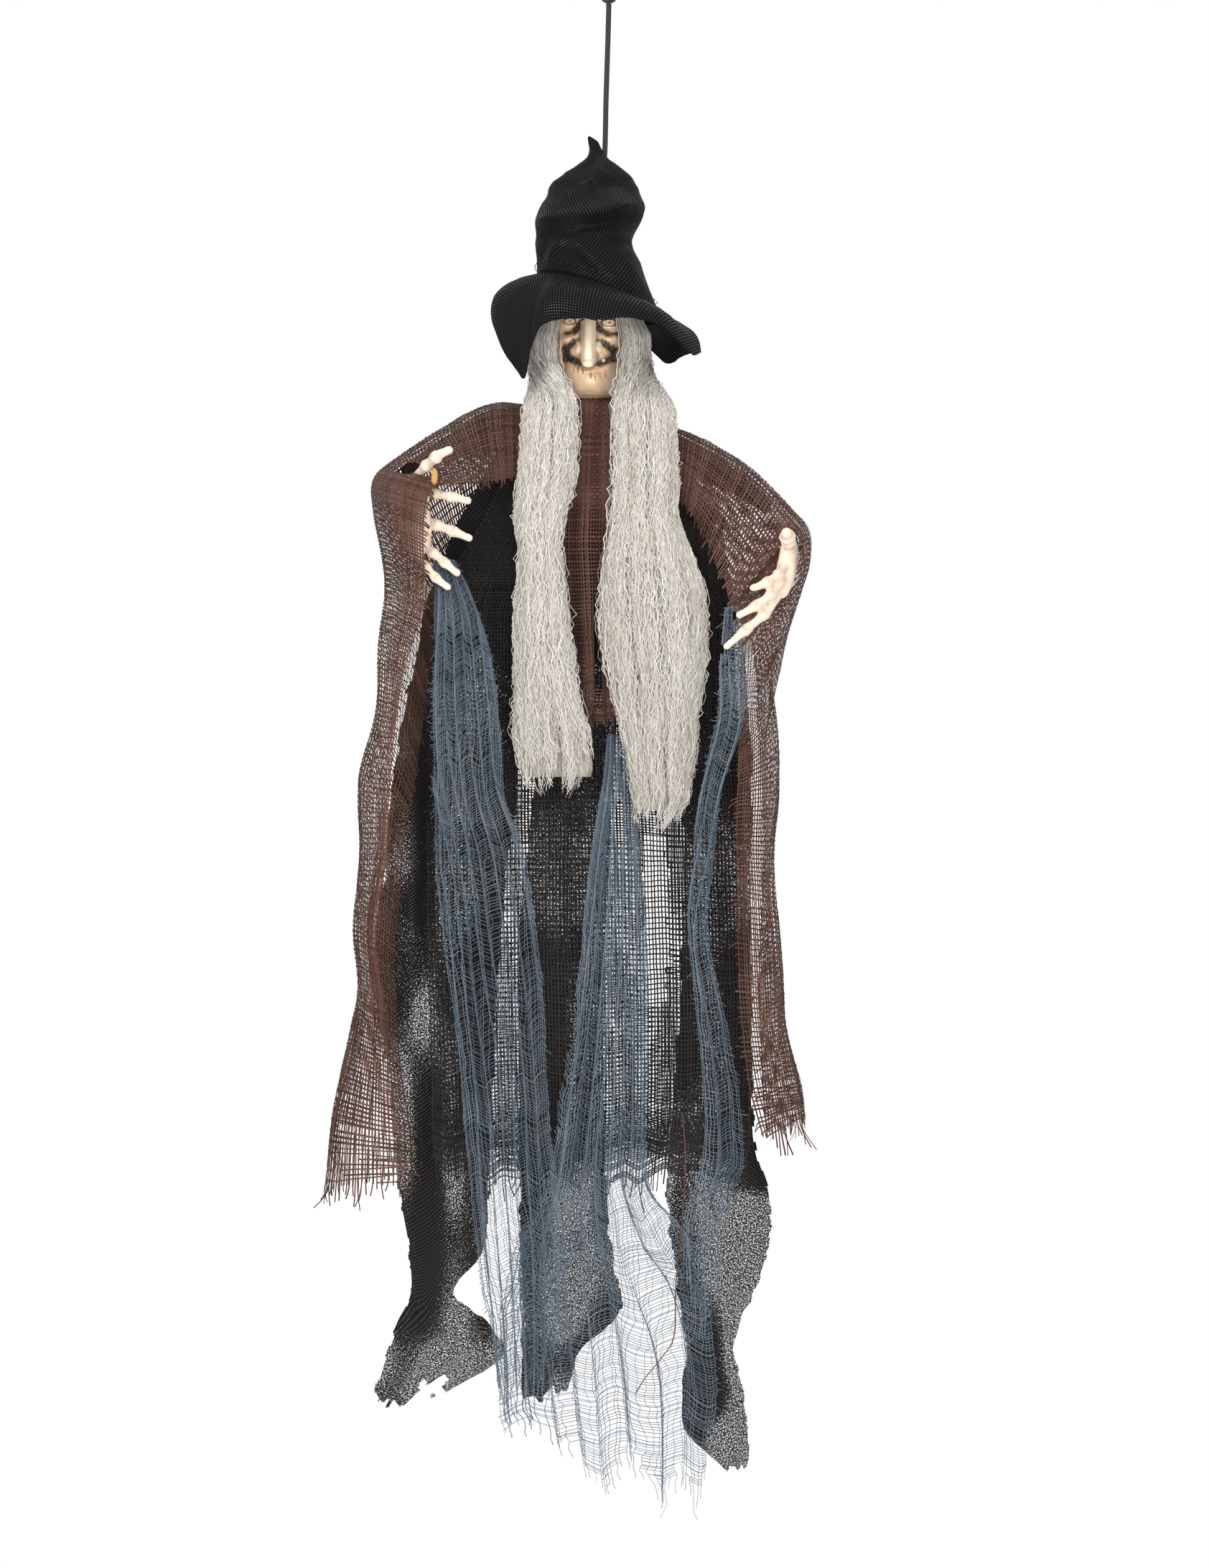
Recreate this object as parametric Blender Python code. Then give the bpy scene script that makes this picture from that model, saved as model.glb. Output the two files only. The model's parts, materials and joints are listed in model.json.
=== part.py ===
"""Hanging witch decoration: cloth figure on a cord, facing -Y, Z up, lengths in millimetres."""

import math

import bpy
import numpy as np

MM = 0.001
GAP = 0.3

CORD_DIAMETER = 3.1
LOOP_HALF_WIDTH = 8.0
KNOT_TOP = -19.0
KNOT_BOTTOM = -29.5
KNOT_RADIUS = 4.3

HEAD_X = -11.2
HEAD_Y = 2.0
HEAD_TOP = -190.0
NECK_BOTTOM = -272.0
NECK_RADIUS = 13.0
NECK_BORE = 11.0

WIRE_DIAMETER = 2.5
WIRE_HEIGHT = -283.0

HAT_CLOTH = 1.0
GAUZE = 0.8
FELT = 0.8
CAPE_CLOTH = 0.9

FOLD_LONG = 41.0
FOLD_SHORT = 24.0
HIDDEN_TOP = -281.0

for old in list(bpy.data.objects):
    bpy.data.objects.remove(old, do_unlink=True)


def material(name, colour, roughness, metallic=0.0):
    """A plain Principled material."""
    made = bpy.data.materials.new(name)
    made.use_nodes = True
    shader = made.node_tree.nodes["Principled BSDF"]
    shader.inputs["Base Color"].default_value = (*colour, 1.0)
    shader.inputs["Roughness"].default_value = roughness
    shader.inputs["Metallic"].default_value = metallic
    made.diffuse_color = (*colour, 1.0)
    return made


CORD_BLACK = material("cord_black", (0.02, 0.02, 0.022), 0.8)
SKIN = material("skin_plastic", (0.62, 0.40, 0.27), 0.35)
HAND = material("hand_plastic", (0.72, 0.52, 0.38), 0.5)
HAIR = material("grey_hair", (0.62, 0.58, 0.53), 0.7)
HAT = material("hat_cloth", (0.03, 0.03, 0.032), 0.85)
BURLAP = material("brown_mesh", (0.11, 0.055, 0.04), 0.9)
BLACK_GAUZE = material("black_gauze", (0.025, 0.025, 0.028), 0.9)
BLACK_FELT = material("black_nonwoven", (0.03, 0.03, 0.033), 0.85)
BLUE_GAUZE = material("blue_gauze", (0.16, 0.21, 0.29), 0.9)
STEEL = material("steel_wire", (0.55, 0.56, 0.58), 0.35, 1.0)
WADDING = material("white_wadding", (0.75, 0.74, 0.70), 0.95)
PLUG = material("dark_plastic", (0.05, 0.05, 0.055), 0.45)
GLUE = material("hot_glue", (0.75, 0.40, 0.15), 0.3)


def curve_through(keys, count):
    """Points at even parameter steps on a smooth curve through every key, key by key."""
    keys = np.array(keys, float)
    last = len(keys) - 1
    slope = np.gradient(keys, axis=0)
    at = np.linspace(0.0, last, count)
    low = np.clip(at.astype(int), 0, last - 1)
    f = (at - low)[:, None]
    start = (2 * f**3 - 3 * f**2 + 1) * keys[low] + (f**3 - 2 * f**2 + f) * slope[low]
    end = (3 * f**2 - 2 * f**3) * keys[low + 1] + (f**3 - f**2) * slope[low + 1]
    return start + end


def even_curve(keys, count):
    """Points at even distances on the smooth curve through the keys."""
    fine = curve_through(keys, 40 * len(keys))
    steps = np.linalg.norm(np.diff(fine, axis=0), axis=1)
    run = np.concatenate([[0.0], np.cumsum(steps)])
    want = np.linspace(0.0, run[-1], count)
    return np.stack([np.interp(want, run, fine[:, k]) for k in range(fine.shape[1])], axis=1)


def blend(table, at):
    """Columns of a table whose first column rises or falls, read at the given places."""
    table = np.array(table, float)
    order = np.argsort(table[:, 0])
    table = table[order]
    return [np.interp(at, table[:, 0], table[:, k]) for k in range(1, table.shape[1])]


def smooth(low, high, value):
    """0 at low, 1 at high, smooth between."""
    f = np.clip((np.asarray(value, float) - low) / (high - low), 0.0, 1.0)
    return f * f * (3.0 - 2.0 * f)


def add_object(name, points, triangles, look):
    """A mesh object from points in millimetres."""
    points = np.asarray(points, float)
    triangles = np.asarray(triangles, int)
    used = np.unique(triangles)
    renumber = np.full(len(points), -1)
    renumber[used] = np.arange(len(used))
    mesh = bpy.data.meshes.new(name)
    mesh.from_pydata((points[used] * MM).tolist(), [], renumber[triangles].tolist())
    mesh.update()
    mesh.materials.append(look)
    made = bpy.data.objects.new(name, mesh)
    bpy.context.scene.collection.objects.link(made)
    return made


def grid_triangles(rows, columns, wrap=False, holes=()):
    """Two triangles for each cell of a grid, without the cells in holes."""
    found = []
    across = columns if wrap else columns - 1
    for r in range(rows - 1):
        for c in range(across):
            if (r, c) in holes:
                continue
            a = r * columns + c
            b = r * columns + (c + 1) % columns
            found.append((a, b, b + columns))
            found.append((a, b + columns, a + columns))
    return found


def vertex_normals(points, triangles):
    """Unit normals at the points, weighted by area."""
    triangles = np.asarray(triangles, int)
    corners = points[triangles]
    area = np.cross(corners[:, 1] - corners[:, 0], corners[:, 2] - corners[:, 0])
    total = np.zeros_like(points)
    for k in range(3):
        np.add.at(total, triangles[:, k], area)
    size = np.linalg.norm(total, axis=1)
    size[size == 0] = 1.0
    return total / size[:, None]


def thicken(name, points, triangles, thick, look):
    """A closed sheet of even thickness about an open surface."""
    points = np.asarray(points, float)
    normals = vertex_normals(points, triangles)
    count = len(points)
    both = np.concatenate([points + normals * thick / 2, points - normals * thick / 2])
    edges = {}
    for a, b, c in triangles:
        for pair in ((a, b), (b, c), (c, a)):
            edges[pair] = True
    faces = list(triangles)
    faces += [(c + count, b + count, a + count) for a, b, c in triangles]
    for a, b in edges:
        if (b, a) not in edges:
            faces.append((b, a, a + count))
            faces.append((b, a + count, b + count))
    return add_object(name, both, faces, look)


def closed_rings(name, rings, look, open_tube=False, flat_ends=False):
    """A closed solid through rings; its ends are capped, or joined in an open tube.

    With flat_ends, a ring is two facing rows of points, and strips between the rows close it.
    """
    rings = np.asarray(rings, float)
    rows, columns, _ = rings.shape
    points = rings.reshape(-1, 3)
    faces = grid_triangles(rows, columns, wrap=True)
    if open_tube:
        last = (rows - 1) * columns
        for c in range(columns):
            d = (c + 1) % columns
            faces.append((last + c, last + d, d))
            faces.append((last + c, d, c))
    elif flat_ends:
        base = (rows - 1) * columns
        for c in range(columns // 2 - 1):
            d = columns - 1 - c
            faces.append((c + 1, c, d))
            faces.append((c + 1, d, d - 1))
            faces.append((base + c, base + c + 1, base + d))
            faces.append((base + c + 1, base + d - 1, base + d))
    else:
        points = np.concatenate([points, [rings[0].mean(axis=0)], [rings[-1].mean(axis=0)]])
        first = rows * columns
        base = (rows - 1) * columns
        for c in range(columns):
            d = (c + 1) % columns
            faces.append((first, d, c))
            faces.append((first + 1, base + c, base + d))
    corners = points[np.asarray(faces)]
    volume = np.einsum("ij,ij->i", corners[:, 0], np.cross(corners[:, 1], corners[:, 2])).sum()
    if volume < 0:
        faces = [(a, c, b) for a, b, c in faces]
    return add_object(name, points, faces, look)


def frames_along(path):
    """Two unit vectors across a path at every point, turning as little as they can."""
    path = np.asarray(path, float)
    ahead = np.gradient(path, axis=0)
    ahead /= np.linalg.norm(ahead, axis=1)[:, None]
    side = np.cross(ahead[0], (0.0, 1.0, 0.0) if abs(ahead[0][1]) < 0.9 else (1.0, 0.0, 0.0))
    sides = []
    for direction in ahead:
        side = side - direction * np.dot(side, direction)
        side = side / np.linalg.norm(side)
        sides.append(side)
    sides = np.array(sides)
    return sides, np.cross(ahead, sides)


def rings_along(path, radii, sides, flat=1.0):
    """Rings of points about a path; flat presses them across their second direction."""
    across, up = frames_along(path)
    radii = np.broadcast_to(np.asarray(radii, float), (len(path),))
    turn = np.arange(sides) * 2 * math.pi / sides
    ring = np.cos(turn)[None, :, None] * across[:, None, :]
    ring = ring + flat * np.sin(turn)[None, :, None] * up[:, None, :]
    return np.asarray(path)[:, None, :] + radii[:, None, None] * ring


def rounded(path_keys, radii, steps, sides, flat=1.0):
    """Rings of a limb with round ends."""
    path = even_curve(path_keys, steps)
    size = curve_through([(r,) for r in radii], steps)[:, 0]
    run = np.concatenate([[0.0], np.cumsum(np.linalg.norm(np.diff(path, axis=0), axis=1))])
    for from_end in (run, run[-1] - run):
        near = np.clip(from_end / size, 0.0, 1.0)
        size = size * np.sqrt(np.clip(1.0 - (1.0 - near) ** 2, 0.09, 1.0))
    return rings_along(path, size, sides, flat)


def lathe(profile, sides, centre=(0.0, 0.0)):
    """Rings about the Z axis from (radius, z) pairs."""
    turn = np.arange(sides) * 2 * math.pi / sides
    rings = []
    for radius, z in profile:
        rings.append(
            np.stack(
                [
                    centre[0] + radius * np.cos(turn),
                    centre[1] + radius * np.sin(turn),
                    np.full(sides, z),
                ],
                axis=1,
            )
        )
    return np.array(rings)


def cutter(made):
    """A tool that is never shown."""
    made.hide_render = True
    made.display_type = "WIRE"
    return made


def boolean(target, other, operation):
    """An exact Boolean on the target."""
    step = target.modifiers.new(operation.lower(), "BOOLEAN")
    step.operation = operation
    step.solver = "EXACT"
    step.object = other


def wave(x, z):
    """Depth of the long hanging folds that every body layer shares."""
    sway = 0.06 * (z - HIDDEN_TOP)
    long = 3.2 * np.sin((x + sway) * 2 * math.pi / FOLD_LONG)
    short = 1.5 * np.sin((x - 0.5 * sway) * 2 * math.pi / FOLD_SHORT + 1.1)
    return (long + short) * (0.12 + 0.88 * smooth(-290.0, -430.0, z))


def front_depth(x, z):
    """Middle of the front gown layer."""
    out = -18.5 - 6.0 * (1.0 - np.clip(x / 95.0, -1.0, 1.0) ** 2)
    rest = -12.5 + (out + 12.5) * smooth(HIDDEN_TOP, -335.0, z)
    return rest + wave(x, z)


def ragged(columns, deep, seed):
    """Uneven hem drops for a row of columns."""
    spin = np.arange(columns) * 2.399 + seed
    return deep * (0.55 * np.sin(spin * 1.7) + 0.45 * np.sin(spin * 2.9 + 0.7))


def hanging_sheet(name, keys, rows, columns, depth, thick, look, hem=0.0, seed=0.0, holes=(), lean=0.0):
    """A hanging sheet from keys of (height, left edge, right edge)."""
    edge = curve_through(keys, rows)
    across = np.linspace(0.0, 1.0, columns)[None, :]
    x = edge[:, 1:2] + (edge[:, 2:3] - edge[:, 1:2]) * across
    late = np.linspace(0.0, 1.0, rows)[:, None] ** 5
    z = edge[:, 0:1] + late * ragged(columns, hem, seed)[None, :]
    z = z - lean * np.clip(x - 2.0, 0.0, None) * np.linspace(1.0, 0.0, rows)[:, None] ** 2
    y = depth(x, z)
    points = np.stack([x, y, z], axis=2).reshape(-1, 3)
    faces = grid_triangles(rows, columns, holes=holes)
    return thicken(name, points, faces, thick, look)


# Hanging cord with its loop

cord_path = even_curve(
    [
        (0.0, 0.0, KNOT_BOTTOM - GAP),
        (-0.5, 0.6, -50.0),
        (-1.6, 2.0, -85.0),
        (-2.5, 3.6, -119.0),
        (-5.5, 4.0, -150.0),
        (-9.5, 2.6, -176.0),
        (HEAD_X, HEAD_Y, -193.1),
    ],
    22,
)
cord_data = bpy.data.curves.new("hanging_cord", "CURVE")
cord_data.dimensions = "3D"
cord_data.bevel_depth = CORD_DIAMETER / 2 * MM
cord_data.bevel_resolution = 1
cord_data.use_fill_caps = True
cord_line = cord_data.splines.new("POLY")
cord_line.points.add(len(cord_path) - 1)
for spot, place in zip(cord_line.points, cord_path):
    spot.co = (*(place * MM), 1.0)
cord_data.materials.append(CORD_BLACK)
cord = bpy.data.objects.new("hanging_cord", cord_data)
bpy.context.scene.collection.objects.link(cord)

loop_keys = [
    (-1.7, 0.0, KNOT_TOP - 4.0),
    (-1.9, 0.0, KNOT_TOP + 1.0),
    (-5.6, 0.0, -12.0),
    (-LOOP_HALF_WIDTH, 0.0, -5.5),
    (-5.8, 0.0, -0.4),
    (0.0, 0.0, CORD_DIAMETER / 2),
    (5.8, 0.0, -0.4),
    (LOOP_HALF_WIDTH, 0.0, -5.5),
    (5.6, 0.0, -12.0),
    (1.9, 0.0, KNOT_TOP + 1.0),
    (1.7, 0.0, KNOT_TOP - 4.0),
]
knot_profile = [
    (2.2, KNOT_TOP),
    (3.9, KNOT_TOP - 0.9),
    (KNOT_RADIUS, KNOT_TOP - 2.2),
    (3.5, KNOT_TOP - 3.6),
    (KNOT_RADIUS, KNOT_TOP - 5.2),
    (3.5, KNOT_TOP - 6.8),
    (KNOT_RADIUS, KNOT_TOP - 8.2),
    (3.6, KNOT_BOTTOM + 0.9),
    (1.8, KNOT_BOTTOM),
]
loop = closed_rings("hanging_loop", lathe(knot_profile, 12), CORD_BLACK)
strand = closed_rings(
    "loop_strand", rings_along(even_curve(loop_keys, 22), CORD_DIAMETER / 2, 8), CORD_BLACK
)
cutter(strand)
boolean(loop, strand, "UNION")

knot_low = [(1.4, -193.4), (3.6, -193.7), (4.4, -195.6), (3.7, -198.0), (4.3, -200.2), (2.0, -203.0)]
closed_rings("cord_knot", lathe(knot_low, 10, (HEAD_X, HEAD_Y)), CORD_BLACK)

# Head: hollow moulded face with a neck opening and a cord hole

OUTER = [
    (NECK_BOTTOM, NECK_RADIUS, NECK_RADIUS, NECK_RADIUS),
    (-262.0, NECK_RADIUS, NECK_RADIUS, NECK_RADIUS),
    (-259.5, NECK_RADIUS + 0.5, NECK_RADIUS + 2.0, NECK_RADIUS + 0.5),
    (-257.5, 13.8, 24.0, 14.0),
    (-255.0, 14.8, 27.0, 15.0),
    (-248.0, 17.5, 28.5, 18.0),
    (-241.5, 20.5, 29.5, 21.5),
    (-233.5, 23.5, 29.5, 25.0),
    (-226.0, 25.0, 29.5, 27.0),
    (-218.0, 25.3, 29.0, 28.0),
    (-211.0, 25.0, 28.5, 28.0),
    (-206.0, 23.8, 27.0, 26.5),
    (-200.0, 20.5, 23.0, 23.0),
    (-195.0, 15.0, 17.0, 16.0),
    (-191.5, 7.5, 8.0, 8.0),
    (HEAD_TOP, 2.0, 2.0, 2.0),
]
INNER = [
    (-192.4, 2.0, 2.0, 2.0),
    (-194.6, 8.0, 8.0, 8.0),
    (-202.0, 17.0, 18.0, 19.0),
    (-214.0, 22.0, 25.0, 25.0),
    (-230.0, 21.0, 25.5, 22.5),
    (-246.0, 14.5, 23.0, 15.0),
    (-255.0, 11.0, 17.0, 11.0),
    (-262.0, NECK_BORE, NECK_BORE, NECK_BORE),
    (NECK_BOTTOM, NECK_BORE, NECK_BORE, NECK_BORE),
]
HEAD_ROWS = [
    NECK_BOTTOM, -262.0, -259.5, -257.5, -255.0, -251.5, -248.0, -244.5, -242.2, -239.5, -236.5,
    -233.0, -229.5, -226.0, -222.0, -218.0, -214.5, -211.5, -206.0, -200.0, -195.0, -191.5, HEAD_TOP,
]
NOSE = [
    (-243.5, 0.0, 4.4),
    (-242.2, 9.6, 4.2),
    (-239.0, 11.8, 4.4),
    (-236.0, 10.8, 3.8),
    (-230.0, 8.2, 3.0),
    (-222.0, 4.6, 2.6),
    (-215.0, 2.6, 3.0),
    (-211.0, 0.0, 3.0),
]


def hump(x, z, at_x, at_z, wide, tall):
    """A round rise of height one."""
    return np.exp(-(((x - at_x) / wide) ** 2) - ((z - at_z) / tall) ** 2)


def face_rise(x, z):
    """How far the features stand out from the plain head, x from the middle of the face."""
    height, width = blend(NOSE, z)
    rise = height * np.exp(-(((x + 1.4) / width) ** 2))
    side = np.abs(x)
    rise += 3.2 * hump(side, z, 9.0, -211.5, 8.0, 2.6)
    rise -= 3.4 * hump(side, z, 10.5, -217.0, 4.6, 3.2)
    rise += 1.3 * hump(side, z, 11.4, -216.8, 3.0, 1.9)
    rise += 3.0 * hump(side, z, 14.5, -226.5, 5.2, 4.6)
    smile = -241.0 + 6.0 * (side / 15.0) ** 2
    rise -= 2.6 * np.exp(-(((z - smile) / 1.9) ** 2)) * smooth(17.5, 13.0, side)
    rise += 1.5 * np.exp(-(((z - smile + 4.2) / 2.0) ** 2)) * smooth(15.0, 9.0, side)
    rise += 5.2 * hump(side, z, 0.0, -252.5, 7.0, 4.2)
    return rise


def head_ring(z, table, columns, features):
    """One level of the head; the first point looks forward."""
    wide, front, back = (float(v[0]) for v in blend(table, [z]))
    even = np.arange(columns) / columns
    turn = 2 * math.pi * even - 0.42 * np.sin(2 * math.pi * even)
    x = wide * np.sin(turn)
    y = -np.where(np.cos(turn) > 0, front, back) * np.cos(turn)
    if features:
        y = y - face_rise(x, np.full(columns, z)) * smooth(0.05, 0.45, np.cos(turn))
    return np.stack([HEAD_X + x, HEAD_Y + y, np.full(columns, z)], axis=1)


head_rings = [head_ring(z, OUTER, 28, -259.0 < z < -206.0) for z in HEAD_ROWS]
head_rings += [head_ring(row[0], INNER, 28, False) for row in INNER]
closed_rings("head", head_rings, SKIN, open_tube=True)

plug_profile = [
    (NECK_BORE - GAP - 1.0, NECK_BOTTOM + 13.0),
    (NECK_BORE - GAP, NECK_BOTTOM + 12.0),
    (NECK_BORE - GAP, NECK_BOTTOM - GAP),
    (NECK_RADIUS, NECK_BOTTOM - GAP),
    (NECK_RADIUS, WIRE_HEIGHT - 10.0),
    (NECK_RADIUS - 1.0, WIRE_HEIGHT - 11.0),
]
plug = closed_rings("neck_plug", lathe(plug_profile, 20, (HEAD_X, HEAD_Y)), PLUG)
plug_bore = closed_rings(
    "plug_bore",
    rings_along(
        [(HEAD_X - 20.0, HEAD_Y, WIRE_HEIGHT), (HEAD_X, HEAD_Y, WIRE_HEIGHT), (HEAD_X + 20.0, HEAD_Y, WIRE_HEIGHT)],
        WIRE_DIAMETER / 2 + GAP,
        12,
    ),
    PLUG,
)
cutter(plug_bore)
boolean(plug, plug_bore, "DIFFERENCE")

# Arm wire, bent to both hands

LEFT_ARM = [
    (HEAD_X, HEAD_Y, WIRE_HEIGHT),
    (-24.0, 2.0, -283.0),
    (-45.0, 1.0, -278.5),
    (-68.0, 0.0, -277.8),
    (-96.0, -2.0, -289.5),
    (-119.0, -8.0, -302.5),
]
LEFT_REST = [
    (-128.5, -17.0, -309.5),
    (-130.0, -32.0, -314.0),
    (-126.0, -48.0, -317.5),
    (-118.0, -58.5, -321.0),
]
RIGHT_ARM = [
    (HEAD_X, HEAD_Y, WIRE_HEIGHT),
    (1.6, 2.0, -283.0),
    (22.0, 1.0, -285.5),
    (45.0, 0.0, -294.0),
    (72.0, -2.0, -307.0),
    (94.0, -7.0, -324.0),
]
RIGHT_REST = [
    (103.5, -16.0, -336.0),
    (105.5, -29.0, -344.0),
    (105.0, -42.0, -350.5),
    (102.2, -52.0, -355.5),
]
left_wire = even_curve(LEFT_ARM + LEFT_REST, 24)
right_wire = even_curve(RIGHT_ARM + RIGHT_REST, 24)
wire_path = np.concatenate([left_wire[::-1], right_wire[1:]])
closed_rings("arm_wire", rings_along(wire_path, WIRE_DIAMETER / 2, 6), STEEL)


def pad(name, keys, start_x, radii):
    """Wadding wound about an arm of the wire from the plug outwards."""
    path = even_curve(keys, 60)
    path = path[np.abs(path[:, 0] - HEAD_X) >= start_x]
    path = path[np.linspace(0, len(path) - 1, 8).astype(int)]
    size = curve_through([(r,) for r in radii], 8)[:, 0]
    outside = rings_along(path, size, 10)
    bore = rings_along(path, WIRE_DIAMETER / 2 + 0.75, 10)
    closed_rings(name, np.concatenate([outside, bore[::-1]]), WADDING, open_tube=True)


pad("pad_left", LEFT_ARM, NECK_RADIUS + 2.6, [13.0, 13.2, 12.8, 11.0, 8.4, 6.0, 4.4])
pad("pad_right", RIGHT_ARM, NECK_RADIUS + 2.6, [13.4, 13.2, 11.9, 10.3, 7.9, 5.7, 4.0])

# Hat: crumpled crown sewn to a floppy brim

CROWN = [
    ((-41.7, 0, -187.9), (28.5, 0, -212.7), 33.0),
    ((-42.5, 0, -176.4), (22.7, 0, -197.4), 32.0),
    ((-43.0, 0, -166.0), (18.6, 0, -185.4), 30.5),
    ((-43.0, 0, -157.8), (13.2, 0, -168.9), 28.0),
    ((-41.3, 0, -148.7), (17.8, 0, -155.7), 26.5),
    ((-37.6, 0, -140.8), (18.6, 0, -146.2), 23.5),
    ((-32.2, 0, -133.0), (15.7, 0, -137.5), 19.5),
    ((-25.6, 0, -126.8), (11.2, 0, -130.1), 15.0),
    ((-17.8, 0, -121.8), (4.5, 0, -124.3), 10.0),
    ((-12.8, 0, -118.1), (-0.8, 0, -120.2), 6.0),
    ((-12.4, 0, -114.4), (-6.2, 0, -115.6), 3.6),
    ((-12.4, 0, -110.7), (-8.3, 0, -111.5), 2.2),
]
CROWN_TIP = (-11.2, 0, -107.0)
CROWN_COLUMNS = 24
CROWN_LIFT = 0.21


def crown_ring(left, right, deep, columns, level, shrink=0.0):
    """One level of the crown, leaning with the hat and raised at the front."""
    left = np.array(left, float)
    right = np.array(right, float)
    turn = np.arange(columns) * 2 * math.pi / columns
    middle = (left + right) / 2
    half = (right - left) / 2
    half = half * (1.0 - shrink / np.linalg.norm(half))
    deep = deep - shrink
    ring = middle + np.cos(turn)[:, None] * half
    ring[:, 1] += deep * np.sin(turn)
    lift = CROWN_LIFT * smooth(7.0, 0.0, level)
    ring[:, 2] -= lift * deep * np.sin(turn)
    crease = np.sin(3.0 * turn + 0.9 * level) + 0.6 * np.sin(5.0 * turn - 1.3 * level)
    keep = np.sin(turn) ** 2 * smooth(0.0, 1.5, level) * smooth(11.0, 7.0, level)
    ring[:, 1] += 2.0 * crease * keep * np.sign(np.sin(turn))
    ring[:, 2] += 1.6 * np.sin(2.0 * turn + 1.1 * level) * keep
    return ring


crown_points = [
    crown_ring(left, right, deep, CROWN_COLUMNS, level)
    for level, (left, right, deep) in enumerate(CROWN)
]
crown_faces = grid_triangles(len(CROWN), CROWN_COLUMNS, wrap=True)
tip_index = len(CROWN) * CROWN_COLUMNS
base_index = tip_index - CROWN_COLUMNS
for c in range(CROWN_COLUMNS):
    crown_faces.append((base_index + c, base_index + (c + 1) % CROWN_COLUMNS, tip_index))
crown_points = np.concatenate([np.concatenate(crown_points), [CROWN_TIP]])
crown = thicken("hat_crown", crown_points, crown_faces, HAT_CLOTH, HAT)
crown_bore = closed_rings(
    "crown_bore", rings_along(cord_path[4:13], CORD_DIAMETER / 2 + GAP, 12), HAT
)
cutter(crown_bore)
boolean(crown, crown_bore, "DIFFERENCE")

BRIM_EDGE = [
    (-49.6, 25, -189.6), (-58.2, 12, -194.5), (-64.4, 0, -199.9), (-67.7, -10, -206.9), (-67.3, -20, -215.6), (-63.6, -28, -225.9),
    (-59.9, -33, -235.0), (-53.7, -38, -244.1), (-48.3, -43, -249.9), (-44.6, -47, -233.3), (-39.6, -51, -220.1), (-29.7, -54, -213.9),
    (-16.5, -56, -213.5), (0.4, -56, -213.5), (10.3, -54, -213.9), (20.6, -50, -217.2), (27.7, -46, -219.3), (31.0, -41, -224.3),
    (32.6, -35, -237.1), (39.2, -25, -232.9), (47.9, -15, -233.8), (52.0, -2, -229.2), (48.7, 14, -225.1), (38.8, 32, -218.9),
    (23.5, 46, -216.0), (1.7, 55, -213.5), (-19.8, 52, -206.1), (-38.0, 40, -196.2),
]


def brim_points():
    """Rings of the brim from its sewn inner edge outwards."""
    edge = np.array(BRIM_EDGE, float)
    left, right, deep = CROWN[0]
    middle = (np.array(left) + np.array(right)) / 2
    turn = np.arctan2(edge[:, 1] - middle[1], edge[:, 0] - middle[0])
    half = (np.array(right) - np.array(left)) / 2
    inner = middle + np.cos(turn)[:, None] * half * 0.955
    inner[:, 1] += (deep - 1.5) * np.sin(turn)
    inner[:, 2] -= CROWN_LIFT * deep * np.sin(turn) + HAT_CLOTH / 2 + 3 * GAP
    drop = np.clip(inner[:, 2] - edge[:, 2], 0.0, None)
    bend = edge.copy()
    bend[:, 2] = inner[:, 2] - 0.2 * drop
    rings = []
    for f in (0.0, 0.3, 0.65, 1.0):
        rings.append((1 - f) ** 2 * inner + 2 * f * (1 - f) * bend + f * f * edge)
    return np.array(rings)


brim_rings = brim_points()
brim_faces = grid_triangles(brim_rings.shape[0], brim_rings.shape[1], wrap=True)
thicken("hat_brim", brim_rings.reshape(-1, 3), brim_faces, HAT_CLOTH, HAT)

# Hair glued to the sides and back of the head


def head_outline(z, turn, grow):
    """Points grow millimetres outside the plain head at a level, turn from the front."""
    wide, front, back = (float(v[0]) for v in blend(OUTER, [max(z, -258.0)]))
    front = front + 2.6
    x = (wide + grow) * np.sin(turn)
    y = -np.where(np.cos(turn) > 0, front + grow, back + grow) * np.cos(turn)
    return HEAD_X + x, HEAD_Y + y


def lock(name, side, keys, front_turn, back_turn, columns, seat):
    """A bunch that hugs the head above the jaw and hangs free before the chest."""
    rings = []
    profile = np.sqrt(np.clip(1.0 - np.linspace(-1.0, 1.0, columns) ** 2, 0.0, 1.0))
    for z, left, right, thick in keys:
        turn = np.radians(np.linspace(front_turn, back_turn, columns)) * side
        skin = seat + 1.8 * float(smooth(-216.0, -226.0, z))
        near_x, near_y = head_outline(z, turn, skin)
        fat = thick * (0.35 + 0.65 * profile)
        far_x, far_y = head_outline(z, turn, skin + fat)
        ends = (right, left) if side < 0 else (left, right)
        hang_x = np.linspace(ends[0], ends[1], columns)
        rest = -36.5 - 5.5 * float(smooth(-285.0, -345.0, z))
        hang_y = np.full(columns, rest) + 2.0 * np.linspace(0.0, 1.0, columns)
        loose = float(smooth(-243.0, -272.0, z))
        near = np.stack([near_x, near_y], axis=1) * (1 - loose)
        near += np.stack([hang_x, hang_y + 0.0 * fat], axis=1) * loose
        far = np.stack([far_x, far_y], axis=1) * (1 - loose)
        far += np.stack([hang_x, hang_y - 0.3 - fat * np.maximum(profile, 0.06)], axis=1) * loose
        ring = np.concatenate([near, far[::-1]])
        rings.append(np.column_stack([ring, np.full(len(ring), z)]))
    return closed_rings(name, rings, HAIR, flat_ends=True)


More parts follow.
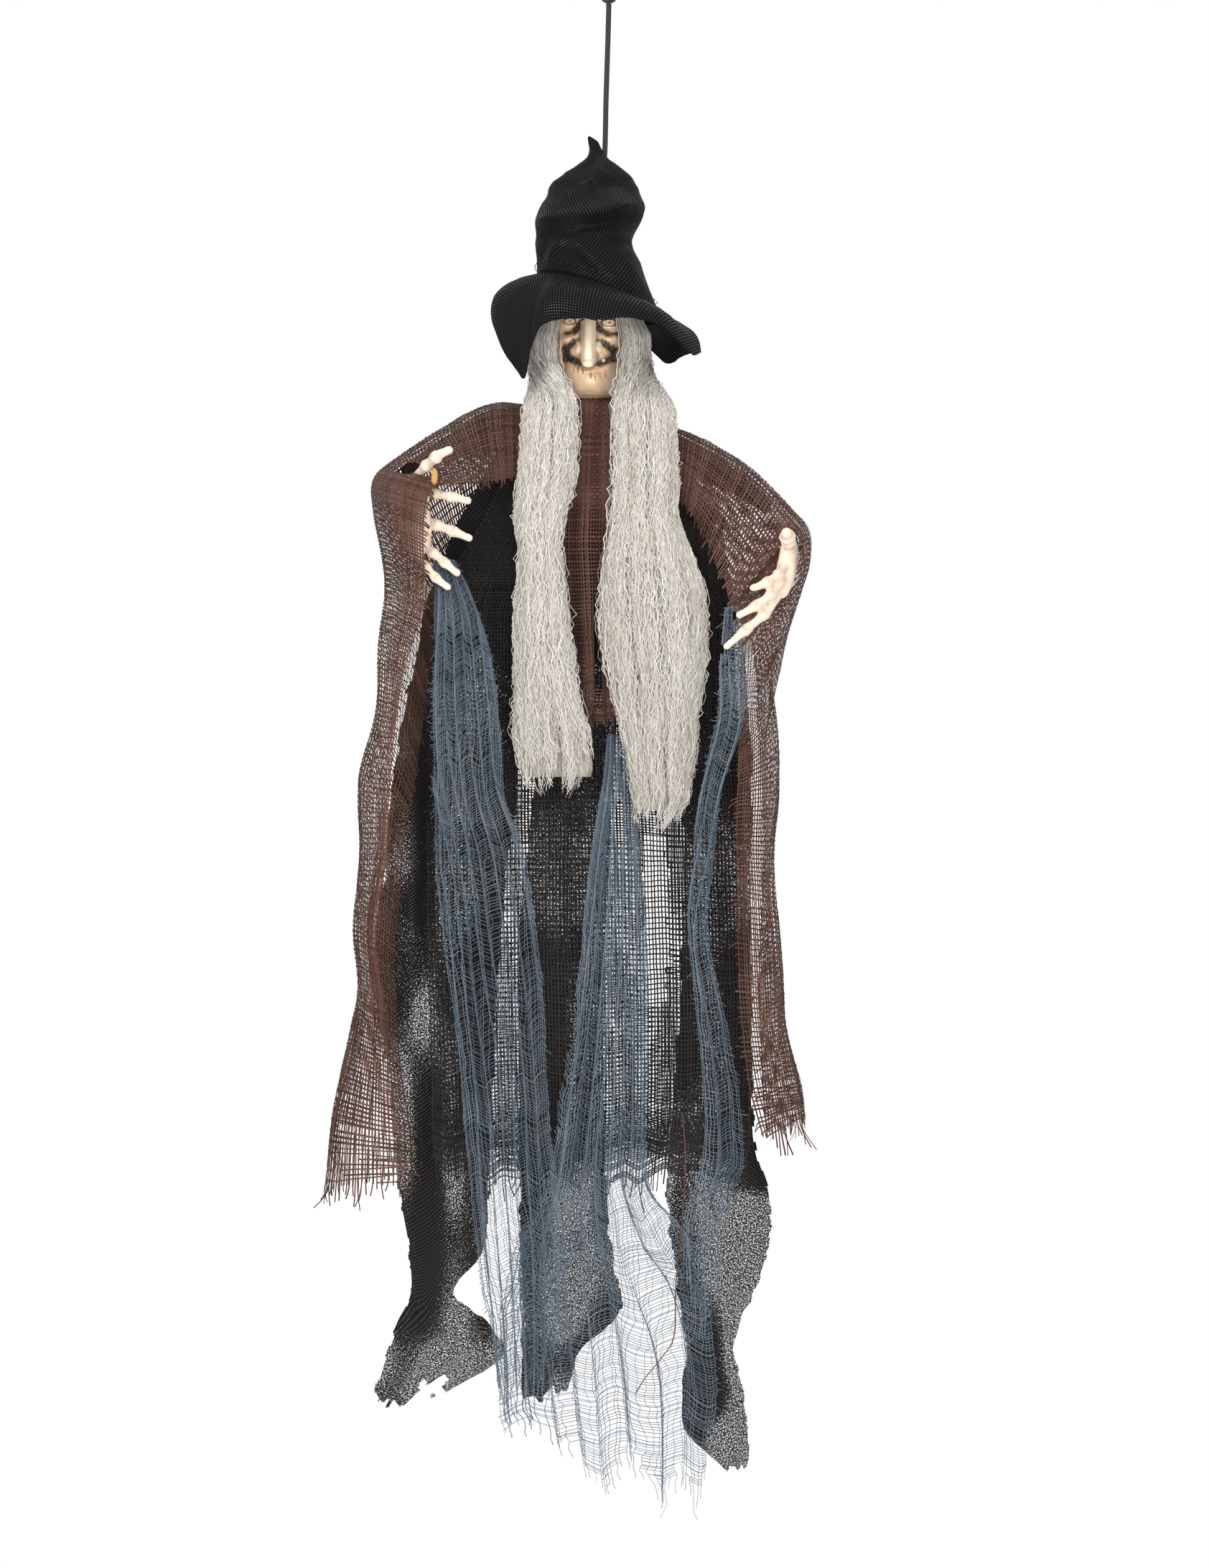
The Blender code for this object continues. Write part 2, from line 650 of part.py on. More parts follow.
LEFT_LOCK = [
    (-206.0, -47.0, -18.0, 2.4), (-214.0, -47.0, -18.0, 5.0), (-224.0, -47.0, -18.0, 8.0),
    (-236.0, -47.0, -18.0, 9.0), (-248.0, -47.0, -18.0, 10.0), (-258.0, -47.0, -17.8, 10.0),
    (-270.0, -48.3, -17.8, 11.0), (-286.0, -49.3, -17.8, 12.0), (-304.0, -50.4, -18.6, 13.0),
    (-328.3, -52.9, -24.8) + (13.0,), (-344.9, -49.6, -27.3) + (13.0,), (-365.5, -50.4, -24.4) + (13.0,),
    (-386.6, -53.3, -21.9) + (14.0,), (-408.9, -52.5, -19.8) + (14.0,), (-431.6, -52.5, -16.5) + (14.0,),
    (-452.2, -54.1, -9.5) + (13.0,), (-472.1, -52.0, -5.8) + (11.0,), (-483.2, -50.4, -8.3) + (8.0,),
    (-491.9, -39.6, -17.3) + (4.0,),
]
RIGHT_LOCK = [
    (-216.5, 2.1, 35.0, 6.5), (-221.0, 2.1, 35.0, 8.5), (-228.0, 2.1, 35.0, 9.5),
    (-236.0, 2.1, 35.0, 9.0), (-248.0, 2.1, 35.0, 10.0), (-258.0, 2.1, 35.6, 10.0),
    (-270.0, 1.9, 37.2, 11.0), (-286.0, 1.7, 37.8, 12.0), (-304.0, 2.0, 38.2, 13.0),
    (-328.3, 0.8, 38.0) + (13.0,), (-345.7, -0.8, 44.2) + (13.0,), (-370.0, -3.3, 52.9) + (14.0,),
    (-390.3, -4.1, 55.3) + (14.0,), (-415.1, -0.4, 54.9) + (14.0,), (-444.0, 5.8, 50.8) + (14.0,),
    (-468.8, 10.3, 48.3) + (12.0,), (-489.4, 13.6, 47.5) + (9.0,), (-503.9, 15.7, 40.1) + (5.0,),
    (-510.9, 18.2, 31.8) + (3.0,),
]
lock("hair_left", -1, LEFT_LOCK, 36.0, 100.0, 8, 1.0)
lock("hair_right", 1, RIGHT_LOCK, 37.0, 100.0, 8, 0.7)


def back_hair():
    """The bunch over the back of the head, hanging behind the shoulders."""
    rings = []
    levels = [-215.0, -224.0, -238.0, -252.0, -266.0, -284.0, -305.0, -335.0, -370.0, -412.0]
    for z in levels:
        turn = np.radians(np.linspace(104.0, 256.0, 11))
        skin = 0.9 + 1.4 * float(smooth(-216.0, -228.0, z))
        fat = 2.0 + 6.0 * float(smooth(-214.0, -226.0, z)) - 6.5 * float(smooth(-360.0, -412.0, z))
        near_x, near_y = head_outline(z, turn, skin)
        far_x, far_y = head_outline(z, turn, skin + fat)
        loose = float(smooth(-240.0, -270.0, z))
        hang_x = HEAD_X + np.linspace(30.0, -30.0, 11) * (1.0 - 0.25 * float(smooth(-340.0, -412.0, z)))
        bow = 2.0 * np.sqrt(np.clip(1.0 - np.linspace(-1.0, 1.0, 11) ** 2, 0.0, 1.0))
        near = np.stack([near_x, near_y], axis=1) * (1 - loose) + np.stack([hang_x, 32.5 + bow], axis=1) * loose
        far = np.stack([far_x, far_y], axis=1) * (1 - loose)
        far += np.stack([hang_x, 34.0 + bow * 2.0 + fat], axis=1) * loose
        ring = np.concatenate([near, far[::-1]])
        rings.append(np.column_stack([ring, np.full(len(ring), z)]))
    return closed_rings("hair_back", rings, HAIR, flat_ends=True)


back_hair()

# Collar and neck cloth with two tails

COLLAR = [(0.5, 9.6), (2.4, 10.1), (3.7, 8.8), (3.2, 6.6), (3.8, 4.8), (2.6, 3.4), (0.5, 3.6)]
collar_profile = [(NECK_RADIUS + out, NECK_BOTTOM + up) for out, up in COLLAR]
closed_rings("neck_collar", lathe(collar_profile, 20, (HEAD_X, HEAD_Y)), BURLAP, open_tube=True)


def scarf_depth(x, z):
    """In front of the collar at the top, then lying over the gown."""
    top = HEAD_Y - NECK_RADIUS - 4.3 + 0.0 * x
    hung = front_depth(x, z) - 6.0
    hung = np.minimum(hung, -24.0)
    f = smooth(-262.0, -284.0, z)
    return top + (hung - top) * f


def neck_cloth():
    """A strip from the collar that splits into two tails."""
    keys = [
        (-263.1, -21.9, 5.8), (-278.8, -24.0, 5.0), (-299.4, -25.6, 5.0), (-320.1, -26.4, 5.0), (-344.9, -27.3, 5.0), (-369.6, -25.6, 5.0),
        (-393.2, -23.1, 4.1), (-415.1, -19.8, 3.7), (-437.8, -17.8, 3.3), (-448.9, -14.9, 2.1),
    ]
    edge = curve_through(keys, 14)
    columns = 8
    split = 8
    across = np.linspace(0.0, 1.0, columns)
    points = []
    index = {}
    for r in range(14):
        for c in range(columns):
            for tail in (0, 1):
                if tail == 1 and not (c == 4 and r > split):
                    continue
                open_by = 1.4 * max(0, r - split)
                x = edge[r, 1] + (edge[r, 2] - edge[r, 1]) * across[c]
                if c == 4 and r > split:
                    x += open_by * (0.5 if tail else -0.5)
                z = edge[r, 0] - (4.0 if c in (1, 6) and r == 13 else 0.0)
                index[(r, c, tail)] = len(points)
                points.append((x, float(scarf_depth(np.array(x), np.array(z))), z))
    faces = []
    for r in range(13):
        for c in range(columns - 1):
            tail = 1 if c >= 4 else 0
            corner = []
            for rr, cc in ((r, c), (r, c + 1), (r + 1, c + 1), (r + 1, c)):
                use = 1 if (tail and cc == 4 and rr > split) else 0
                corner.append(index[(rr, cc, use)])
            faces.append((corner[0], corner[1], corner[2]))
            faces.append((corner[0], corner[2], corner[3]))
    return thicken("neck_cloth", np.array(points), faces, GAUZE, BURLAP)


neck_cloth()

# Brown cape over each arm: rows of (outer fold, front edge, back edge)

LEFT_CAPE = [
    ((-29.7, 2, -265.1), (-30.6, -25, -304.4), (-30.6, 28, -315.9)),
    ((-48.7, 1, -261.8), (-49.6, -26, -305.6), (-48.7, 28, -326.3)),
    ((-68.6, 0, -261.4), (-63.2, -34, -307.7), (-65.3, 27, -336.6)),
    ((-96.2, -3, -275.5), (-75.2, -52, -310.2), (-79.7, 21, -349.0)),
    ((-121.8, -10, -292.8), (-87.6, -68, -311.4), (-89.2, 14, -361.4)),
    ((-135.1, -22, -305.2), (-101.2, -73, -315.1), (-97.5, 6, -373.8)),
    ((-135.9, -28, -322.1), (-104.9, -74, -334.5), (-99.9, 1, -394.4)),
    ((-131.3, -29, -349.0), (-104.9, -73, -361.4), (-102.4, -3, -413.0)),
    ((-128.9, -29, -372.9), (-106.6, -70, -384.1), (-105.7, -6, -435.7)),
    ((-132.2, -28, -402.7), (-114.8, -66, -413.0), (-109.0, -8, -460.5)),
    ((-133.8, -26, -440.3), (-120.6, -62, -444.0), (-112.3, -9, -485.3)),
    ((-143.7, -25, -480.3), (-123.9, -58, -483.2), (-118.1, -9, -512.1)),
    ((-143.3, -24, -522.4), (-126.4, -54, -522.4), (-120.6, -9, -549.3)),
    ((-146.2, -23, -563.7), (-133.0, -50, -567.9), (-123.9, -8, -580.3)),
    ((-143.7, -22, -598.4), (-129.3, -47, -605.0), (-122.2, -7, -617.4)),
    ((-150.3, -21, -633.5), (-125.1, -44, -642.2), (-118.9, -6, -650.5)),
    ((-159.8, -20, -671.1), (-120.6, -42, -679.4), (-114.0, -5, -683.5)),
    ((-164.8, -20, -715.7), (-116.9, -40, -708.3), (-112.7, -4, -712.4)),
]
RIGHT_CAPE = [
    ((10.7, 2, -266.8), (10.7, -25, -309.8), (10.7, 28, -320.1)),
    ((23.5, 1, -270.1), (23.5, -26, -312.6), (23.5, 28, -326.3)),
    ((40.1, 0, -275.9), (38.8, -28, -316.8), (38.0, 28, -334.5)),
    ((62.8, -1, -286.2), (48.3, -36, -330.4), (52.5, 26, -346.9)),
    ((84.3, -6, -300.7), (58.6, -46, -351.0), (64.8, 20, -361.4)),
    ((105.7, -15, -322.6), (66.9, -52, -371.7), (75.2, 11, -382.0)),
    ((115.2, -33, -336.6), (73.5, -51, -387.0), (81.8, 4, -402.7)),
    ((115.2, -38, -355.2), (76.8, -51, -398.5), (84.3, 0, -423.3)),
    ((109.0, -36, -373.8), (79.3, -53, -413.0), (85.9, -3, -444.0)),
    ((101.6, -28, -398.5), (81.8, -58, -431.6), (87.6, -5, -464.6)),
    ((93.8, -27, -417.1), (81.8, -56, -452.2), (88.4, -6, -485.3)),
    ((97.1, -26, -448.1), (79.7, -53, -468.8), (89.2, -7, -501.8)),
    ((97.5, -25, -485.3), (81.8, -50, -490.2), (90.0, -8, -518.3)),
    ((94.2, -24, -518.3), (84.3, -47, -518.3), (88.4, -8, -536.9)),
    ((97.5, -23, -552.2), (83.4, -45, -547.2), (87.6, -7, -563.7)),
    ((100.8, -22, -588.5), (81.8, -43, -584.4), (86.7, -6, -596.8)),
    ((103.2, -21, -621.6), (82.6, -41, -621.6), (87.6, -5, -629.8)),
    ((111.5, -20, -654.6), (85.1, -40, -654.6), (89.2, -5, -662.9)),
    ((114.0, -20, -673.6), (87.6, -40, -684.3), (90.9, -4, -687.6)),
]
CAPE_ROWS = 26
CAPE_FRONT = (1.0, 0.83, 0.67, 0.5, 0.3, 0.12, 0.0)
CAPE_BACK = (0.12, 0.35, 0.65, 1.0)


def cape(name, keys, flip, holes, cover):
    """A long strip laid over an arm, front edge and back edge hanging, its end a sleeve."""
    fold = curve_through([k[0] for k in keys], CAPE_ROWS)
    front = curve_through([k[1] for k in keys], CAPE_ROWS)
    back = curve_through([k[2] for k in keys], CAPE_ROWS)
    columns = [(front, u) for u in CAPE_FRONT] + [(back, u) for u in CAPE_BACK]
    along = np.linspace(0.0, 1.0, CAPE_ROWS)
    sheet = []
    for edge, u in columns:
        flat = u**1.55
        deep = 1.0 - (1.0 - u) ** 2.2
        line = fold + (edge - fold) * flat
        line[:, 1] = fold[:, 1] + (edge[:, 1] - fold[:, 1]) * deep
        ripple = 2.2 * np.sin(u * 9.0 + along * 14.0) * smooth(0.32, 0.5, along) * u * (1.4 - u)
        line[:, 1] += ripple
        if edge is front:
            at_row, at_u, rows_wide, u_wide, forward = cover
            near = ((along * (len(keys) - 1) - at_row) / rows_wide) ** 2 + ((u - at_u) / u_wide) ** 2
            line[:, 1] -= forward * np.exp(-near)
        sheet.append(line)
    sheet = np.stack(sheet, axis=1)
    faces = grid_triangles(CAPE_ROWS, len(columns), holes=holes)
    if flip:
        faces = [(a, c, b) for a, b, c in faces]
    return thicken(name, sheet.reshape(-1, 3), faces, CAPE_CLOTH, BURLAP)


cape("cape_left", LEFT_CAPE, False, {(5, 1), (5, 2), (6, 1), (6, 2)}, (6.0, 0.45, 1.6, 0.3, 5.0))
cape("cape_right", RIGHT_CAPE, True, {(7, 3), (8, 3), (9, 3), (10, 3), (8, 2), (9, 2)}, (6.7, 0.2, 1.2, 0.2, 29.0))

# Black gauze gown, front and back

GOWN = [
    (HIDDEN_TOP, -60.0, 42.0), (-303.6, -61.1, 62.8), (-336.6, -76.8, 66.9), (-377.9, -99.9, 71.0), (-444.0, -103.2, 75.2),
    (-526.6, -105.7, 80.1), (-609.2, -104.1, 82.6), (-675.3, -102.4, 81.8), (-708.3, -100.8, 79.3),
]
hanging_sheet("gown_front", GOWN, 10, 24, front_depth, GAUZE, BLACK_GAUZE, hem=7.0, seed=0.4, lean=0.4)


def gown_back_depth(x, z):
    """Behind the wadding, then hanging a little back."""
    rest = 15.6 + 9.0 * smooth(-330.0, -470.0, z) * (1.0 - np.clip(x / 110.0, -1.0, 1.0) ** 2)
    return rest + 0.8 * wave(x, z) * smooth(-300.0, -380.0, z)


GOWN_REAR = [
    (HIDDEN_TOP, -58.0, 36.0), (-303.6, -65.3, 56.6), (-336.6, -74.3, 62.8), (-377.9, -81.8, 69.4), (-444.0, -97.5, 75.2),
    (-526.6, -99.9, 79.3), (-609.2, -99.9, 80.9), (-675.3, -97.5, 79.3), (-700.0, -94.2, 75.2),
]
hanging_sheet("gown_back", GOWN_REAR, 8, 16, gown_back_depth, GAUZE, BLACK_GAUZE, hem=7.0, seed=2.2, lean=0.4)

# Black nonwoven panels under the gown


def panel_depth(x, z):
    """Hanging from the underside of the wadding and the plug."""
    out = 0.5 - 3.0 * (1.0 - np.clip(x / 100.0, -1.0, 1.0) ** 2)
    side = 6.5 * smooth(85.0, 115.0, np.abs(x))
    return out + side + 0.75 * wave(x, z) * smooth(-300.0, -400.0, z)


PANEL_LEFT = [
    (-291.4, -62.0, -46.0), (-320.1, -67.7, -37.2), (-361.4, -85.9, -39.6), (-402.7, -98.3, -44.6), (-485.3, -105.7, -50.8),
    (-567.9, -114.0, -59.1), (-650.5, -125.1, -64.4), (-708.3, -125.1, -68.6), (-749.6, -118.1, -69.8), (-776.9, -115.6, -89.2),
    (-795.0, -123.9, -69.4), (-815.7, -133.0, -59.5), (-841.3, -138.8, -102.4),
]
PANEL_CENTRE = [
    (-294.9, -22.0, -1.0), (-361.4, -28.1, 9.9), (-444.0, -39.6, 5.8), (-553.4, -52.9, 0.8), (-650.5, -54.5, -0.8),
    (-712.4, -53.7, 0.8), (-753.7, -52.9, 4.1), (-788.8, -52.0, 8.3), (-811.5, -52.0, -14.9), (-836.3, -51.2, -22.7),
]
PANEL_RIGHT = [
    (-304.2, 28.0, 42.0), (-361.4, 32.2, 68.6), (-444.0, 36.3, 75.2), (-522.4, 42.1, 79.3), (-609.2, 39.6, 81.4),
    (-685.2, 33.9, 85.9), (-719.9, 31.8, 95.0), (-748.4, 33.9, 94.6), (-773.5, 38.0, 87.6), (-791.3, 41.3, 78.5),
    (-809.9, 44.6, 73.5), (-830.1, 42.1, 78.1), (-855.7, 42.1, 82.2), (-871.0, 56.2, 81.8), (-880.9, 69.4, 79.7),
]
hanging_sheet("panel_left", PANEL_LEFT, 15, 9, panel_depth, FELT, BLACK_FELT, hem=9.0, seed=1.0)
hanging_sheet("panel_centre", PANEL_CENTRE, 12, 8, panel_depth, FELT, BLACK_FELT, hem=6.0, seed=3.0)
hanging_sheet("panel_right", PANEL_RIGHT, 17, 9, panel_depth, FELT, BLACK_FELT, hem=4.0, seed=5.0)

# Blue-grey gauze strips


def strip_depth(start, z_start, z_end, offset, pitch, amount, phase):
    """Depth that runs from a hand to a place before the gown, with its own gathers."""

    def depth(x, z):
        f = smooth(z_start, z_end, z)
        own = amount * np.sin(x * 2 * math.pi / pitch + phase)
        return start + (front_depth(x, z) - offset - start) * f + own

    return depth


GAUZE_LEFT = [
    (-353.9, -99.9, -88.4), (-382.0, -99.9, -73.5), (-410.9, -100.8, -66.1), (-444.0, -101.6, -61.9), (-485.3, -101.6, -59.5), (-526.6, -99.9, -46.3),
    (-588.5, -93.3, -38.0), (-650.5, -85.9, -35.5), (-700.0, -81.8, -31.4), (-753.7, -76.8, -24.8), (-799.2, -69.4, -24.0), (-850.8, -60.3, -28.9),
]
hanging_sheet(
    "gauze_left", GAUZE_LEFT, 13, 12, strip_depth(-62.5, -370.0, -560.0, 11.5, 27.0, 1.4, 0.3),
    GAUZE, BLUE_GAUZE, hem=8.0, seed=0.9,
)


def centre_depth(x, z):
    """Pinned on the gown at the top, then lying before it."""
    off = 1.5 + 4.5 * smooth(-452.0, -490.0, z)
    return front_depth(x, z) - off + 1.2 * np.sin(x * 2 * math.pi / 21.0) * smooth(-480.0, -540.0, z)


GAUZE_CENTRE = [
    (-453.1, -0.8, 14.9), (-485.3, -4.1, 15.7), (-526.6, -10.7, 18.2), (-567.9, -14.9, 22.3), (-609.2, -19.8, 22.3), (-658.7, -27.3, 22.3),
    (-708.3, -35.5, 24.0), (-741.3, -50.4, 42.1), (-774.4, -61.1, 57.0), (-815.7, -64.4, 62.8), (-857.0, -59.5, 62.8), (-896.2, -43.0, 59.5),
]
hanging_sheet(
    "gauze_centre", GAUZE_CENTRE, 15, 13, centre_depth, GAUZE, BLUE_GAUZE, hem=12.0, seed=4.1,
    holes={(2, 5), (2, 6), (1, 5), (1, 6)},
)
GAUZE_RIGHT = [
    (-380.4, 66.1, 73.5), (-415.1, 62.8, 76.8), (-444.0, 61.1, 77.6), (-485.3, 52.0, 65.3), (-526.6, 47.9, 60.3), (-567.9, 45.4, 57.8),
    (-629.8, 52.0, 70.2), (-691.8, 54.5, 77.6), (-733.1, 43.8, 67.7), (-799.2, 41.3, 63.6),
]
hanging_sheet(
    "gauze_right", GAUZE_RIGHT, 13, 7, strip_depth(-70.5, -400.0, -560.0, 11.5, 23.0, 0.8, 0.0),
    GAUZE, BLUE_GAUZE, hem=8.0, seed=2.7,
)

# Hands: palm, thumb and four thin fingers


def hand(name, palm, palm_radii, flat, digits, wire_end):
    """One moulded hand with a bore for the end of the wire."""
    body = closed_rings(name, rounded(palm, palm_radii, 7, 8, flat), HAND)
    for number, (path, radii) in enumerate(digits):
        digit = closed_rings(f"{name}_part_{number}", rounded(path, radii, 7, 8), HAND)
        cutter(digit)
        boolean(body, digit, "UNION")
    bore = closed_rings(f"{name}_bore", rings_along(wire_end, WIRE_DIAMETER / 2 + GAP, 10), HAND)
    cutter(bore)
    boolean(body, bore, "DIFFERENCE")
    return body


def wire_tip(path, back, ahead):
    """A straight line over the end of a wire and a little past it."""
    end = path[-1]
    way = path[-1] - path[-2]
    way = way / np.linalg.norm(way)
    return [end - way * back, end - way * (back / 2), end + way * ahead]


hand(
    "hand_left",
    [(-113.2, -58, -305.2), (-111.5, -60, -320.1), (-109.9, -61, -335.8), (-109.0, -60, -352.3)],
    [7.0, 8.6, 8.8, 7.0],
    0.72,
    [
        ([(-110.7, -59, -306.9), (-102.4, -70, -299.4), (-95.8, -78, -294.5), (-88.4, -80, -291.6)], [3.6, 3.8, 3.9, 3.4]),
        ([(-110.7, -60, -314.3), (-100.8, -63, -315.9), (-89.2, -67, -318.4), (-78.1, -66, -321.3)], [3.9, 3.7, 3.5, 3.0]),
        ([(-109.9, -60, -330.0), (-99.9, -63, -333.7), (-88.4, -68, -338.2), (-77.6, -67, -342.8)], [3.9, 3.7, 3.5, 3.0]),
        ([(-109.9, -60, -344.0), (-100.8, -64, -349.8), (-92.5, -70, -356.8), (-84.7, -70, -363.4)], [3.7, 3.5, 3.3, 2.9]),
        ([(-109.9, -60, -350.6), (-104.9, -66, -357.2), (-98.3, -71, -364.7), (-90.0, -71, -371.3)], [3.5, 3.3, 3.1, 2.8]),
    ],
    wire_tip(left_wire, 14.0, 1.0),
)
hand(
    "hand_right",
    [(103.7, -55, -341.6), (102.8, -56, -352.3), (100.4, -58.5, -363.9), (95.8, -62, -376.2)],
    [4.6, 5.8, 5.8, 5.0],
    0.8,
    [
        ([(103.2, -57, -347.3), (102.4, -65, -343.6), (101.2, -74, -339.9), (100.4, -78, -338.7)], [3.8, 4.4, 4.9, 4.6]),
        ([(101.6, -58, -356.4), (96.2, -67, -363.0), (88.4, -72, -368.0), (80.1, -72, -371.3)], [3.8, 3.6, 3.4, 2.9]),
        ([(99.9, -62, -364.7), (92.5, -70, -373.8), (82.6, -74, -381.2), (72.3, -74, -387.0)], [3.8, 3.6, 3.4, 2.9]),
        ([(97.5, -63, -372.9), (89.2, -70, -384.5), (76.8, -74, -395.2), (65.3, -74, -405.2)], [3.8, 3.5, 3.3, 2.8]),
    ],
    wire_tip(right_wire, 14.0, 1.0),
)
closed_rings(
    "glue_drop",
    rounded([(-99.5, -75.5, -302.3), (-99.1, -75.5, -306.4), (-99.5, -73.5, -311.8)], [1.7, 1.9, 1.6], 6, 8),
    GLUE,
)
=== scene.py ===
"""Hanging witch decoration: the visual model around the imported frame. Facing -Y, with Z up."""

import itertools
import json
import logging
import math
from collections.abc import Callable, Sequence
from dataclasses import dataclass, field
from enum import Enum
from functools import cache

import bpy
import numpy as np
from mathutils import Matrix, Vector

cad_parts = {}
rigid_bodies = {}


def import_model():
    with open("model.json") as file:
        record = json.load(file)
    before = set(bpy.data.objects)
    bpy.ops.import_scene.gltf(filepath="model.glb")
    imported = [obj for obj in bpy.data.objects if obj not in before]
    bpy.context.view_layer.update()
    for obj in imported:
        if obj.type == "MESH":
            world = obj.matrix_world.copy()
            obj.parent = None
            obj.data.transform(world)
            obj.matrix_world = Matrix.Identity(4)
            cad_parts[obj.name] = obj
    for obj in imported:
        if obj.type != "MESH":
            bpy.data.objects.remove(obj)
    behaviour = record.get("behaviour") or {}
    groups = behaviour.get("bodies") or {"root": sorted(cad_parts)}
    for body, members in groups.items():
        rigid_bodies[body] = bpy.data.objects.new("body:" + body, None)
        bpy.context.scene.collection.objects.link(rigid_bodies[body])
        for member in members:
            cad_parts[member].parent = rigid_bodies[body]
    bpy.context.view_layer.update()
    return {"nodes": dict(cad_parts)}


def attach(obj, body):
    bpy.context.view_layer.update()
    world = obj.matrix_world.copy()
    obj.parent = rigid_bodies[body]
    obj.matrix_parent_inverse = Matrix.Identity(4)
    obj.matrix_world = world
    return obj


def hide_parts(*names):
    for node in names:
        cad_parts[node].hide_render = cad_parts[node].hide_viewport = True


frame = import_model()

LOG = logging.getLogger("decoration")
Array = np.ndarray
Look = bpy.types.Material
Piece = bpy.types.Object
Hole = Callable[[Array], Array]
Depth = Callable[[Array, Array], Array]
Size = tuple[float, float]
MM = 0.001
TAU = 2.0 * math.pi

HEAD_X = -11.2
HEAD_Y = 2.0
NOSE_X = -0.6
KNOT_TOP = -193.1
CORD_DIAMETER = 3.1
FOLD_LONG = 41.0
FOLD_SHORT = 24.0
HIDDEN_TOP = -281.0
CAPE_CLEAR = 0.8
STRIP_CLEAR = 0.3


# Curves, noise and grids, in millimetres


def curve_through(keys: Sequence, count: int) -> Array:
    """A smooth curve through every key.

    Args:
        keys: rows of numbers, one row a key.
        count: how many points, at even parameter steps.

    Returns:
        The points, count rows.
    """
    keys = np.array(keys, float)
    if keys.ndim == 1:
        keys = keys[:, None]
    last = len(keys) - 1
    slope = np.gradient(keys, axis=0)
    at = np.linspace(0.0, last, count)
    low = np.clip(at.astype(int), 0, last - 1)
    f = (at - low)[:, None]
    start = (2 * f**3 - 3 * f**2 + 1) * keys[low] + (f**3 - 2 * f**2 + f) * slope[low]
    end = (3 * f**2 - 2 * f**3) * keys[low + 1] + (f**3 - f**2) * slope[low + 1]
    return start + end


def even_curve(keys: Sequence, count: int) -> Array:
    """Points at even distances on the smooth curve through the keys.

    Args:
        keys: rows of numbers, one row a key.
        count: how many points.

    Returns:
        The points, count rows.
    """
    return evened(curve_through(keys, 40 * len(keys)), count)


def run_along(path: Array) -> Array:
    """The distance run at each point of a path."""
    return np.concatenate([[0.0], np.cumsum(np.linalg.norm(np.diff(path, axis=0), axis=1))])


def evened(path: Array, count: int) -> Array:
    """Points at even distances on straight lines through a path's points."""
    run = run_along(path)
    want = np.linspace(0.0, run[-1], count)
    return np.stack([np.interp(want, run, path[:, k]) for k in range(path.shape[1])], axis=1)


def shares(rows: int, columns: int) -> tuple[Array, Array]:
    """Fractions down as a column, and across as a row."""
    return np.linspace(0.0, 1.0, rows)[:, None], np.linspace(0.0, 1.0, columns)[None, :]


def between(first: Array, second: Array, share: Array) -> Array:
    """The first where the share is 0, the second where it is 1."""
    return first * (1 - share) + second * share


def turns(count: int) -> Array:
    """Even angles once round."""
    return np.arange(count) * TAU / count


def blend(table: Sequence, at: Array | float) -> list[Array]:
    """Columns of a table read at the given places of its first column.

    Args:
        table: rows of numbers whose first column rises or falls.
        at: where to read it.

    Returns:
        One array for each further column.
    """
    rows = np.array(table, float)
    rows = rows[np.argsort(rows[:, 0])]
    return [np.interp(at, rows[:, 0], rows[:, k]) for k in range(1, rows.shape[1])]


def smooth(low: float, high: float, value: Array | float) -> Array:
    """A smooth rise.

    Args:
        low: where it is 0.
        high: where it is 1.
        value: where to read it.

    Returns:
        Numbers from 0 to 1.
    """
    f = np.clip((np.asarray(value, float) - low) / (high - low), 0.0, 1.0)
    return f * f * (3.0 - 2.0 * f)


def grain(points: Array, size: float, seed: int = 0) -> Array:
    """Smooth noise on a lattice.

    Args:
        points: places, the last axis x, y and z.
        size: the lattice pitch in the points' unit.
        seed: which noise.

    Returns:
        Numbers from -1 to 1.
    """
    at = np.asarray(points, float) / size
    low = np.floor(at).astype(np.int64)
    f = at - low
    f = f * f * (3.0 - 2.0 * f)
    total = np.zeros(at.shape[:-1])
    for corner in itertools.product((0, 1), repeat=3):
        cell = low + np.array(corner)
        mixed = cell[..., 0] * 73856093 ^ cell[..., 1] * 19349663 ^ cell[..., 2] * 83492791 ^ seed * 97531
        mixed = (mixed ^ (mixed >> 13)) * 1274126177 & 0x7FFFFFFF
        mixed = (mixed ^ (mixed >> 15)) & 0xFFFF
        weight = np.prod(np.where(np.array(corner) == 1, f, 1.0 - f), axis=-1)
        total += (mixed / 32767.5 - 1.0) * weight
    return total


def unit(vectors: Array) -> Array:
    """Vectors of length one along the last axis."""
    return vectors / np.maximum(np.linalg.norm(vectors, axis=-1, keepdims=True), 1e-9)


def frames_along(path: Array) -> tuple[Array, Array]:
    """Two unit vectors across a path at every point, turning as little as they can.

    Args:
        path: the points.

    Returns:
        The two sets of vectors.
    """
    ahead = unit(np.gradient(np.asarray(path, float), axis=0))
    side = np.cross(ahead[0], (0.0, 1.0, 0.0) if abs(ahead[0][1]) < 0.9 else (1.0, 0.0, 0.0))
    sides = []
    for direction in ahead:
        side = side - direction * np.dot(side, direction)
        side = side / np.linalg.norm(side)
        sides.append(side)
    turned = np.array(sides)
    return turned, np.cross(ahead, turned)


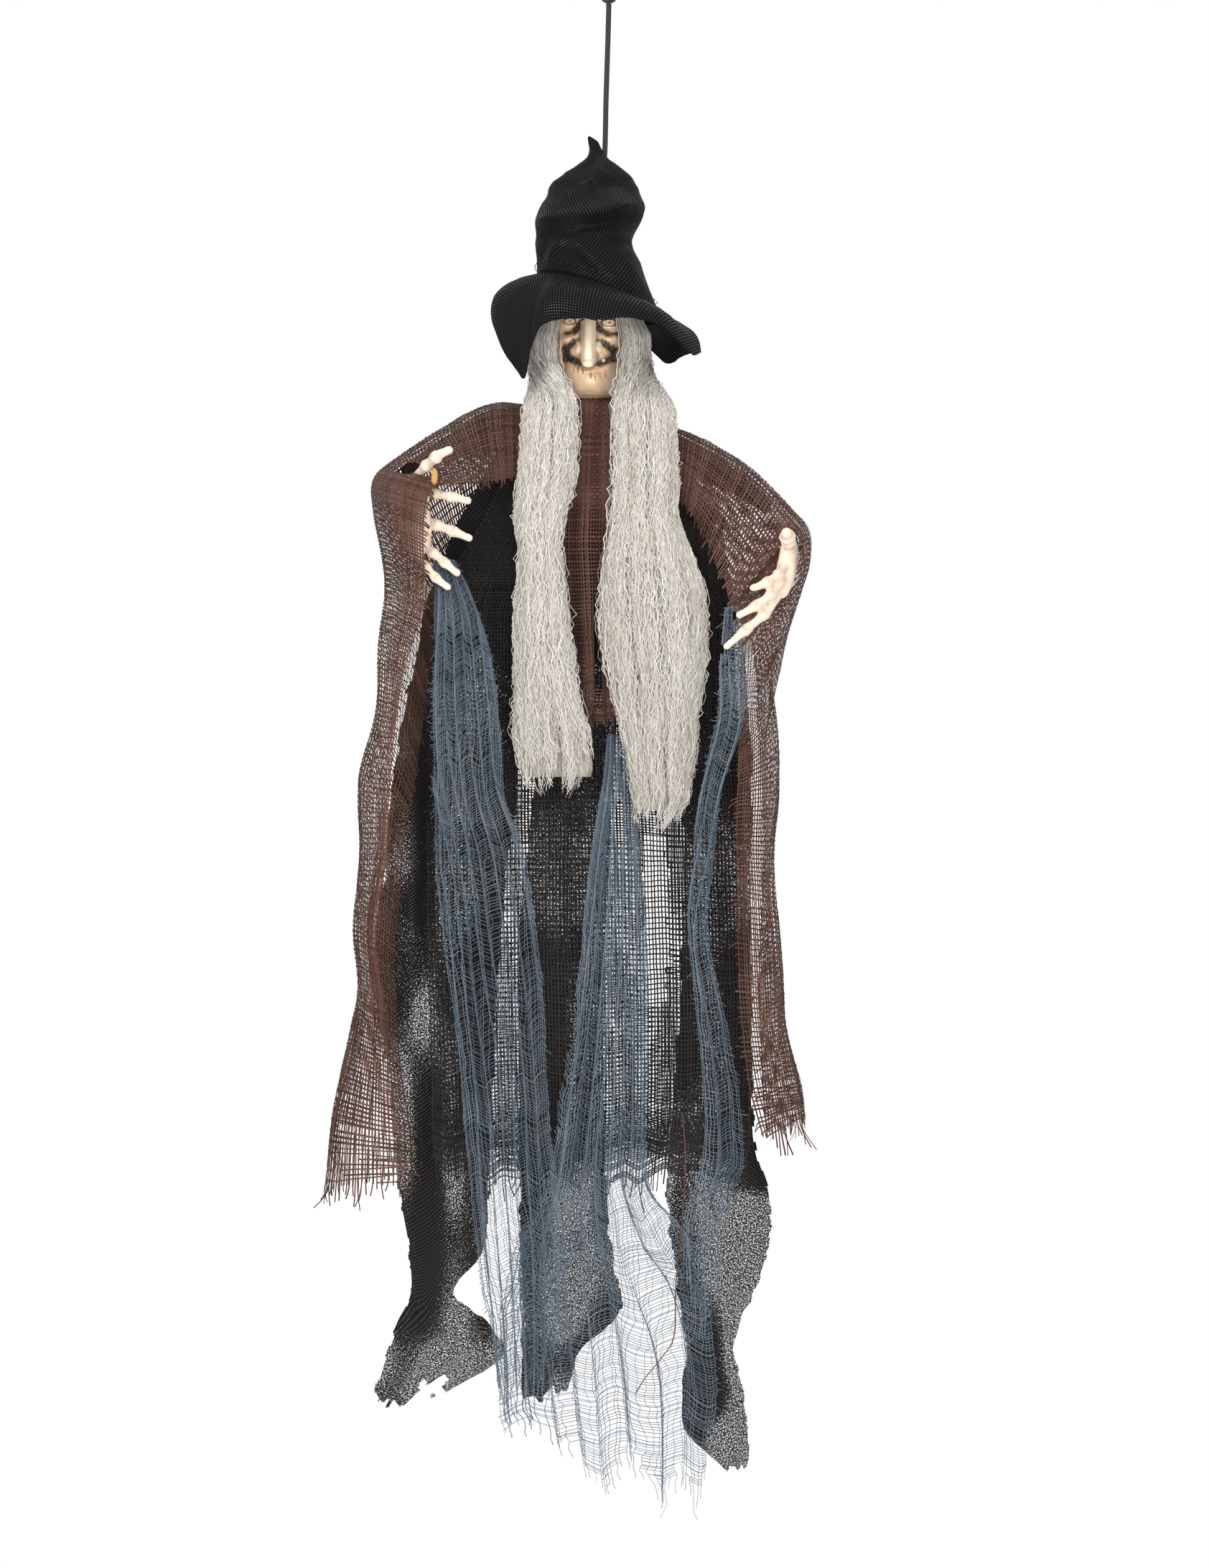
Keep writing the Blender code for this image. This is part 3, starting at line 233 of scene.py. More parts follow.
def rings_along(path: Array, radii: Array | float, sides: int, flat: float = 1.0) -> Array:
    """Rings of points about a path.

    Args:
        path: the centres.
        radii: one radius, or one for each centre.
        sides: points in a ring.
        flat: how far the second direction is pressed, 1 for a round ring.

    Returns:
        Points, centres by sides by three.
    """
    across, up = frames_along(path)
    size = np.broadcast_to(np.asarray(radii, float), (len(path),))
    turn = turns(sides)
    ring = np.cos(turn)[None, :, None] * across[:, None, :]
    ring = ring + flat * np.sin(turn)[None, :, None] * up[:, None, :]
    return np.asarray(path)[:, None, :] + size[:, None, None] * ring


def lathe(profile: Sequence, sides: int, centre: tuple[float, float] = (0.0, 0.0)) -> Array:
    """Rings about the Z axis.

    Args:
        profile: pairs of radius and height.
        sides: points in a ring.
        centre: where the axis is.

    Returns:
        Points, levels by sides by three.
    """
    turn = turns(sides)
    rings = []
    for radius, z in profile:
        x = centre[0] + radius * np.cos(turn)
        y = centre[1] + radius * np.sin(turn)
        rings.append(np.stack([x, y, np.full(sides, z)], axis=1))
    return np.array(rings)


def quads(rows: int, columns: int, wrap: bool = False) -> Array:
    """Faces of a grid of points.

    Args:
        rows: points down.
        columns: points across.
        wrap: whether the last column joins the first.

    Returns:
        Four point numbers for each face.
    """
    across = columns if wrap else columns - 1
    r, c = np.meshgrid(np.arange(rows - 1), np.arange(across), indexing="ij")
    a = (r * columns + c).ravel()
    b = (r * columns + (c + 1) % columns).ravel()
    return np.stack([a, b, b + columns, a + columns], axis=1)


def linked(name: str, data: bpy.types.ID) -> Piece:
    """A new object in the scene."""
    made = bpy.data.objects.new(name, data)
    bpy.context.scene.collection.objects.link(made)
    return made


def mark(mesh: bpy.types.Mesh, label: str, values: Array, kind: str = "FLOAT") -> None:
    """Store a number, or with another kind a vector, on each point of a mesh."""
    layer = mesh.attributes.new(label, kind, "POINT")
    layer.data.foreach_set("value" if kind == "FLOAT" else "vector", values.ravel().astype(np.float32))


def mesh_object(name: str, points: Array, faces: Sequence, look: Look | None, uv: Array | None = None) -> Piece:
    """A mesh object, smooth shaded.

    Args:
        name: the piece's name.
        points: places in millimetres.
        faces: point numbers of each face.
        look: its material.
        uv: a place on the cloth in metres for each point.

    Returns:
        The object.
    """
    mesh = bpy.data.meshes.new(name)
    mesh.from_pydata((np.asarray(points) * MM).tolist(), [], [tuple(f) for f in faces])
    mesh.update()
    mesh.shade_smooth()
    if uv is not None:
        layer = mesh.uv_layers.new(name="cloth")
        corner = np.zeros(len(mesh.loops), np.int32)
        mesh.loops.foreach_get("vertex_index", corner)
        layer.data.foreach_set("uv", np.asarray(uv, float)[corner].ravel())
    if look is not None:
        mesh.materials.append(look)
    return linked(name, mesh)


def closed_tube(name: str, rings: Array, look: Look | None) -> Piece:
    """A closed solid through rings, with capped ends and faces outwards.

    Args:
        name: the piece's name.
        rings: points, levels by sides by three.
        look: its material.

    Returns:
        The object.
    """
    rows, columns, _ = rings.shape
    points = np.concatenate([rings.reshape(-1, 3), [rings[0].mean(axis=0)], [rings[-1].mean(axis=0)]])
    faces = [tuple(f) for f in quads(rows, columns, wrap=True)]
    first = rows * columns
    base = (rows - 1) * columns
    for c in range(columns):
        d = (c + 1) % columns
        faces.append((first, d, c))
        faces.append((first + 1, base + c, base + d))
    return mesh_object(name, points, outward(points, faces), look)


def outward(points: Array, faces: list) -> list:
    """The faces, all turned round where they enclose a negative volume."""
    flat = [(f[0], f[k], f[k + 1]) for f in faces for k in range(1, len(f) - 1)]
    corners = points[np.array(flat)]
    volume = np.einsum("ij,ij->i", corners[:, 0], np.cross(corners[:, 1], corners[:, 2])).sum()
    return [tuple(reversed(f)) for f in faces] if volume < 0 else faces


def finished(made: Piece, name: str) -> Piece:
    """The object with its modifiers applied into a plain mesh.

    Args:
        made: an object with live modifiers.
        name: the piece's name.

    Returns:
        The same object with its result as its mesh.
    """
    bpy.context.view_layer.update()
    evaluated = made.evaluated_get(bpy.context.evaluated_depsgraph_get())
    mesh = bpy.data.meshes.new_from_object(evaluated)
    mesh.name = name
    made.modifiers.clear()
    made.data = mesh
    return made


# Shader maths


@dataclass(frozen=True)
class Wire:
    """One output socket, with the arithmetic of numbers."""

    shader: "Shader"
    socket: bpy.types.NodeSocket

    def __add__(self, other: "Wire | float") -> "Wire":
        """This plus the other."""
        return self.shader.math("ADD", self, other)

    __radd__ = __add__

    def __sub__(self, other: "Wire | float") -> "Wire":
        """This less the other."""
        return self.shader.math("SUBTRACT", self, other)

    def __rsub__(self, other: "Wire | float") -> "Wire":
        """The other less this."""
        return self.shader.math("SUBTRACT", other, self)

    def __mul__(self, other: "Wire | float") -> "Wire":
        """This times the other."""
        return self.shader.math("MULTIPLY", self, other)

    __rmul__ = __mul__

    def __truediv__(self, other: "Wire | float") -> "Wire":
        """This divided by the other."""
        return self.shader.math("DIVIDE", self, other)

    def clipped(self) -> "Wire":
        """The value held between 0 and 1."""
        return self.shader.math("MINIMUM", self.shader.math("MAXIMUM", self, 0.0), 1.0)

    def __abs__(self) -> "Wire":
        """This without its sign."""
        return self.shader.math("ABSOLUTE", self)


Signal = Wire | float
Colour = tuple[float, float, float]


def scaled(colour: Colour, by: float) -> Colour:
    """The colour, darker or brighter."""
    return tuple(by * part for part in colour)


class Shader:
    """A node material that is written as expressions."""

    def __init__(self, name: str) -> None:
        """Start a material.

        Args:
            name: the material's name.
        """
        self.material = bpy.data.materials.new(name)
        self.material.use_nodes = True
        self.tree = self.material.node_tree
        self.surface = self.tree.nodes["Principled BSDF"]

    def node(
        self, kind: str, settings: dict | None = None, inputs: dict | None = None, output: int | str = 0
    ) -> Wire:
        """Add any node.

        Args:
            kind: the node's type.
            settings: its own settings, and a ramp's stops as (place, colour) pairs.
            inputs: values or wires for its sockets.
            output: which output is wanted.

        Returns:
            That output.
        """
        made = self.tree.nodes.new(kind)
        for key, value in (settings or {}).items():
            if key == "stops":
                ramp = made.color_ramp
                while len(ramp.elements) < len(value):
                    ramp.elements.new(0.5)
                for element, (place, colour) in zip(ramp.elements, value):
                    element.position = place
                    element.color = (*colour, 1.0)
            else:
                setattr(made, key, value)
        for key, value in (inputs or {}).items():
            self.plug(made.inputs[key], value)
        return Wire(self, made.outputs[output])

    def plug(self, socket: bpy.types.NodeSocket, value: object) -> None:
        """Link a wire to a socket, or set its value."""
        if isinstance(value, Wire):
            self.tree.links.new(value.socket, socket)
        elif isinstance(value, tuple) and socket.type == "RGBA" and len(value) == 3:
            socket.default_value = (*value, 1.0)
        else:
            socket.default_value = value

    def math(self, operation: str, first: Signal, second: Signal = 0.0) -> Wire:
        """One sum of numbers."""
        return self.node("ShaderNodeMath", {"operation": operation}, {0: first, 1: second})

    def mix(self, factor: Signal, first: Wire | Colour, second: Wire | Colour, how: str = "MIX") -> Wire:
        """Mix two colours.

        Args:
            factor: 0 gives the first, 1 the second.
            first: a colour.
            second: a colour.
            how: the blend type.

        Returns:
            The colour.
        """
        settings = {"data_type": "RGBA", "blend_type": how}
        return self.node("ShaderNodeMix", settings, {0: factor, 6: first, 7: second}, 2)

    def rise(self, low: float, high: float, value: Wire) -> Wire:
        """0 at low, 1 at high, smooth between.

        Args:
            low: where it is 0.
            high: where it is 1.
            value: what is read.

        Returns:
            The number.
        """
        inputs = {0: value, 1: min(low, high), 2: max(low, high)}
        made = self.node("ShaderNodeMapRange", {"interpolation_type": "SMOOTHSTEP"}, inputs)
        return made if low < high else 1.0 - made

    def place(self) -> Wire:
        """The point in the object's own metres."""
        return self.node("ShaderNodeTexCoord", output="Object")

    def cloth(self) -> Wire:
        """The point on the flat cloth, in metres."""
        return self.node("ShaderNodeUVMap", {"uv_map": "cloth"})

    def parts(self, vector: Wire) -> tuple[Wire, Wire, Wire]:
        """The three numbers of a vector."""
        made = self.tree.nodes.new("ShaderNodeSeparateXYZ")
        self.plug(made.inputs[0], vector)
        return tuple(Wire(self, made.outputs[k]) for k in range(3))

    def tone(self, name: str) -> Wire:
        """A number stored on the mesh."""
        return self.node("ShaderNodeAttribute", {"attribute_name": name}, output="Fac")

    def stretched(self, vector: Wire, scale: Colour, turn: float = 0.0) -> Wire:
        """A vector with each part scaled, and turned about Z."""
        inputs = {"Vector": vector, "Scale": scale, "Rotation": (0.0, 0.0, turn)}
        return self.node("ShaderNodeMapping", {"vector_type": "POINT"}, inputs)

    def noise(self, vector: Wire, scale: float, detail: float = 2.0, rough: float = 0.5) -> Wire:
        """Noise from 0 to 1.

        Args:
            vector: where it is read.
            scale: cells in a unit.
            detail: octaves.
            rough: how strong the octaves are.

        Returns:
            The number.
        """
        inputs = {"Vector": vector, "Scale": scale, "Detail": detail, "Roughness": rough}
        return self.node("ShaderNodeTexNoise", None, inputs)

    def bump(self, height: Wire, distance: float, strength: float = 1.0, normal: Wire | None = None) -> Wire:
        """A bumped normal.

        Args:
            height: 0 to 1.
            distance: how tall 1 is, in metres.
            strength: how much of it shows.
            normal: a normal under it.

        Returns:
            The normal.
        """
        inputs = {"Height": height, "Distance": distance, "Strength": strength}
        if normal is not None:
            inputs["Normal"] = normal
        return self.node("ShaderNodeBump", None, inputs)

    def finish(self, **sockets: object) -> Look:
        """Plug the surface's sockets, named with underscores, and hand over the material."""
        for key, value in sockets.items():
            self.plug(self.surface.inputs[key.replace("_", " ").title().replace("Ior", "IOR")], value)
        return self.material


# Finishes


@dataclass(frozen=True)
class ThreadFinish:
    """Loose woven thread, lighter and darker from thread to thread."""

    name: str
    light: Colour
    dark: Colour
    dust: Colour
    dusty: float = 0.25
    rough: float = 0.9
    fibre: float = 2600.0

    def build(self) -> Look:
        """The material."""
        s = Shader(self.name)
        place = s.place()
        fibres = s.noise(s.stretched(place, (1.0, 1.0, 0.45)), self.fibre, 3.0, 0.65)
        patches = s.noise(place, 34.0, 2.0)
        colour = s.mix(s.tone("tone"), self.dark, self.light)
        colour = s.mix(s.rise(0.42, 0.78, patches) * self.dusty, colour, self.dust)
        colour = s.mix(s.rise(0.55, 0.3, fibres) * 0.55, colour, scaled(self.dark, 0.45))
        return s.finish(
            base_color=colour,
            roughness=s.rise(0.2, 0.9, fibres) * 0.12 + (self.rough - 0.08),
            normal=s.bump(fibres, 0.00018, 0.8),
            specular_ior_level=0.2,
            sheen_weight=0.06,
            sheen_roughness=0.5,
        )


@dataclass(frozen=True)
class NonwovenFinish:
    """Spunbond cloth with pressed bond points, on its own cloth map."""

    name: str
    colour: Colour
    # point: the bond points' colour, lighter than the cloth as a painted highlight of their gloss
    point: Colour
    pitch: float = 0.00165
    crumple: float = 0.0
    sheer: bool = False

    def build(self) -> Look:
        """The material."""
        s = Shader(self.name)
        cloth = s.cloth()
        place = s.place()
        turned = s.stretched(cloth, (1.0, 1.0, 1.0), 0.78)
        settings = {"voronoi_dimensions": "2D", "feature": "F1"}
        inputs = {"Vector": turned, "Scale": 1.0 / self.pitch, "Randomness": 0.0}
        near = s.node("ShaderNodeTexVoronoi", settings, inputs)
        dot = s.rise(0.3, 0.16, near)
        long_fibres = s.noise(s.stretched(cloth, (1.0, 0.16, 1.0), 0.5), 5200.0, 2.0)
        cross_fibres = s.noise(s.stretched(cloth, (0.2, 1.0, 1.0), -0.35), 4700.0, 2.0)
        fibres = s.rise(0.35, 0.75, long_fibres) * 0.5 + s.rise(0.35, 0.75, cross_fibres) * 0.5
        colour = s.mix(fibres * 0.5, self.colour, scaled(self.colour, 1.9))
        # The pressed bond points are a real pattern; their lighter colour is a painted highlight of their gloss.
        colour = s.mix(dot * 0.85, colour, self.point)
        creases = s.noise(place, 95.0, 4.0, 0.6)
        fine = s.bump(fibres - dot * 0.9, 0.00022, 0.8)
        opaque = 1.0
        if self.sheer:
            thin = s.noise(cloth, 1150.0, 3.0, 0.7)
            opaque = s.math("MAXIMUM", s.rise(0.45, 0.53, thin + s.tone("cover") * 0.3), dot)
        return s.finish(
            base_color=colour,
            roughness=0.8 - dot * 0.4,
            normal=s.bump(creases, 0.0012 * max(self.crumple, 0.25), 0.8, fine),
            alpha=opaque,
            specular_ior_level=0.08,
            coat_weight=dot * 0.4,
            coat_roughness=0.3,
        )


@dataclass(frozen=True)
class HairFinish:
    """Frizzy plastic hair, from shadowed grey to pale strands."""

    name: str
    # root: the darkest end of the ramp, used as painted shade for strands deep in a bunch and for the cores
    root: Colour
    middle: Colour
    pale: Colour

    def build(self) -> Look:
        """The material."""
        s = Shader(self.name)
        place = s.place()
        streak = s.noise(s.stretched(place, (1.0, 1.0, 0.05)), 900.0, 3.0, 0.6)
        tone = s.tone("tone") * 0.8 + s.rise(0.3, 0.7, streak) * 0.2
        stops = ((0.0, self.root), (0.45, self.middle), (1.0, self.pale))
        colour = s.node("ShaderNodeValToRGB", {"stops": stops}, {0: tone})
        return s.finish(
            base_color=colour,
            roughness=0.5 + s.rise(0.3, 0.7, streak) * 0.18,
            normal=s.bump(streak, 0.0003, 0.5),
            specular_ior_level=0.3,
        )


@dataclass(frozen=True)
class BraidFinish:
    """Braided cord with painted shade between its strands, on a cloth map or on the object's own metres."""

    name: str
    colour: Colour
    mapped: bool = True

    def build(self) -> Look:
        """The material."""
        s = Shader(self.name)
        if self.mapped:
            across, along, _ = s.parts(s.cloth())
        else:
            x, y, z = s.parts(s.place())
            across = s.math("ARCTAN2", y, x) * (0.5 * CORD_DIAMETER * MM)
            along = z
        pitch = math.pi * CORD_DIAMETER * MM / 6.0
        right = s.math("SINE", (across + along * 0.62) * (TAU / pitch))
        left = s.math("SINE", (across - along * 0.62) * (TAU / pitch))
        over = s.math("MAXIMUM", right, left)
        fibres = s.noise(s.place(), 3800.0, 2.0)
        # Painted shade in the grooves: darker where no strand lies over.
        colour = s.mix(s.rise(-0.2, 1.0, over), scaled(self.colour, 0.35), self.colour)
        colour = s.mix(s.rise(0.55, 0.8, fibres) * 0.5, colour, scaled(self.colour, 2.2))
        return s.finish(
            base_color=colour,
            roughness=0.9 - s.rise(0.2, 1.0, over) * 0.25,
            normal=s.bump(s.rise(-0.6, 1.0, over), 0.00035, 1.0, s.bump(fibres, 0.0001, 0.6)),
            sheen_weight=0.1,
        )


@dataclass(frozen=True)
class PaintedFace:
    """Moulded plastic skin with brushed-on dark washes, eyes and mouth, painted shade round the nose and down the
    jaw, and painted highlights beside the nose; placed in millimetres on the face.
    """

    name: str
    skin: Colour = (0.84, 0.56, 0.35)
    pale: Colour = (0.93, 0.71, 0.48)
    nose: Colour = (0.97, 0.80, 0.58)
    wash_and_shade: Colour = (0.016, 0.008, 0.006)
    jaw: Colour = (0.62, 0.38, 0.22)
    hollow: Colour = (0.45, 0.25, 0.15)
    eyeball: Colour = (0.74, 0.54, 0.36)
    tooth: Colour = (0.72, 0.68, 0.58)
    cheek_hollows: tuple = ((-8.0, -231.2, 3.4, 4.8, -0.3), (8.8, -232.6, 4.0, 4.2, -0.3))
    # Painted highlights on the raised ridges beside the nose.
    cheek_highlights: tuple = ((-6.3, -231.3, 1.7, 4.6, 0.1), (5.5, -230.6, 2.1, 3.9, 0.1))
    eyes: tuple = ((-11.4, -215.4, 3.1), (11.4, -216.2, 3.9))
    strokes: tuple = (
        (1, -4.2, -215.4, -8.6, -221.2, 2.3), (0.95, -8, -221, -13.6, -222.4, 1.3),
        (1, 2.6, -215.2, 6.4, -220.4, 2.5), (0.95, 6.2, -220.2, 10.6, -222.9, 1.9),
        (0.9, 10, -223, 16.6, -222.4, 1.1), (0.75, -14.2, -213.6, -8.2, -213.4, 1.2),
        (0.8, 7, -214, 14, -213.6, 1.3), (0.8, -6, -226.2, -9.2, -227.2, 1.5),
        (1, -9, -227.2, -13.4, -231.6, 2.1), (1, -13.6, -231, -13.2, -236.4, 2.9),
        (1, -12.6, -236, -5.4, -239.9, 2.5), (0.8, 4.2, -226.8, 8.4, -227.8, 1.6),
        (1, 8, -227.8, 13, -231.8, 2.2), (1, 14, -231.6, 14.4, -236.6, 2.8),
        (1, 13.6, -236.6, 6, -240, 2.3), (0.85, -6, -240, 0, -241.4, 1.1),
        # The two strokes of strength 0.55 run down both sides of the nose: painted shade.
        (0.85, 0, -241.4, 7, -239.8, 1.1), (0.55, -5.2, -228, -5.6, -236, 1.4),
        (0.55, 4.3, -228.4, 4.8, -236, 1.4), (0.7, -6.8, -242.6, -6.6, -245, 0.6),
        (0.75, -3.9, -242.4, -3.6, -245.4, 0.6), (0.5, -2, -242.4, -2, -244, 0.5),
        (0.7, 0.6, -245.6, 0.8, -248.4, 0.6), (0.45, 3.2, -247.8, 3.4, -250, 0.5),
        (0.45, 6, -245.6, 6.2, -248, 0.5), (0.5, -8.8, -241.6, -9, -244.6, 0.6),
        (0.4, 9.2, -243.6, 9.4, -247.2, 0.5),
    )

    def build(self) -> Look:
        """The material."""
        s = Shader(self.name)
        place = s.place()
        x_place, y_place, z_place = s.parts(place)
        blotch = s.noise(place, 210.0, 3.0, 0.6)
        wobble = s.noise(place, 420.0, 2.0)
        x = x_place * 1000.0 + (wobble - 0.5) * 1.1 - HEAD_X
        z = z_place * 1000.0 + (blotch - 0.5) * 1.1
        front = s.rise(-0.004, -0.014, y_place)

        def spot(at_x: float, at_z: float, wide: float, tall: float, tilt: float = 0.0) -> Wire:
            """1 in the middle of a leaning oval, 0 outside it."""
            dx = x - at_x
            dz = z - at_z - dx * tilt
            far = (dx / wide) * (dx / wide) + (dz / tall) * (dz / tall)
            return s.rise(1.0, 0.3, far)

        # Painted shade down both lower sides of the jaw.
        dark = s.rise(14.0, 20.0, abs(x - 0.5)) * s.rise(-236.0, -243.0, z) * 0.4
        feather = s.noise(s.stretched(place, (1.0, 1.0, 0.35)), 1500.0, 3.0) * 0.9 - 0.45
        for strength, x0, z0, x1, z1, wide in self.strokes:
            run = (x1 - x0) ** 2 + (z1 - z0) ** 2
            share = ((x - x0) * ((x1 - x0) / run) + (z - z0) * ((z1 - z0) / run)).clipped()
            dx, dz = x - x0 - share * (x1 - x0), z - z0 - share * (z1 - z0)
            far = s.math("SQRT", dx * dx + dz * dz) * (1.0 / wide) + feather * min(1.0, 0.7 * wide)
            dark = s.math("MAXIMUM", dark, s.rise(1.35, 0.5, far) * strength)
        nose_x = x - NOSE_X
        nose_z = s.math("MAXIMUM", -238.3 - z, 0.0)
        from_nose = s.math("SQRT", nose_x * nose_x + nose_z * nose_z)
        # Painted shadow: a dark ring round the nose, strongest below its tip.
        rim = s.rise(6.6, 5.0, from_nose) * s.rise(3.6, 4.6, from_nose) * s.rise(-214.0, -222.0, z)
        dark = s.math("MAXIMUM", dark, rim * 0.5)
        dark = dark * front * s.rise(3.8, 4.7, from_nose + s.rise(-216.0, -213.0, z) * 9.0)
        dark = dark * (0.8 + s.rise(0.35, 0.6, s.noise(place, 900.0, 3.0)) * 0.2)

        colour = s.mix(s.rise(0.35, 0.7, blotch), self.skin, self.pale)
        low = s.rise(-238.0, -241.0, z) * (1.0 - s.rise(-252.0, -257.0, z) * 0.5)
        colour = s.mix(low * 0.4, colour, self.jaw)
        bright = s.rise(4.9, 4.0, from_nose) * s.rise(-211.0, -216.0, z)
        colour = s.mix(bright * 0.95, colour, self.nose)
        for oval in self.cheek_hollows:
            colour = s.mix(spot(*oval) * 0.45, colour, self.hollow)
        # The dark mask holds the brushed washes, and painted shade round the nose and down the jaw's sides.
        colour = s.mix(dark, colour, self.wash_and_shade)
        # Painted highlights on the ridges beside the nose.
        for oval in self.cheek_highlights:
            colour = s.mix(spot(*oval) * front * 0.85, colour, self.pale)
        for eye_x, eye_z, wide in self.eyes:
            far_x, far_z = (x - eye_x) / wide, (z - eye_z) / 1.6
            far = far_x * far_x + far_z * far_z
            colour = s.mix(s.rise(1.0, 0.6, far) * front, colour, self.eyeball)
            lid = s.rise(2.3, 1.5, far) * s.rise(0.75, 1.1, far) * front
            colour = s.mix(lid * 0.85, colour, self.wash_and_shade)
            colour = s.mix(spot(eye_x + 0.2, eye_z + 0.1, 0.8, 0.7) * front * 0.85, colour, self.wash_and_shade)
        colour = s.mix(spot(8.2, -238.1, 1.2, 1.3) * front, colour, self.tooth)
        return s.finish(
            base_color=colour,
            roughness=0.34 + dark * 0.3 + s.rise(0.4, 0.8, blotch) * 0.06,
            normal=s.bump(s.noise(place, 1400.0, 3.0), 0.00012, 0.5, s.bump(blotch, 0.0004, 0.4)),
            coat_weight=s.rise(0.6, 0.0, dark) * 0.3,
            coat_roughness=0.2,
        )


@dataclass(frozen=True)
class MouldedHand:
    """Matt hand plastic with faint mottling, and painted shade in its creases."""

    name: str
    light: Colour = (0.90, 0.74, 0.61)
    mottled: Colour = (0.83, 0.65, 0.51)
    nail: Colour = (0.92, 0.80, 0.68)
    dark: Colour = (0.58, 0.40, 0.29)

    def build(self) -> Look:
        """The material."""
        s = Shader(self.name)
        place = s.place()
        mottle = s.noise(place, 160.0, 4.0, 0.6)
        crease = s.tone("crease")
        colour = s.mix(s.rise(0.3, 0.7, mottle), self.light, self.mottled)
        # Painted shade in the knuckle creases and round the nails.
        colour = s.mix(crease * 0.85, colour, self.dark)
        colour = s.mix(s.tone("nail") * 0.7, colour, self.nail)
        return s.finish(
            base_color=colour,
            roughness=0.52 - s.rise(0.4, 0.7, mottle) * 0.1,
            normal=s.bump(s.noise(place, 900.0, 3.0), 0.00018, 0.6),
        )


@dataclass(frozen=True)
class PlainFinish:
    """A small hard or soft part: two colours mixed by noise, and a grain."""

    name: str
    colour: Colour
    other: Colour
    rough: float
    scale: float = 300.0
    depth: float = 0.0002
    metallic: float = 0.0
    transmission: float = 0.0

    def build(self) -> Look:
        """The material."""
        s = Shader(self.name)
        place = s.place()
        grainy = s.noise(place, self.scale, 4.0, 0.6)
        return s.finish(
            base_color=s.mix(s.rise(0.35, 0.65, grainy), self.colour, self.other),
            roughness=self.rough + (grainy - 0.5) * 0.16,
            metallic=self.metallic,
            transmission_weight=self.transmission,
            normal=s.bump(s.noise(place, self.scale * 3.0, 3.0), self.depth, 0.7),
        )


BROWN_THREAD = ThreadFinish(
    "brown_burlap", (0.145, 0.072, 0.053), (0.045, 0.020, 0.014), (0.24, 0.145, 0.112)
)
BLACK_THREAD = ThreadFinish(
    "black_gauze_thread", (0.024, 0.021, 0.020), (0.009, 0.008, 0.008), (0.045, 0.043, 0.043), 0.3
)
BLUE_THREAD = ThreadFinish(
    "blue_cheesecloth", (0.22, 0.285, 0.35), (0.10, 0.14, 0.18), (0.40, 0.44, 0.48), 0.35
)
HAT_CLOTH = NonwovenFinish("black_hat_nonwoven", (0.0034, 0.0033, 0.0034), (0.030, 0.029, 0.028), crumple=1.0)
PANEL_CLOTH = NonwovenFinish(
    "black_panel_nonwoven", (0.010, 0.009, 0.0085), (0.06, 0.057, 0.055), crumple=0.5, sheer=True
)
GREY_HAIR = HairFinish("grey_frizzy_hair", (0.08, 0.07, 0.058), (0.58, 0.54, 0.48), (0.86, 0.83, 0.79))
CORD_BRAID = BraidFinish("black_braid", (0.022, 0.022, 0.024))
KNOT_BRAID = BraidFinish("black_knot_braid", (0.022, 0.022, 0.024), False)
FACE_SKIN = PaintedFace("painted_skin")
HAND_SKIN = MouldedHand("hand_skin")
STEEL = PlainFinish("steel_wire_drawn", (0.52, 0.53, 0.55), (0.42, 0.42, 0.44), 0.36, 800.0, 0.00005, 1.0)
PLUG = PlainFinish("dark_neck_plastic", (0.04, 0.04, 0.045), (0.06, 0.058, 0.06), 0.5)
# Painted shade: the arm wadding is coloured a dark brown so that it reads as shade under the brown capes.
WADDING = PlainFinish("dark_fibre_wadding", (0.040, 0.022, 0.017), (0.022, 0.012, 0.010), 0.95, 420.0, 0.0012)
GLUE = PlainFinish("amber_glue", (0.72, 0.36, 0.12), (0.85, 0.50, 0.20), 0.2, 500.0, 0.0001, 0.0, 0.3)
FLOOR = PlainFinish("pale_floor", (0.80, 0.80, 0.79), (0.83, 0.83, 0.82), 0.7, 4.0, 0.0001)


# Threads and strands, swept by Geometry Nodes


class Profile(Enum):
    """What a strand is in cross-section."""

    RIBBON = "ribbon"
    ROUND = "round"


@cache
def sweep_of(profile: Profile) -> "StrandTree":
    """The one node tree for a profile."""
    return StrandTree(profile)


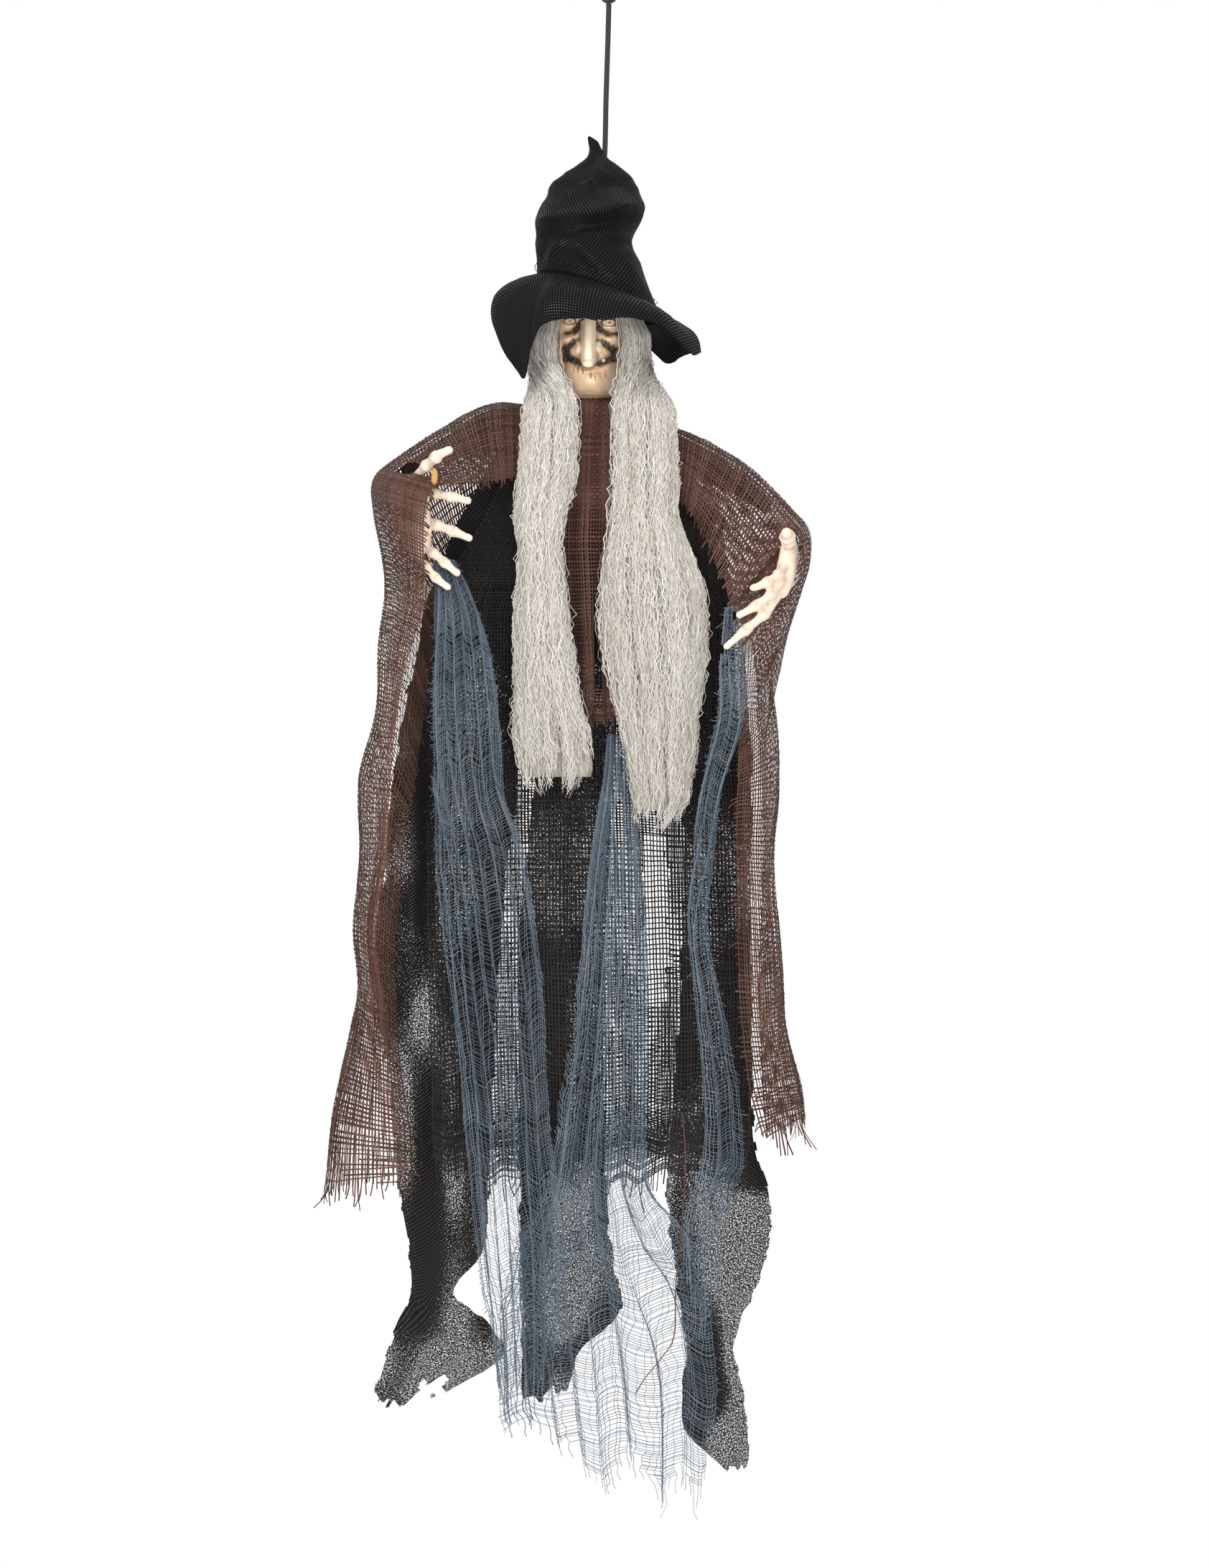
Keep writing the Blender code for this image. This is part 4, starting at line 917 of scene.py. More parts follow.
class StrandTree:
    """A node tree that sweeps a profile along a mesh of lines."""

    def __init__(self, profile: Profile) -> None:
        """Build the tree.

        Args:
            profile: what is swept.
        """
        self.tree = bpy.data.node_groups.new(f"sweep_{profile.value}", "GeometryNodeTree")
        sockets = self.tree.interface
        self.ids = {}
        for name, kind in (
            ("Geometry", "NodeSocketGeometry"),
            ("Half Width", "NodeSocketFloat"),
            ("Sides", "NodeSocketInt"),
            ("Material", "NodeSocketMaterial"),
        ):
            self.ids[name] = sockets.new_socket(name=name, in_out="INPUT", socket_type=kind).identifier
        sockets.new_socket(name="Geometry", in_out="OUTPUT", socket_type="NodeSocketGeometry")
        start = self.add("NodeGroupInput")
        lines = self.add("GeometryNodeMeshToCurve", {"Mesh": start.outputs["Geometry"]})
        girth = self.add("GeometryNodeInputNamedAttribute")
        girth.inputs["Name"].default_value = "girth"
        if profile is Profile.RIBBON:
            across = self.add("GeometryNodeInputNamedAttribute")
            across.data_type = "FLOAT_VECTOR"
            across.inputs["Name"].default_value = "across"
            turned = self.add("GeometryNodeSetCurveNormal")
            turned.mode = "FREE"
            self.tree.links.new(lines.outputs[0], turned.inputs["Curve"])
            self.tree.links.new(across.outputs["Attribute"], turned.inputs["Normal"])
            swept, shape = turned, self.add("GeometryNodeCurvePrimitiveLine")
            shape.inputs["Start"].default_value = (-1.0, 0.0, 0.0)
            shape.inputs["End"].default_value = (1.0, 0.0, 0.0)
        else:
            swept, shape = lines, self.add("GeometryNodeCurvePrimitiveCircle")
            shape.inputs["Radius"].default_value = 1.0
            self.tree.links.new(start.outputs["Sides"], shape.inputs["Resolution"])
        size = self.add("ShaderNodeMath", {0: girth.outputs["Attribute"], 1: start.outputs["Half Width"]})
        size.operation = "MULTIPLY"
        links = {"Curve": swept.outputs[0], "Profile Curve": shape.outputs[0]}
        made = self.add("GeometryNodeCurveToMesh", links)
        self.tree.links.new(size.outputs[0], made.inputs["Scale"])
        made = self.add("GeometryNodeSetShadeSmooth", {0: made.outputs[0]})
        made = self.add("GeometryNodeRealizeInstances", {0: made.outputs[0]})
        links = {0: made.outputs[0], "Material": start.outputs["Material"]}
        made = self.add("GeometryNodeSetMaterial", links)
        self.add("NodeGroupOutput", {0: made.outputs[0]})

    def add(self, kind: str, links: dict | None = None) -> bpy.types.Node:
        """One node with its inputs linked.

        Args:
            kind: the node's type.
            links: an output for each input that is linked.

        Returns:
            The node.
        """
        made = self.tree.nodes.new(kind)
        for key, source in (links or {}).items():
            self.tree.links.new(source, made.inputs[key])
        return made


@dataclass
class Strands:
    """Lines in millimetres that become threads or hairs."""

    girths: list[Array] = field(default_factory=list)
    points: list[Array] = field(default_factory=list)
    acrosses: list[Array] = field(default_factory=list)
    tones: list[Array] = field(default_factory=list)
    keeps: list[Array] = field(default_factory=list)

    def add(
        self, lines: Array, across: Array, tone: Array | float, girth: Array | float = 1.0, keep: Array | None = None
    ) -> None:
        """Add lines of the same number of points.

        Args:
            lines: lines by points by three.
            across: the direction of each point's width.
            tone: one for each line, or one for all.
            girth: share of the full width, at each point, line or for all.
            keep: False where a line has a gap.
        """
        shape = lines.shape[:2]
        self.points.append(lines)
        self.acrosses.append(np.broadcast_to(across, lines.shape))
        tone = np.asarray(tone, float)
        self.tones.append(np.broadcast_to(tone[:, None] if tone.ndim == 1 else tone, shape))
        self.girths.append(np.broadcast_to(np.asarray(girth, float), shape))
        self.keeps.append(np.ones(shape, bool) if keep is None else keep)

    def build(
        self, name: str, half_width: float, look: Look, profile: Profile = Profile.RIBBON, sides: int = 3
    ) -> Piece:
        """Sweep the lines into a mesh.

        Args:
            name: the piece's name.
            half_width: half a thread's width in millimetres.
            look: its material.
            profile: ribbon or round.
            sides: sides of a round strand.

        Returns:
            The object, a plain mesh.
        """
        edges, first = [], 0
        for keep in self.keeps:
            count, long = keep.shape
            number = first + np.arange(count * long).reshape(count, long)
            both = keep[:, :-1] & keep[:, 1:]
            edges.append(np.stack([number[:, :-1][both], number[:, 1:][both]], axis=1))
            first += count * long
        points = np.concatenate([p.reshape(-1, 3) for p in self.points])
        pairs = np.concatenate(edges)
        mesh = bpy.data.meshes.new(name)
        mesh.vertices.add(len(points))
        mesh.vertices.foreach_set("co", (points * MM).ravel())
        mesh.edges.add(len(pairs))
        mesh.edges.foreach_set("vertices", pairs.astype(np.int32).ravel())
        mark(mesh, "girth", np.concatenate([g.ravel() for g in self.girths]))
        mark(mesh, "tone", np.concatenate([t.ravel() for t in self.tones]))
        mark(mesh, "across", np.concatenate([a.reshape(-1, 3) for a in self.acrosses]), "FLOAT_VECTOR")
        mesh.update()
        made = linked(name, mesh)
        sweep = made.modifiers.new("sweep", "NODES")
        tree = sweep_of(profile)
        sweep.node_group = tree.tree
        sweep[tree.ids["Half Width"]] = half_width * MM
        sweep[tree.ids["Sides"]] = sides
        sweep[tree.ids["Material"]] = look
        finished(made, name)
        for spare in ("girth", "across"):
            if spare in made.data.attributes:
                made.data.attributes.remove(made.data.attributes[spare])
        return made


# Cloth as a surface, and its threads


@dataclass
class Surface:
    """A grid of points in millimetres, rows down the cloth and columns across it."""

    grid: Array

    def at(self, down: Array, across: Array) -> Array:
        """Points at fractions of the cloth's length and width."""
        return self.read(self.grid, down, across)

    @staticmethod
    def read(grid: Array, down: Array, across: Array) -> Array:
        """A grid of values read between its points.

        Args:
            grid: rows by columns by parts.
            down: fractions of the rows, 0 to 1.
            across: fractions of the columns, 0 to 1.

        Returns:
            The values.
        """
        rows, columns, _ = grid.shape
        r = np.clip(down, 0.0, 1.0) * (rows - 1)
        c = np.clip(across, 0.0, 1.0) * (columns - 1)
        i = np.minimum(r.astype(int), rows - 2)
        j = np.minimum(c.astype(int), columns - 2)
        fr, fc = (r - i)[..., None], (c - j)[..., None]
        top = between(grid[i, j], grid[i, j + 1], fc)
        low = between(grid[i + 1, j], grid[i + 1, j + 1], fc)
        return between(top, low, fr)

    def directions(self) -> tuple[Array, Array, Array]:
        """Unit vectors down, across and out of the cloth at each grid point."""
        down = unit(np.gradient(self.grid, axis=0))
        across = unit(np.gradient(self.grid, axis=1))
        return down, across, unit(np.cross(across, down))

    def raised(self, amount: Array) -> "Surface":
        """The surface moved along its normals."""
        return Surface(self.grid + self.directions()[2] * amount[..., None])

    def flat_map(self) -> Array:
        """Each point's place on the flat cloth in metres, by rows of points."""
        steps = np.linalg.norm(np.diff(self.grid, axis=1), axis=2)
        wide = np.concatenate([np.zeros((len(steps), 1)), np.cumsum(steps, axis=1)], axis=1)
        wide -= wide.mean(axis=1, keepdims=True)
        fall = np.linalg.norm(np.diff(self.grid, axis=0), axis=2)
        long = np.concatenate([np.zeros((1, fall.shape[1])), np.cumsum(fall, axis=0)])
        return np.stack([wide, -long], axis=2).reshape(-1, 2) * MM

    def sheet(self, name: str, look: Look, keep: Array | None = None) -> Piece:
        """The surface as a single layer of faces.

        Args:
            name: the piece's name.
            look: its material.
            keep: False at points where the cloth is torn away.

        Returns:
            The object.
        """
        rows, columns, _ = self.grid.shape
        faces = quads(rows, columns)
        if keep is not None:
            faces = faces[keep.ravel()[faces].all(axis=1)]
        return mesh_object(name, self.grid.reshape(-1, 3), faces, look, self.flat_map())

    def area(self) -> float:
        """Its area in square metres."""
        g = self.grid
        half = np.cross(g[1:, :-1] - g[:-1, :-1], g[:-1, 1:] - g[:-1, :-1])
        other = np.cross(g[1:, :-1] - g[1:, 1:], g[:-1, 1:] - g[1:, 1:])
        total = np.linalg.norm(half, axis=2).sum() + np.linalg.norm(other, axis=2).sum()
        return float(total) / 2 * MM * MM


@dataclass(frozen=True)
class Weave:
    """How a loose plain weave is made: thread counts and what is frayed. Lengths in millimetres."""

    warp: int
    weft: int
    half_width: float
    seed: int
    lift: float = 0.22
    wander: float = 0.18
    hem_fray: float = 9.0
    side_fray: float = 3.0
    hem_open: float = 0.03
    side_open: float = 0.012
    lost: float = 0.02
    curl: float = 1.6
    dense: float = 0.0
    fold: float = -1.0
    ends: tuple = ()

    def threads(self, cloth: Surface, hole: Hole | None = None) -> Strands:
        """Its threads on a surface.

        Args:
            cloth: where it hangs.
            hole: True for points where the cloth is open.

        Returns:
            The strands.
        """
        draw = np.random.default_rng(self.seed)
        s = (np.arange(self.weft) + 0.5) / self.weft
        t = (np.arange(self.warp) + 0.5) / self.warp
        down, across = np.meshgrid(s, t, indexing="ij")
        lattice = np.stack([down * self.weft, across * self.warp, np.zeros_like(down)], axis=2)
        drift = grain(lattice, 9.0, self.seed) + 0.5 * grain(lattice, 3.1, self.seed + 1)
        down = down + self.wander / self.weft * drift
        drift = grain(lattice, 11.0, self.seed + 2) + 0.5 * grain(lattice, 2.7, self.seed + 3)
        across = across + self.wander / self.warp * drift
        down = down + draw.normal(0.0, 0.3 * self.wander / self.weft, self.weft)[:, None]
        across = across + draw.normal(0.0, 0.3 * self.wander / self.warp, self.warp)[None, :]
        points = cloth.at(down, across)
        way_down, way_across, out = (Surface.read(v, down, across) for v in cloth.directions())
        rows, columns = np.arange(self.weft)[:, None], np.arange(self.warp)[None, :]
        sign = np.where((rows + columns) % 2, 1.0, -1.0)[..., None]
        kept = np.ones(down.shape, bool) if hole is None else ~hole(points)

        side = np.minimum(np.arange(self.warp), np.arange(self.warp)[::-1]) / self.warp
        warp_keep = kept.copy()
        gone = draw.random(self.warp) < np.where(side < self.side_open, 0.6, self.lost * 0.4)
        from_row = (draw.random(self.warp) * self.weft * 0.9).astype(int)
        to_row = from_row + (self.weft * draw.uniform(0.05, 0.35, self.warp)).astype(int)
        warp_keep &= ~(gone[None, :] & (rows > from_row[None, :]) & (rows < to_row[None, :]))
        weft_keep = kept.copy()
        late = 1.0 - s
        chance = np.where(late < self.hem_open, 0.75, np.where(late < 2.5 * self.hem_open, 0.3, self.lost))
        lost = draw.random(self.weft) < chance
        from_column = (draw.uniform(-0.6, 0.7, self.weft) * self.warp).astype(int)
        to_column = from_column + (self.warp * draw.uniform(0.3, 1.4, self.weft)).astype(int)
        weft_keep &= ~(lost[:, None] & (columns > from_column[:, None]) & (columns < to_column[:, None]))

        if self.ends:
            reach = np.interp(t, *np.array(self.ends, float).T)
            warp_keep &= s[:, None] < (reach + draw.uniform(-0.006, 0.026, self.warp))[None, :]
            weft_keep &= s[:, None] + draw.uniform(0.0, 0.02, self.weft)[:, None] < reach[None, :]
        thick = 1.0 + self.dense * (1.0 - smooth(0.3, 0.46, s))

        made = Strands()
        warp_lines = np.swapaxes(points + out * sign * self.lift, 0, 1)
        tail, tail_keep = self.tails(warp_lines[:, -1], way_down[-1], self.hem_fray, draw)
        lines = np.concatenate([warp_lines, tail], axis=1)
        width = np.swapaxes(way_across, 0, 1)
        width = np.concatenate([width, np.repeat(width[:, -1:], tail.shape[1], axis=1)], axis=1)
        keep = np.concatenate([warp_keep.T, tail_keep & warp_keep.T[:, -1:]], axis=1)
        heavy = np.concatenate([thick, np.full(tail.shape[1], thick[-1])])[None, :]
        if self.fold >= 0.0:
            heavy = heavy * (0.9 + 0.75 * np.exp(-(((t - self.fold) / 0.11) ** 2)))[:, None]
        made.add(lines, width, draw.random(self.warp), draw.uniform(0.8, 1.15, (self.warp, 1)) * heavy, keep)

        weft_lines = points - out * sign * self.lift
        right, right_keep = self.tails(weft_lines[:, -1], way_across[:, -1], self.side_fray, draw)
        left, left_keep = self.tails(weft_lines[:, 0], -way_across[:, 0], self.side_fray, draw)
        lines = np.concatenate([left[:, ::-1], weft_lines, right], axis=1)
        before = np.repeat(way_down[:, :1], left.shape[1], axis=1)
        after = np.repeat(way_down[:, -1:], right.shape[1], axis=1)
        width = np.concatenate([before, way_down, after], axis=1)
        ends = (left_keep[:, ::-1] & weft_keep[:, :1], weft_keep, right_keep & weft_keep[:, -1:])
        keep = np.concatenate(ends, axis=1)
        tone = draw.random(self.weft)
        made.add(lines, width, tone, draw.uniform(0.8, 1.15, (self.weft, 1)) * thick[:, None], keep)
        return made

    def tails(
        self, ends: Array, way: Array, long: float, draw: np.random.Generator
    ) -> tuple[Array, Array]:
        """Loose ends that go on past an edge and droop.

        Args:
            ends: where each thread leaves the cloth.
            way: its direction there.
            long: the longest loose end.
            draw: the random numbers.

        Returns:
            The further points, and which are kept.
        """
        steps = 4
        count = len(ends)
        reach = long * draw.random(count) ** 1.6
        run = np.linspace(0.0, 1.0, steps + 1)[None, 1:, None] * reach[:, None, None]
        bend = draw.normal(0.0, 0.22 * self.curl, (count, 1, 3)) * (run / max(long, 1e-6)) * run
        droop = np.array([0.0, 0.0, -0.5]) * (run / max(long, 1e-6)) * run
        kept = np.repeat((reach > 0.6)[:, None], steps, axis=1)
        return ends[:, None, :] + way[:, None, :] * run + bend + droop, kept


# The body's folds, as every layer shares them


def wave(x: Array, z: Array) -> Array:
    """Depth of the long hanging folds."""
    sway = 0.06 * (z - HIDDEN_TOP)
    long = 3.2 * np.sin((x + sway) * TAU / FOLD_LONG)
    short = 1.5 * np.sin((x - 0.5 * sway) * TAU / FOLD_SHORT + 1.1)
    return (long + short) * (0.12 + 0.88 * smooth(-290.0, -430.0, z))


def front_depth(x: Array, z: Array) -> Array:
    """Middle of the front gown layer."""
    out = -18.5 - 6.0 * (1.0 - np.clip(x / 95.0, -1.0, 1.0) ** 2)
    return -12.5 + (out + 12.5) * smooth(HIDDEN_TOP, -335.0, z) + wave(x, z)


def rear_depth(x: Array, z: Array) -> Array:
    """Middle of the rear gown layer."""
    rest = 15.6 + 9.0 * smooth(-330.0, -470.0, z) * (1.0 - np.clip(x / 110.0, -1.0, 1.0) ** 2)
    return rest + 0.8 * wave(x, z) * smooth(-300.0, -380.0, z)


def panel_depth(x: Array, z: Array) -> Array:
    """Middle of the black panels."""
    out = 0.5 - 3.0 * (1.0 - np.clip(x / 100.0, -1.0, 1.0) ** 2)
    return out + 6.5 * smooth(85.0, 115.0, np.abs(x)) + 0.75 * wave(x, z) * smooth(-300.0, -400.0, z)


def centre_depth(x: Array, z: Array) -> Array:
    """Middle of the central blue strip, pinned on the gown at its top."""
    off = 1.5 + 4.5 * smooth(-452.0, -490.0, z)
    return front_depth(x, z) - off + 1.2 * np.sin(x * TAU / 21.0) * smooth(-480.0, -540.0, z)


def strip_depth(
    start: float, z_start: float, z_end: float, offset: float, pitch: float, amount: float, phase: float
) -> Depth:
    """Depth of a strip that runs from a hand to a place before the gown.

    Args:
        start: depth at the hand.
        z_start: where it leaves the hand.
        z_end: where it reaches the gown.
        offset: how far it stays before the gown.
        pitch: its own gathers' pitch.
        amount: its own gathers' depth.
        phase: where its gathers begin.

    Returns:
        The depth as a function of x and z.
    """

    def depth(x: Array, z: Array) -> Array:
        """The strip's depth."""
        own = amount * np.sin(x * TAU / pitch + phase)
        return start + (front_depth(x, z) - offset - start) * smooth(z_start, z_end, z) + own

    return depth


def ragged(columns: int, deep: float, seed: float) -> Array:
    """Uneven hem drops for a row of columns."""
    spin = np.arange(columns) * 2.399 + seed
    return deep * (0.55 * np.sin(spin * 1.7) + 0.45 * np.sin(spin * 2.9 + 0.7))


@dataclass(frozen=True)
class Hanging:
    """A sheet that hangs between a left and a right edge: keys of (height, left, right)."""

    keys: tuple
    columns: int
    depth: Depth
    hem: float = 0.0
    seed: float = 0.0
    lean: float = 0.0
    pleats: float = 0.0
    pleat_deep: float = 0.0
    rumple: float = 0.5
    bunch: float = 0.0
    slant: float = 0.0
    rows_fine: int = 150
    columns_fine: int = 90

    def surface(self) -> Surface:
        """The sheet at its fine resolution."""
        edge = curve_through(self.keys, self.rows_fine)
        s, t = shares(self.rows_fine, self.columns_fine)
        wide = edge[:, 2:3] - edge[:, 1:2]
        x = edge[:, 1:2] + wide * t
        coarse = ragged(self.columns, self.hem, self.seed)
        drops = np.interp(t[0], np.linspace(0.0, 1.0, self.columns), coarse)
        z = edge[:, 0:1] + s**5 * drops[None, :]
        z = z - self.lean * np.clip(x - 2.0, 0.0, None) * (1.0 - s) ** 2
        y = self.depth(x, z)
        where = np.stack([x, y * 0.0, z * 0.3], axis=2)
        tight = np.clip(wide.max() / np.maximum(wide, 1.0) - 0.85, 0.0, 1.4)
        stray = 1.4 * grain(where, 34.0, 5) + 0.9 * np.sin(s * 7.0 + self.seed)
        turn = t * self.pleats * TAU + (2.4 if self.bunch else 1.0) * stray
        y = y + self.pleat_deep * tight * np.sin(turn)
        y = y + self.rumple * grain(where, 13.0, 6) + 0.5 * self.rumple * grain(where, 5.5, 7)
        x = x + 0.35 * self.rumple * grain(where + 50.0, 15.0, 8)
        if self.bunch:
            edges = np.minimum(1.0, 6.0 * np.minimum(t, 1.0 - t))
            pull = self.bunch * (1.0 + 0.7 * grain(where, 24.0, 12)) * edges
            x = x + pull * wide / (4 * math.pi * self.pleats) * np.sin(2.0 * turn + 0.6)
            settled = smooth(0.0, 0.06, s)
            z = z + self.slant * settled * (np.sin(turn + 1.0) + 0.9 * grain(where, 19.0, 13))
        return Surface(np.stack([x, y, z], axis=2))


# Cord, loop and knots


@dataclass
class HangingCord:
    """The braided cord from the knot under the loop down into the head."""

    keys: tuple = (
        (0.0, 0.0, -29.8), (-0.5, 0.6, -50.0), (-1.6, 2.0, -85.0), (-2.5, 3.6, -119.0), (-5.5, 4.0, -150.0),
        (-9.5, 2.6, -176.0), (HEAD_X, HEAD_Y, KNOT_TOP),
    )
    diameter: float = CORD_DIAMETER
    steps: int = 40
    sides: int = 20

    def build(self) -> None:
        """The cord as a tube with its braid laid along it."""
        path = even_curve(self.keys, self.steps)
        rings = rings_along(path, self.diameter / 2, self.sides)
        rings = np.concatenate([rings, rings[:, :1]], axis=1)
        columns = self.sides + 1
        faces = [tuple(f) for f in quads(self.steps, columns)]
        faces.append(tuple(range(self.sides))[::-1])
        faces.append(tuple((self.steps - 1) * columns + k for k in range(self.sides)))
        along = run_along(path)
        around = np.arange(columns) / self.sides * math.pi * self.diameter
        uv = np.stack(np.meshgrid(around, along), axis=2).reshape(-1, 2) * MM
        points = rings.reshape(-1, 3)
        made = mesh_object("braided_cord", points, outward(points, faces), CORD_BRAID.build(), uv)
        claim(made, "cord_black", "hanging_cord")
        knot = KNOT_BRAID.build()
        for name in ("hanging_loop", "cord_knot"):
            dress(name, knot)
        LOG.info("cord: %.0f mm", along[-1])


def dress(name: str, look: Look) -> None:
    """Give a carried-over node of the frame its material."""
    node = frame["nodes"][name]
    for socket in node.material_slots:
        socket.material = look


def claim(piece: Piece, slot: str, *nodes: str) -> None:
    """Make a piece ride on the body, and hide the frame's nodes that it stands for.

    Args:
        piece: the piece.
        slot: the record's material slot; not used.
        nodes: the frame's nodes that it replaces.
    """
    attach(piece, "root")
    if nodes:
        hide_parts(*nodes)


# Head


@dataclass
class Head:
    """The moulded head with its painted face and hidden neck."""

    outer: tuple = (
        (-272, 13, 13, 13), (-262, 13, 13, 13), (-259.5, 13.5, 15, 13.5), (-257.5, 13.8, 24, 14),
        (-255, 14.8, 27, 15), (-248, 17.5, 28.5, 18), (-241.5, 20.5, 29.5, 21.5), (-233.5, 23.5, 29.5, 25),
        (-226, 25, 29.5, 27), (-218, 25.3, 29, 28), (-211, 25, 28.5, 28), (-206, 23.8, 27, 26.5),
        (-200, 20.5, 23, 23), (-195, 15, 17, 16), (-191.5, 7.5, 8, 8), (-190, 2, 2, 2),
    )
    nose: tuple = (
        (-244.6, 0, 3.8), (-243.2, 3.4, 4.2), (-242, 8.4, 4.5), (-240.2, 11.2, 4.7), (-238, 11.9, 4.6),
        (-235, 11, 4.2), (-230, 9.2, 4), (-222, 6.6, 3.8), (-216, 4.6, 3.6), (-212.5, 2.4, 3.8),
        (-208, 0, 4.2),
    )
    rows: int = 160
    columns: int = 190

    def rise(self, x: Array, z: Array) -> Array:
        """How far the features stand out from the plain head.

        Args:
            x: from the middle of the face.
            z: height.

        Returns:
            Millimetres forward.
        """

        def hump(value: Array, at_x: float, at_z: float, wide: float, tall: float) -> Array:
            """A round rise of height one."""
            return np.exp(-(((value - at_x) / wide) ** 2) - ((z - at_z) / tall) ** 2)

        height, width = blend(self.nose, z)
        bridge = np.exp(-((np.abs(x - NOSE_X) / width) ** 3.4))
        rise = height * bridge
        side = np.abs(x + 0.4)
        rise += 3.2 * hump(np.abs(x - NOSE_X), 5.9, -231.5, 1.8, 4.2)
        rise += 3.8 * hump(side, 8.0, -211.0, 7.0, 2.4)
        rise -= 4.2 * hump(side, 9.5, -217.6, 4.8, 3.4)
        ball = np.clip(1.0 - ((side - 10.9) / 4.3) ** 2 - ((z + 216.0) / 2.9) ** 2, 0.0, 1.0)
        rise += 2.1 * np.sqrt(ball)
        from_eye = np.sqrt(((side - 10.9) / 4.4) ** 2 + ((z + 216.0) / 3.1) ** 2)
        rise += 0.6 * np.exp(-((from_eye - 1.0) / 0.22) ** 2)
        rise += 4.0 * hump(side, 13.6, -225.6, 5.2, 2.8)
        pouch = np.exp(-((z + 221.2 + (side - 8.0) * 0.5) ** 2))
        rise -= 0.9 * pouch * smooth(3.0, 6.0, side) * smooth(16.0, 12.0, side)
        rise -= 3.0 * hump(side, 14.0, -236.5, 2.8, 5.4)
        rise += 3.0 * hump(side, 9.2, -232.6, 2.9, 3.6)
        smile = -239.6 + 6.2 * (side / 15.0) ** 2
        rise -= 3.4 * np.exp(-(((z - smile) / 1.4) ** 2)) * smooth(17.5, 13.0, side)
        rise += 0.8 * np.exp(-(((z - smile + 2.6) / 1.3) ** 2)) * smooth(13.0, 8.0, side)
        rise -= 0.9 * np.exp(-(((z - smile + 5.4) / 1.5) ** 2)) * smooth(12.0, 6.0, side)
        rise += 5.0 * hump(x, 1.8, -251.0, 8.6, 5.4)
        rise -= 0.5 * hump(x, 2.0, -253.0, 0.9, 3.0)
        for at, deep in ((-209.5, 0.45), (-206.6, 0.4)):
            rise -= deep * np.exp(-(((z - at - 0.05 * side) / 0.55) ** 2)) * smooth(15.0, 9.0, side)
        line = np.exp(-(((side - 17.6 - (z + 231.0) * 0.2) / 0.8) ** 2))
        rise -= 0.5 * line * smooth(-242.0, -236.0, z) * smooth(-222.0, -228.0, z)
        return rise

    def build(self) -> None:
        """The head as one closed skin."""
        spread = np.linspace(0.0, 1.0, self.rows)
        z = -272.0 + 82.0 * (spread - 0.035 * np.sin(TAU * spread) * 1.6)
        wide, front, back = blend(self.outer, z)
        even = np.arange(self.columns) / self.columns
        turn = TAU * even - 0.62 * np.sin(TAU * even)
        x = wide[:, None] * np.sin(turn)[None, :]
        facing = np.cos(turn)[None, :]
        y = -np.where(facing > 0, front[:, None], back[:, None]) * facing
        zz = np.broadcast_to(z[:, None], x.shape)
        shown = smooth(0.05, 0.45, facing) * smooth(-259.5, -256.5, zz) * smooth(-199.0, -206.0, zz)
        rise = self.rise(x, zz) * shown
        where = np.stack([x, y, zz], axis=2)
        rise = rise + 0.22 * grain(where, 4.2, 31) * shown
        y = y - rise
        hook = smooth(6.0, 11.5, rise) * np.exp(-(((x - NOSE_X) / 6.0) ** 2)) * smooth(-246.0, -243.0, zz)
        zz = zz - 0.7 * hook * smooth(-232.0, -240.0, zz)
        rings = np.stack([HEAD_X + x, HEAD_Y + y, zz], axis=2)
        made = closed_tube("witch_head", rings, FACE_SKIN.build())
        claim(made, "skin_plastic", "head")
        LOG.info("head: %d points", rings.shape[0] * rings.shape[1])


# Hat


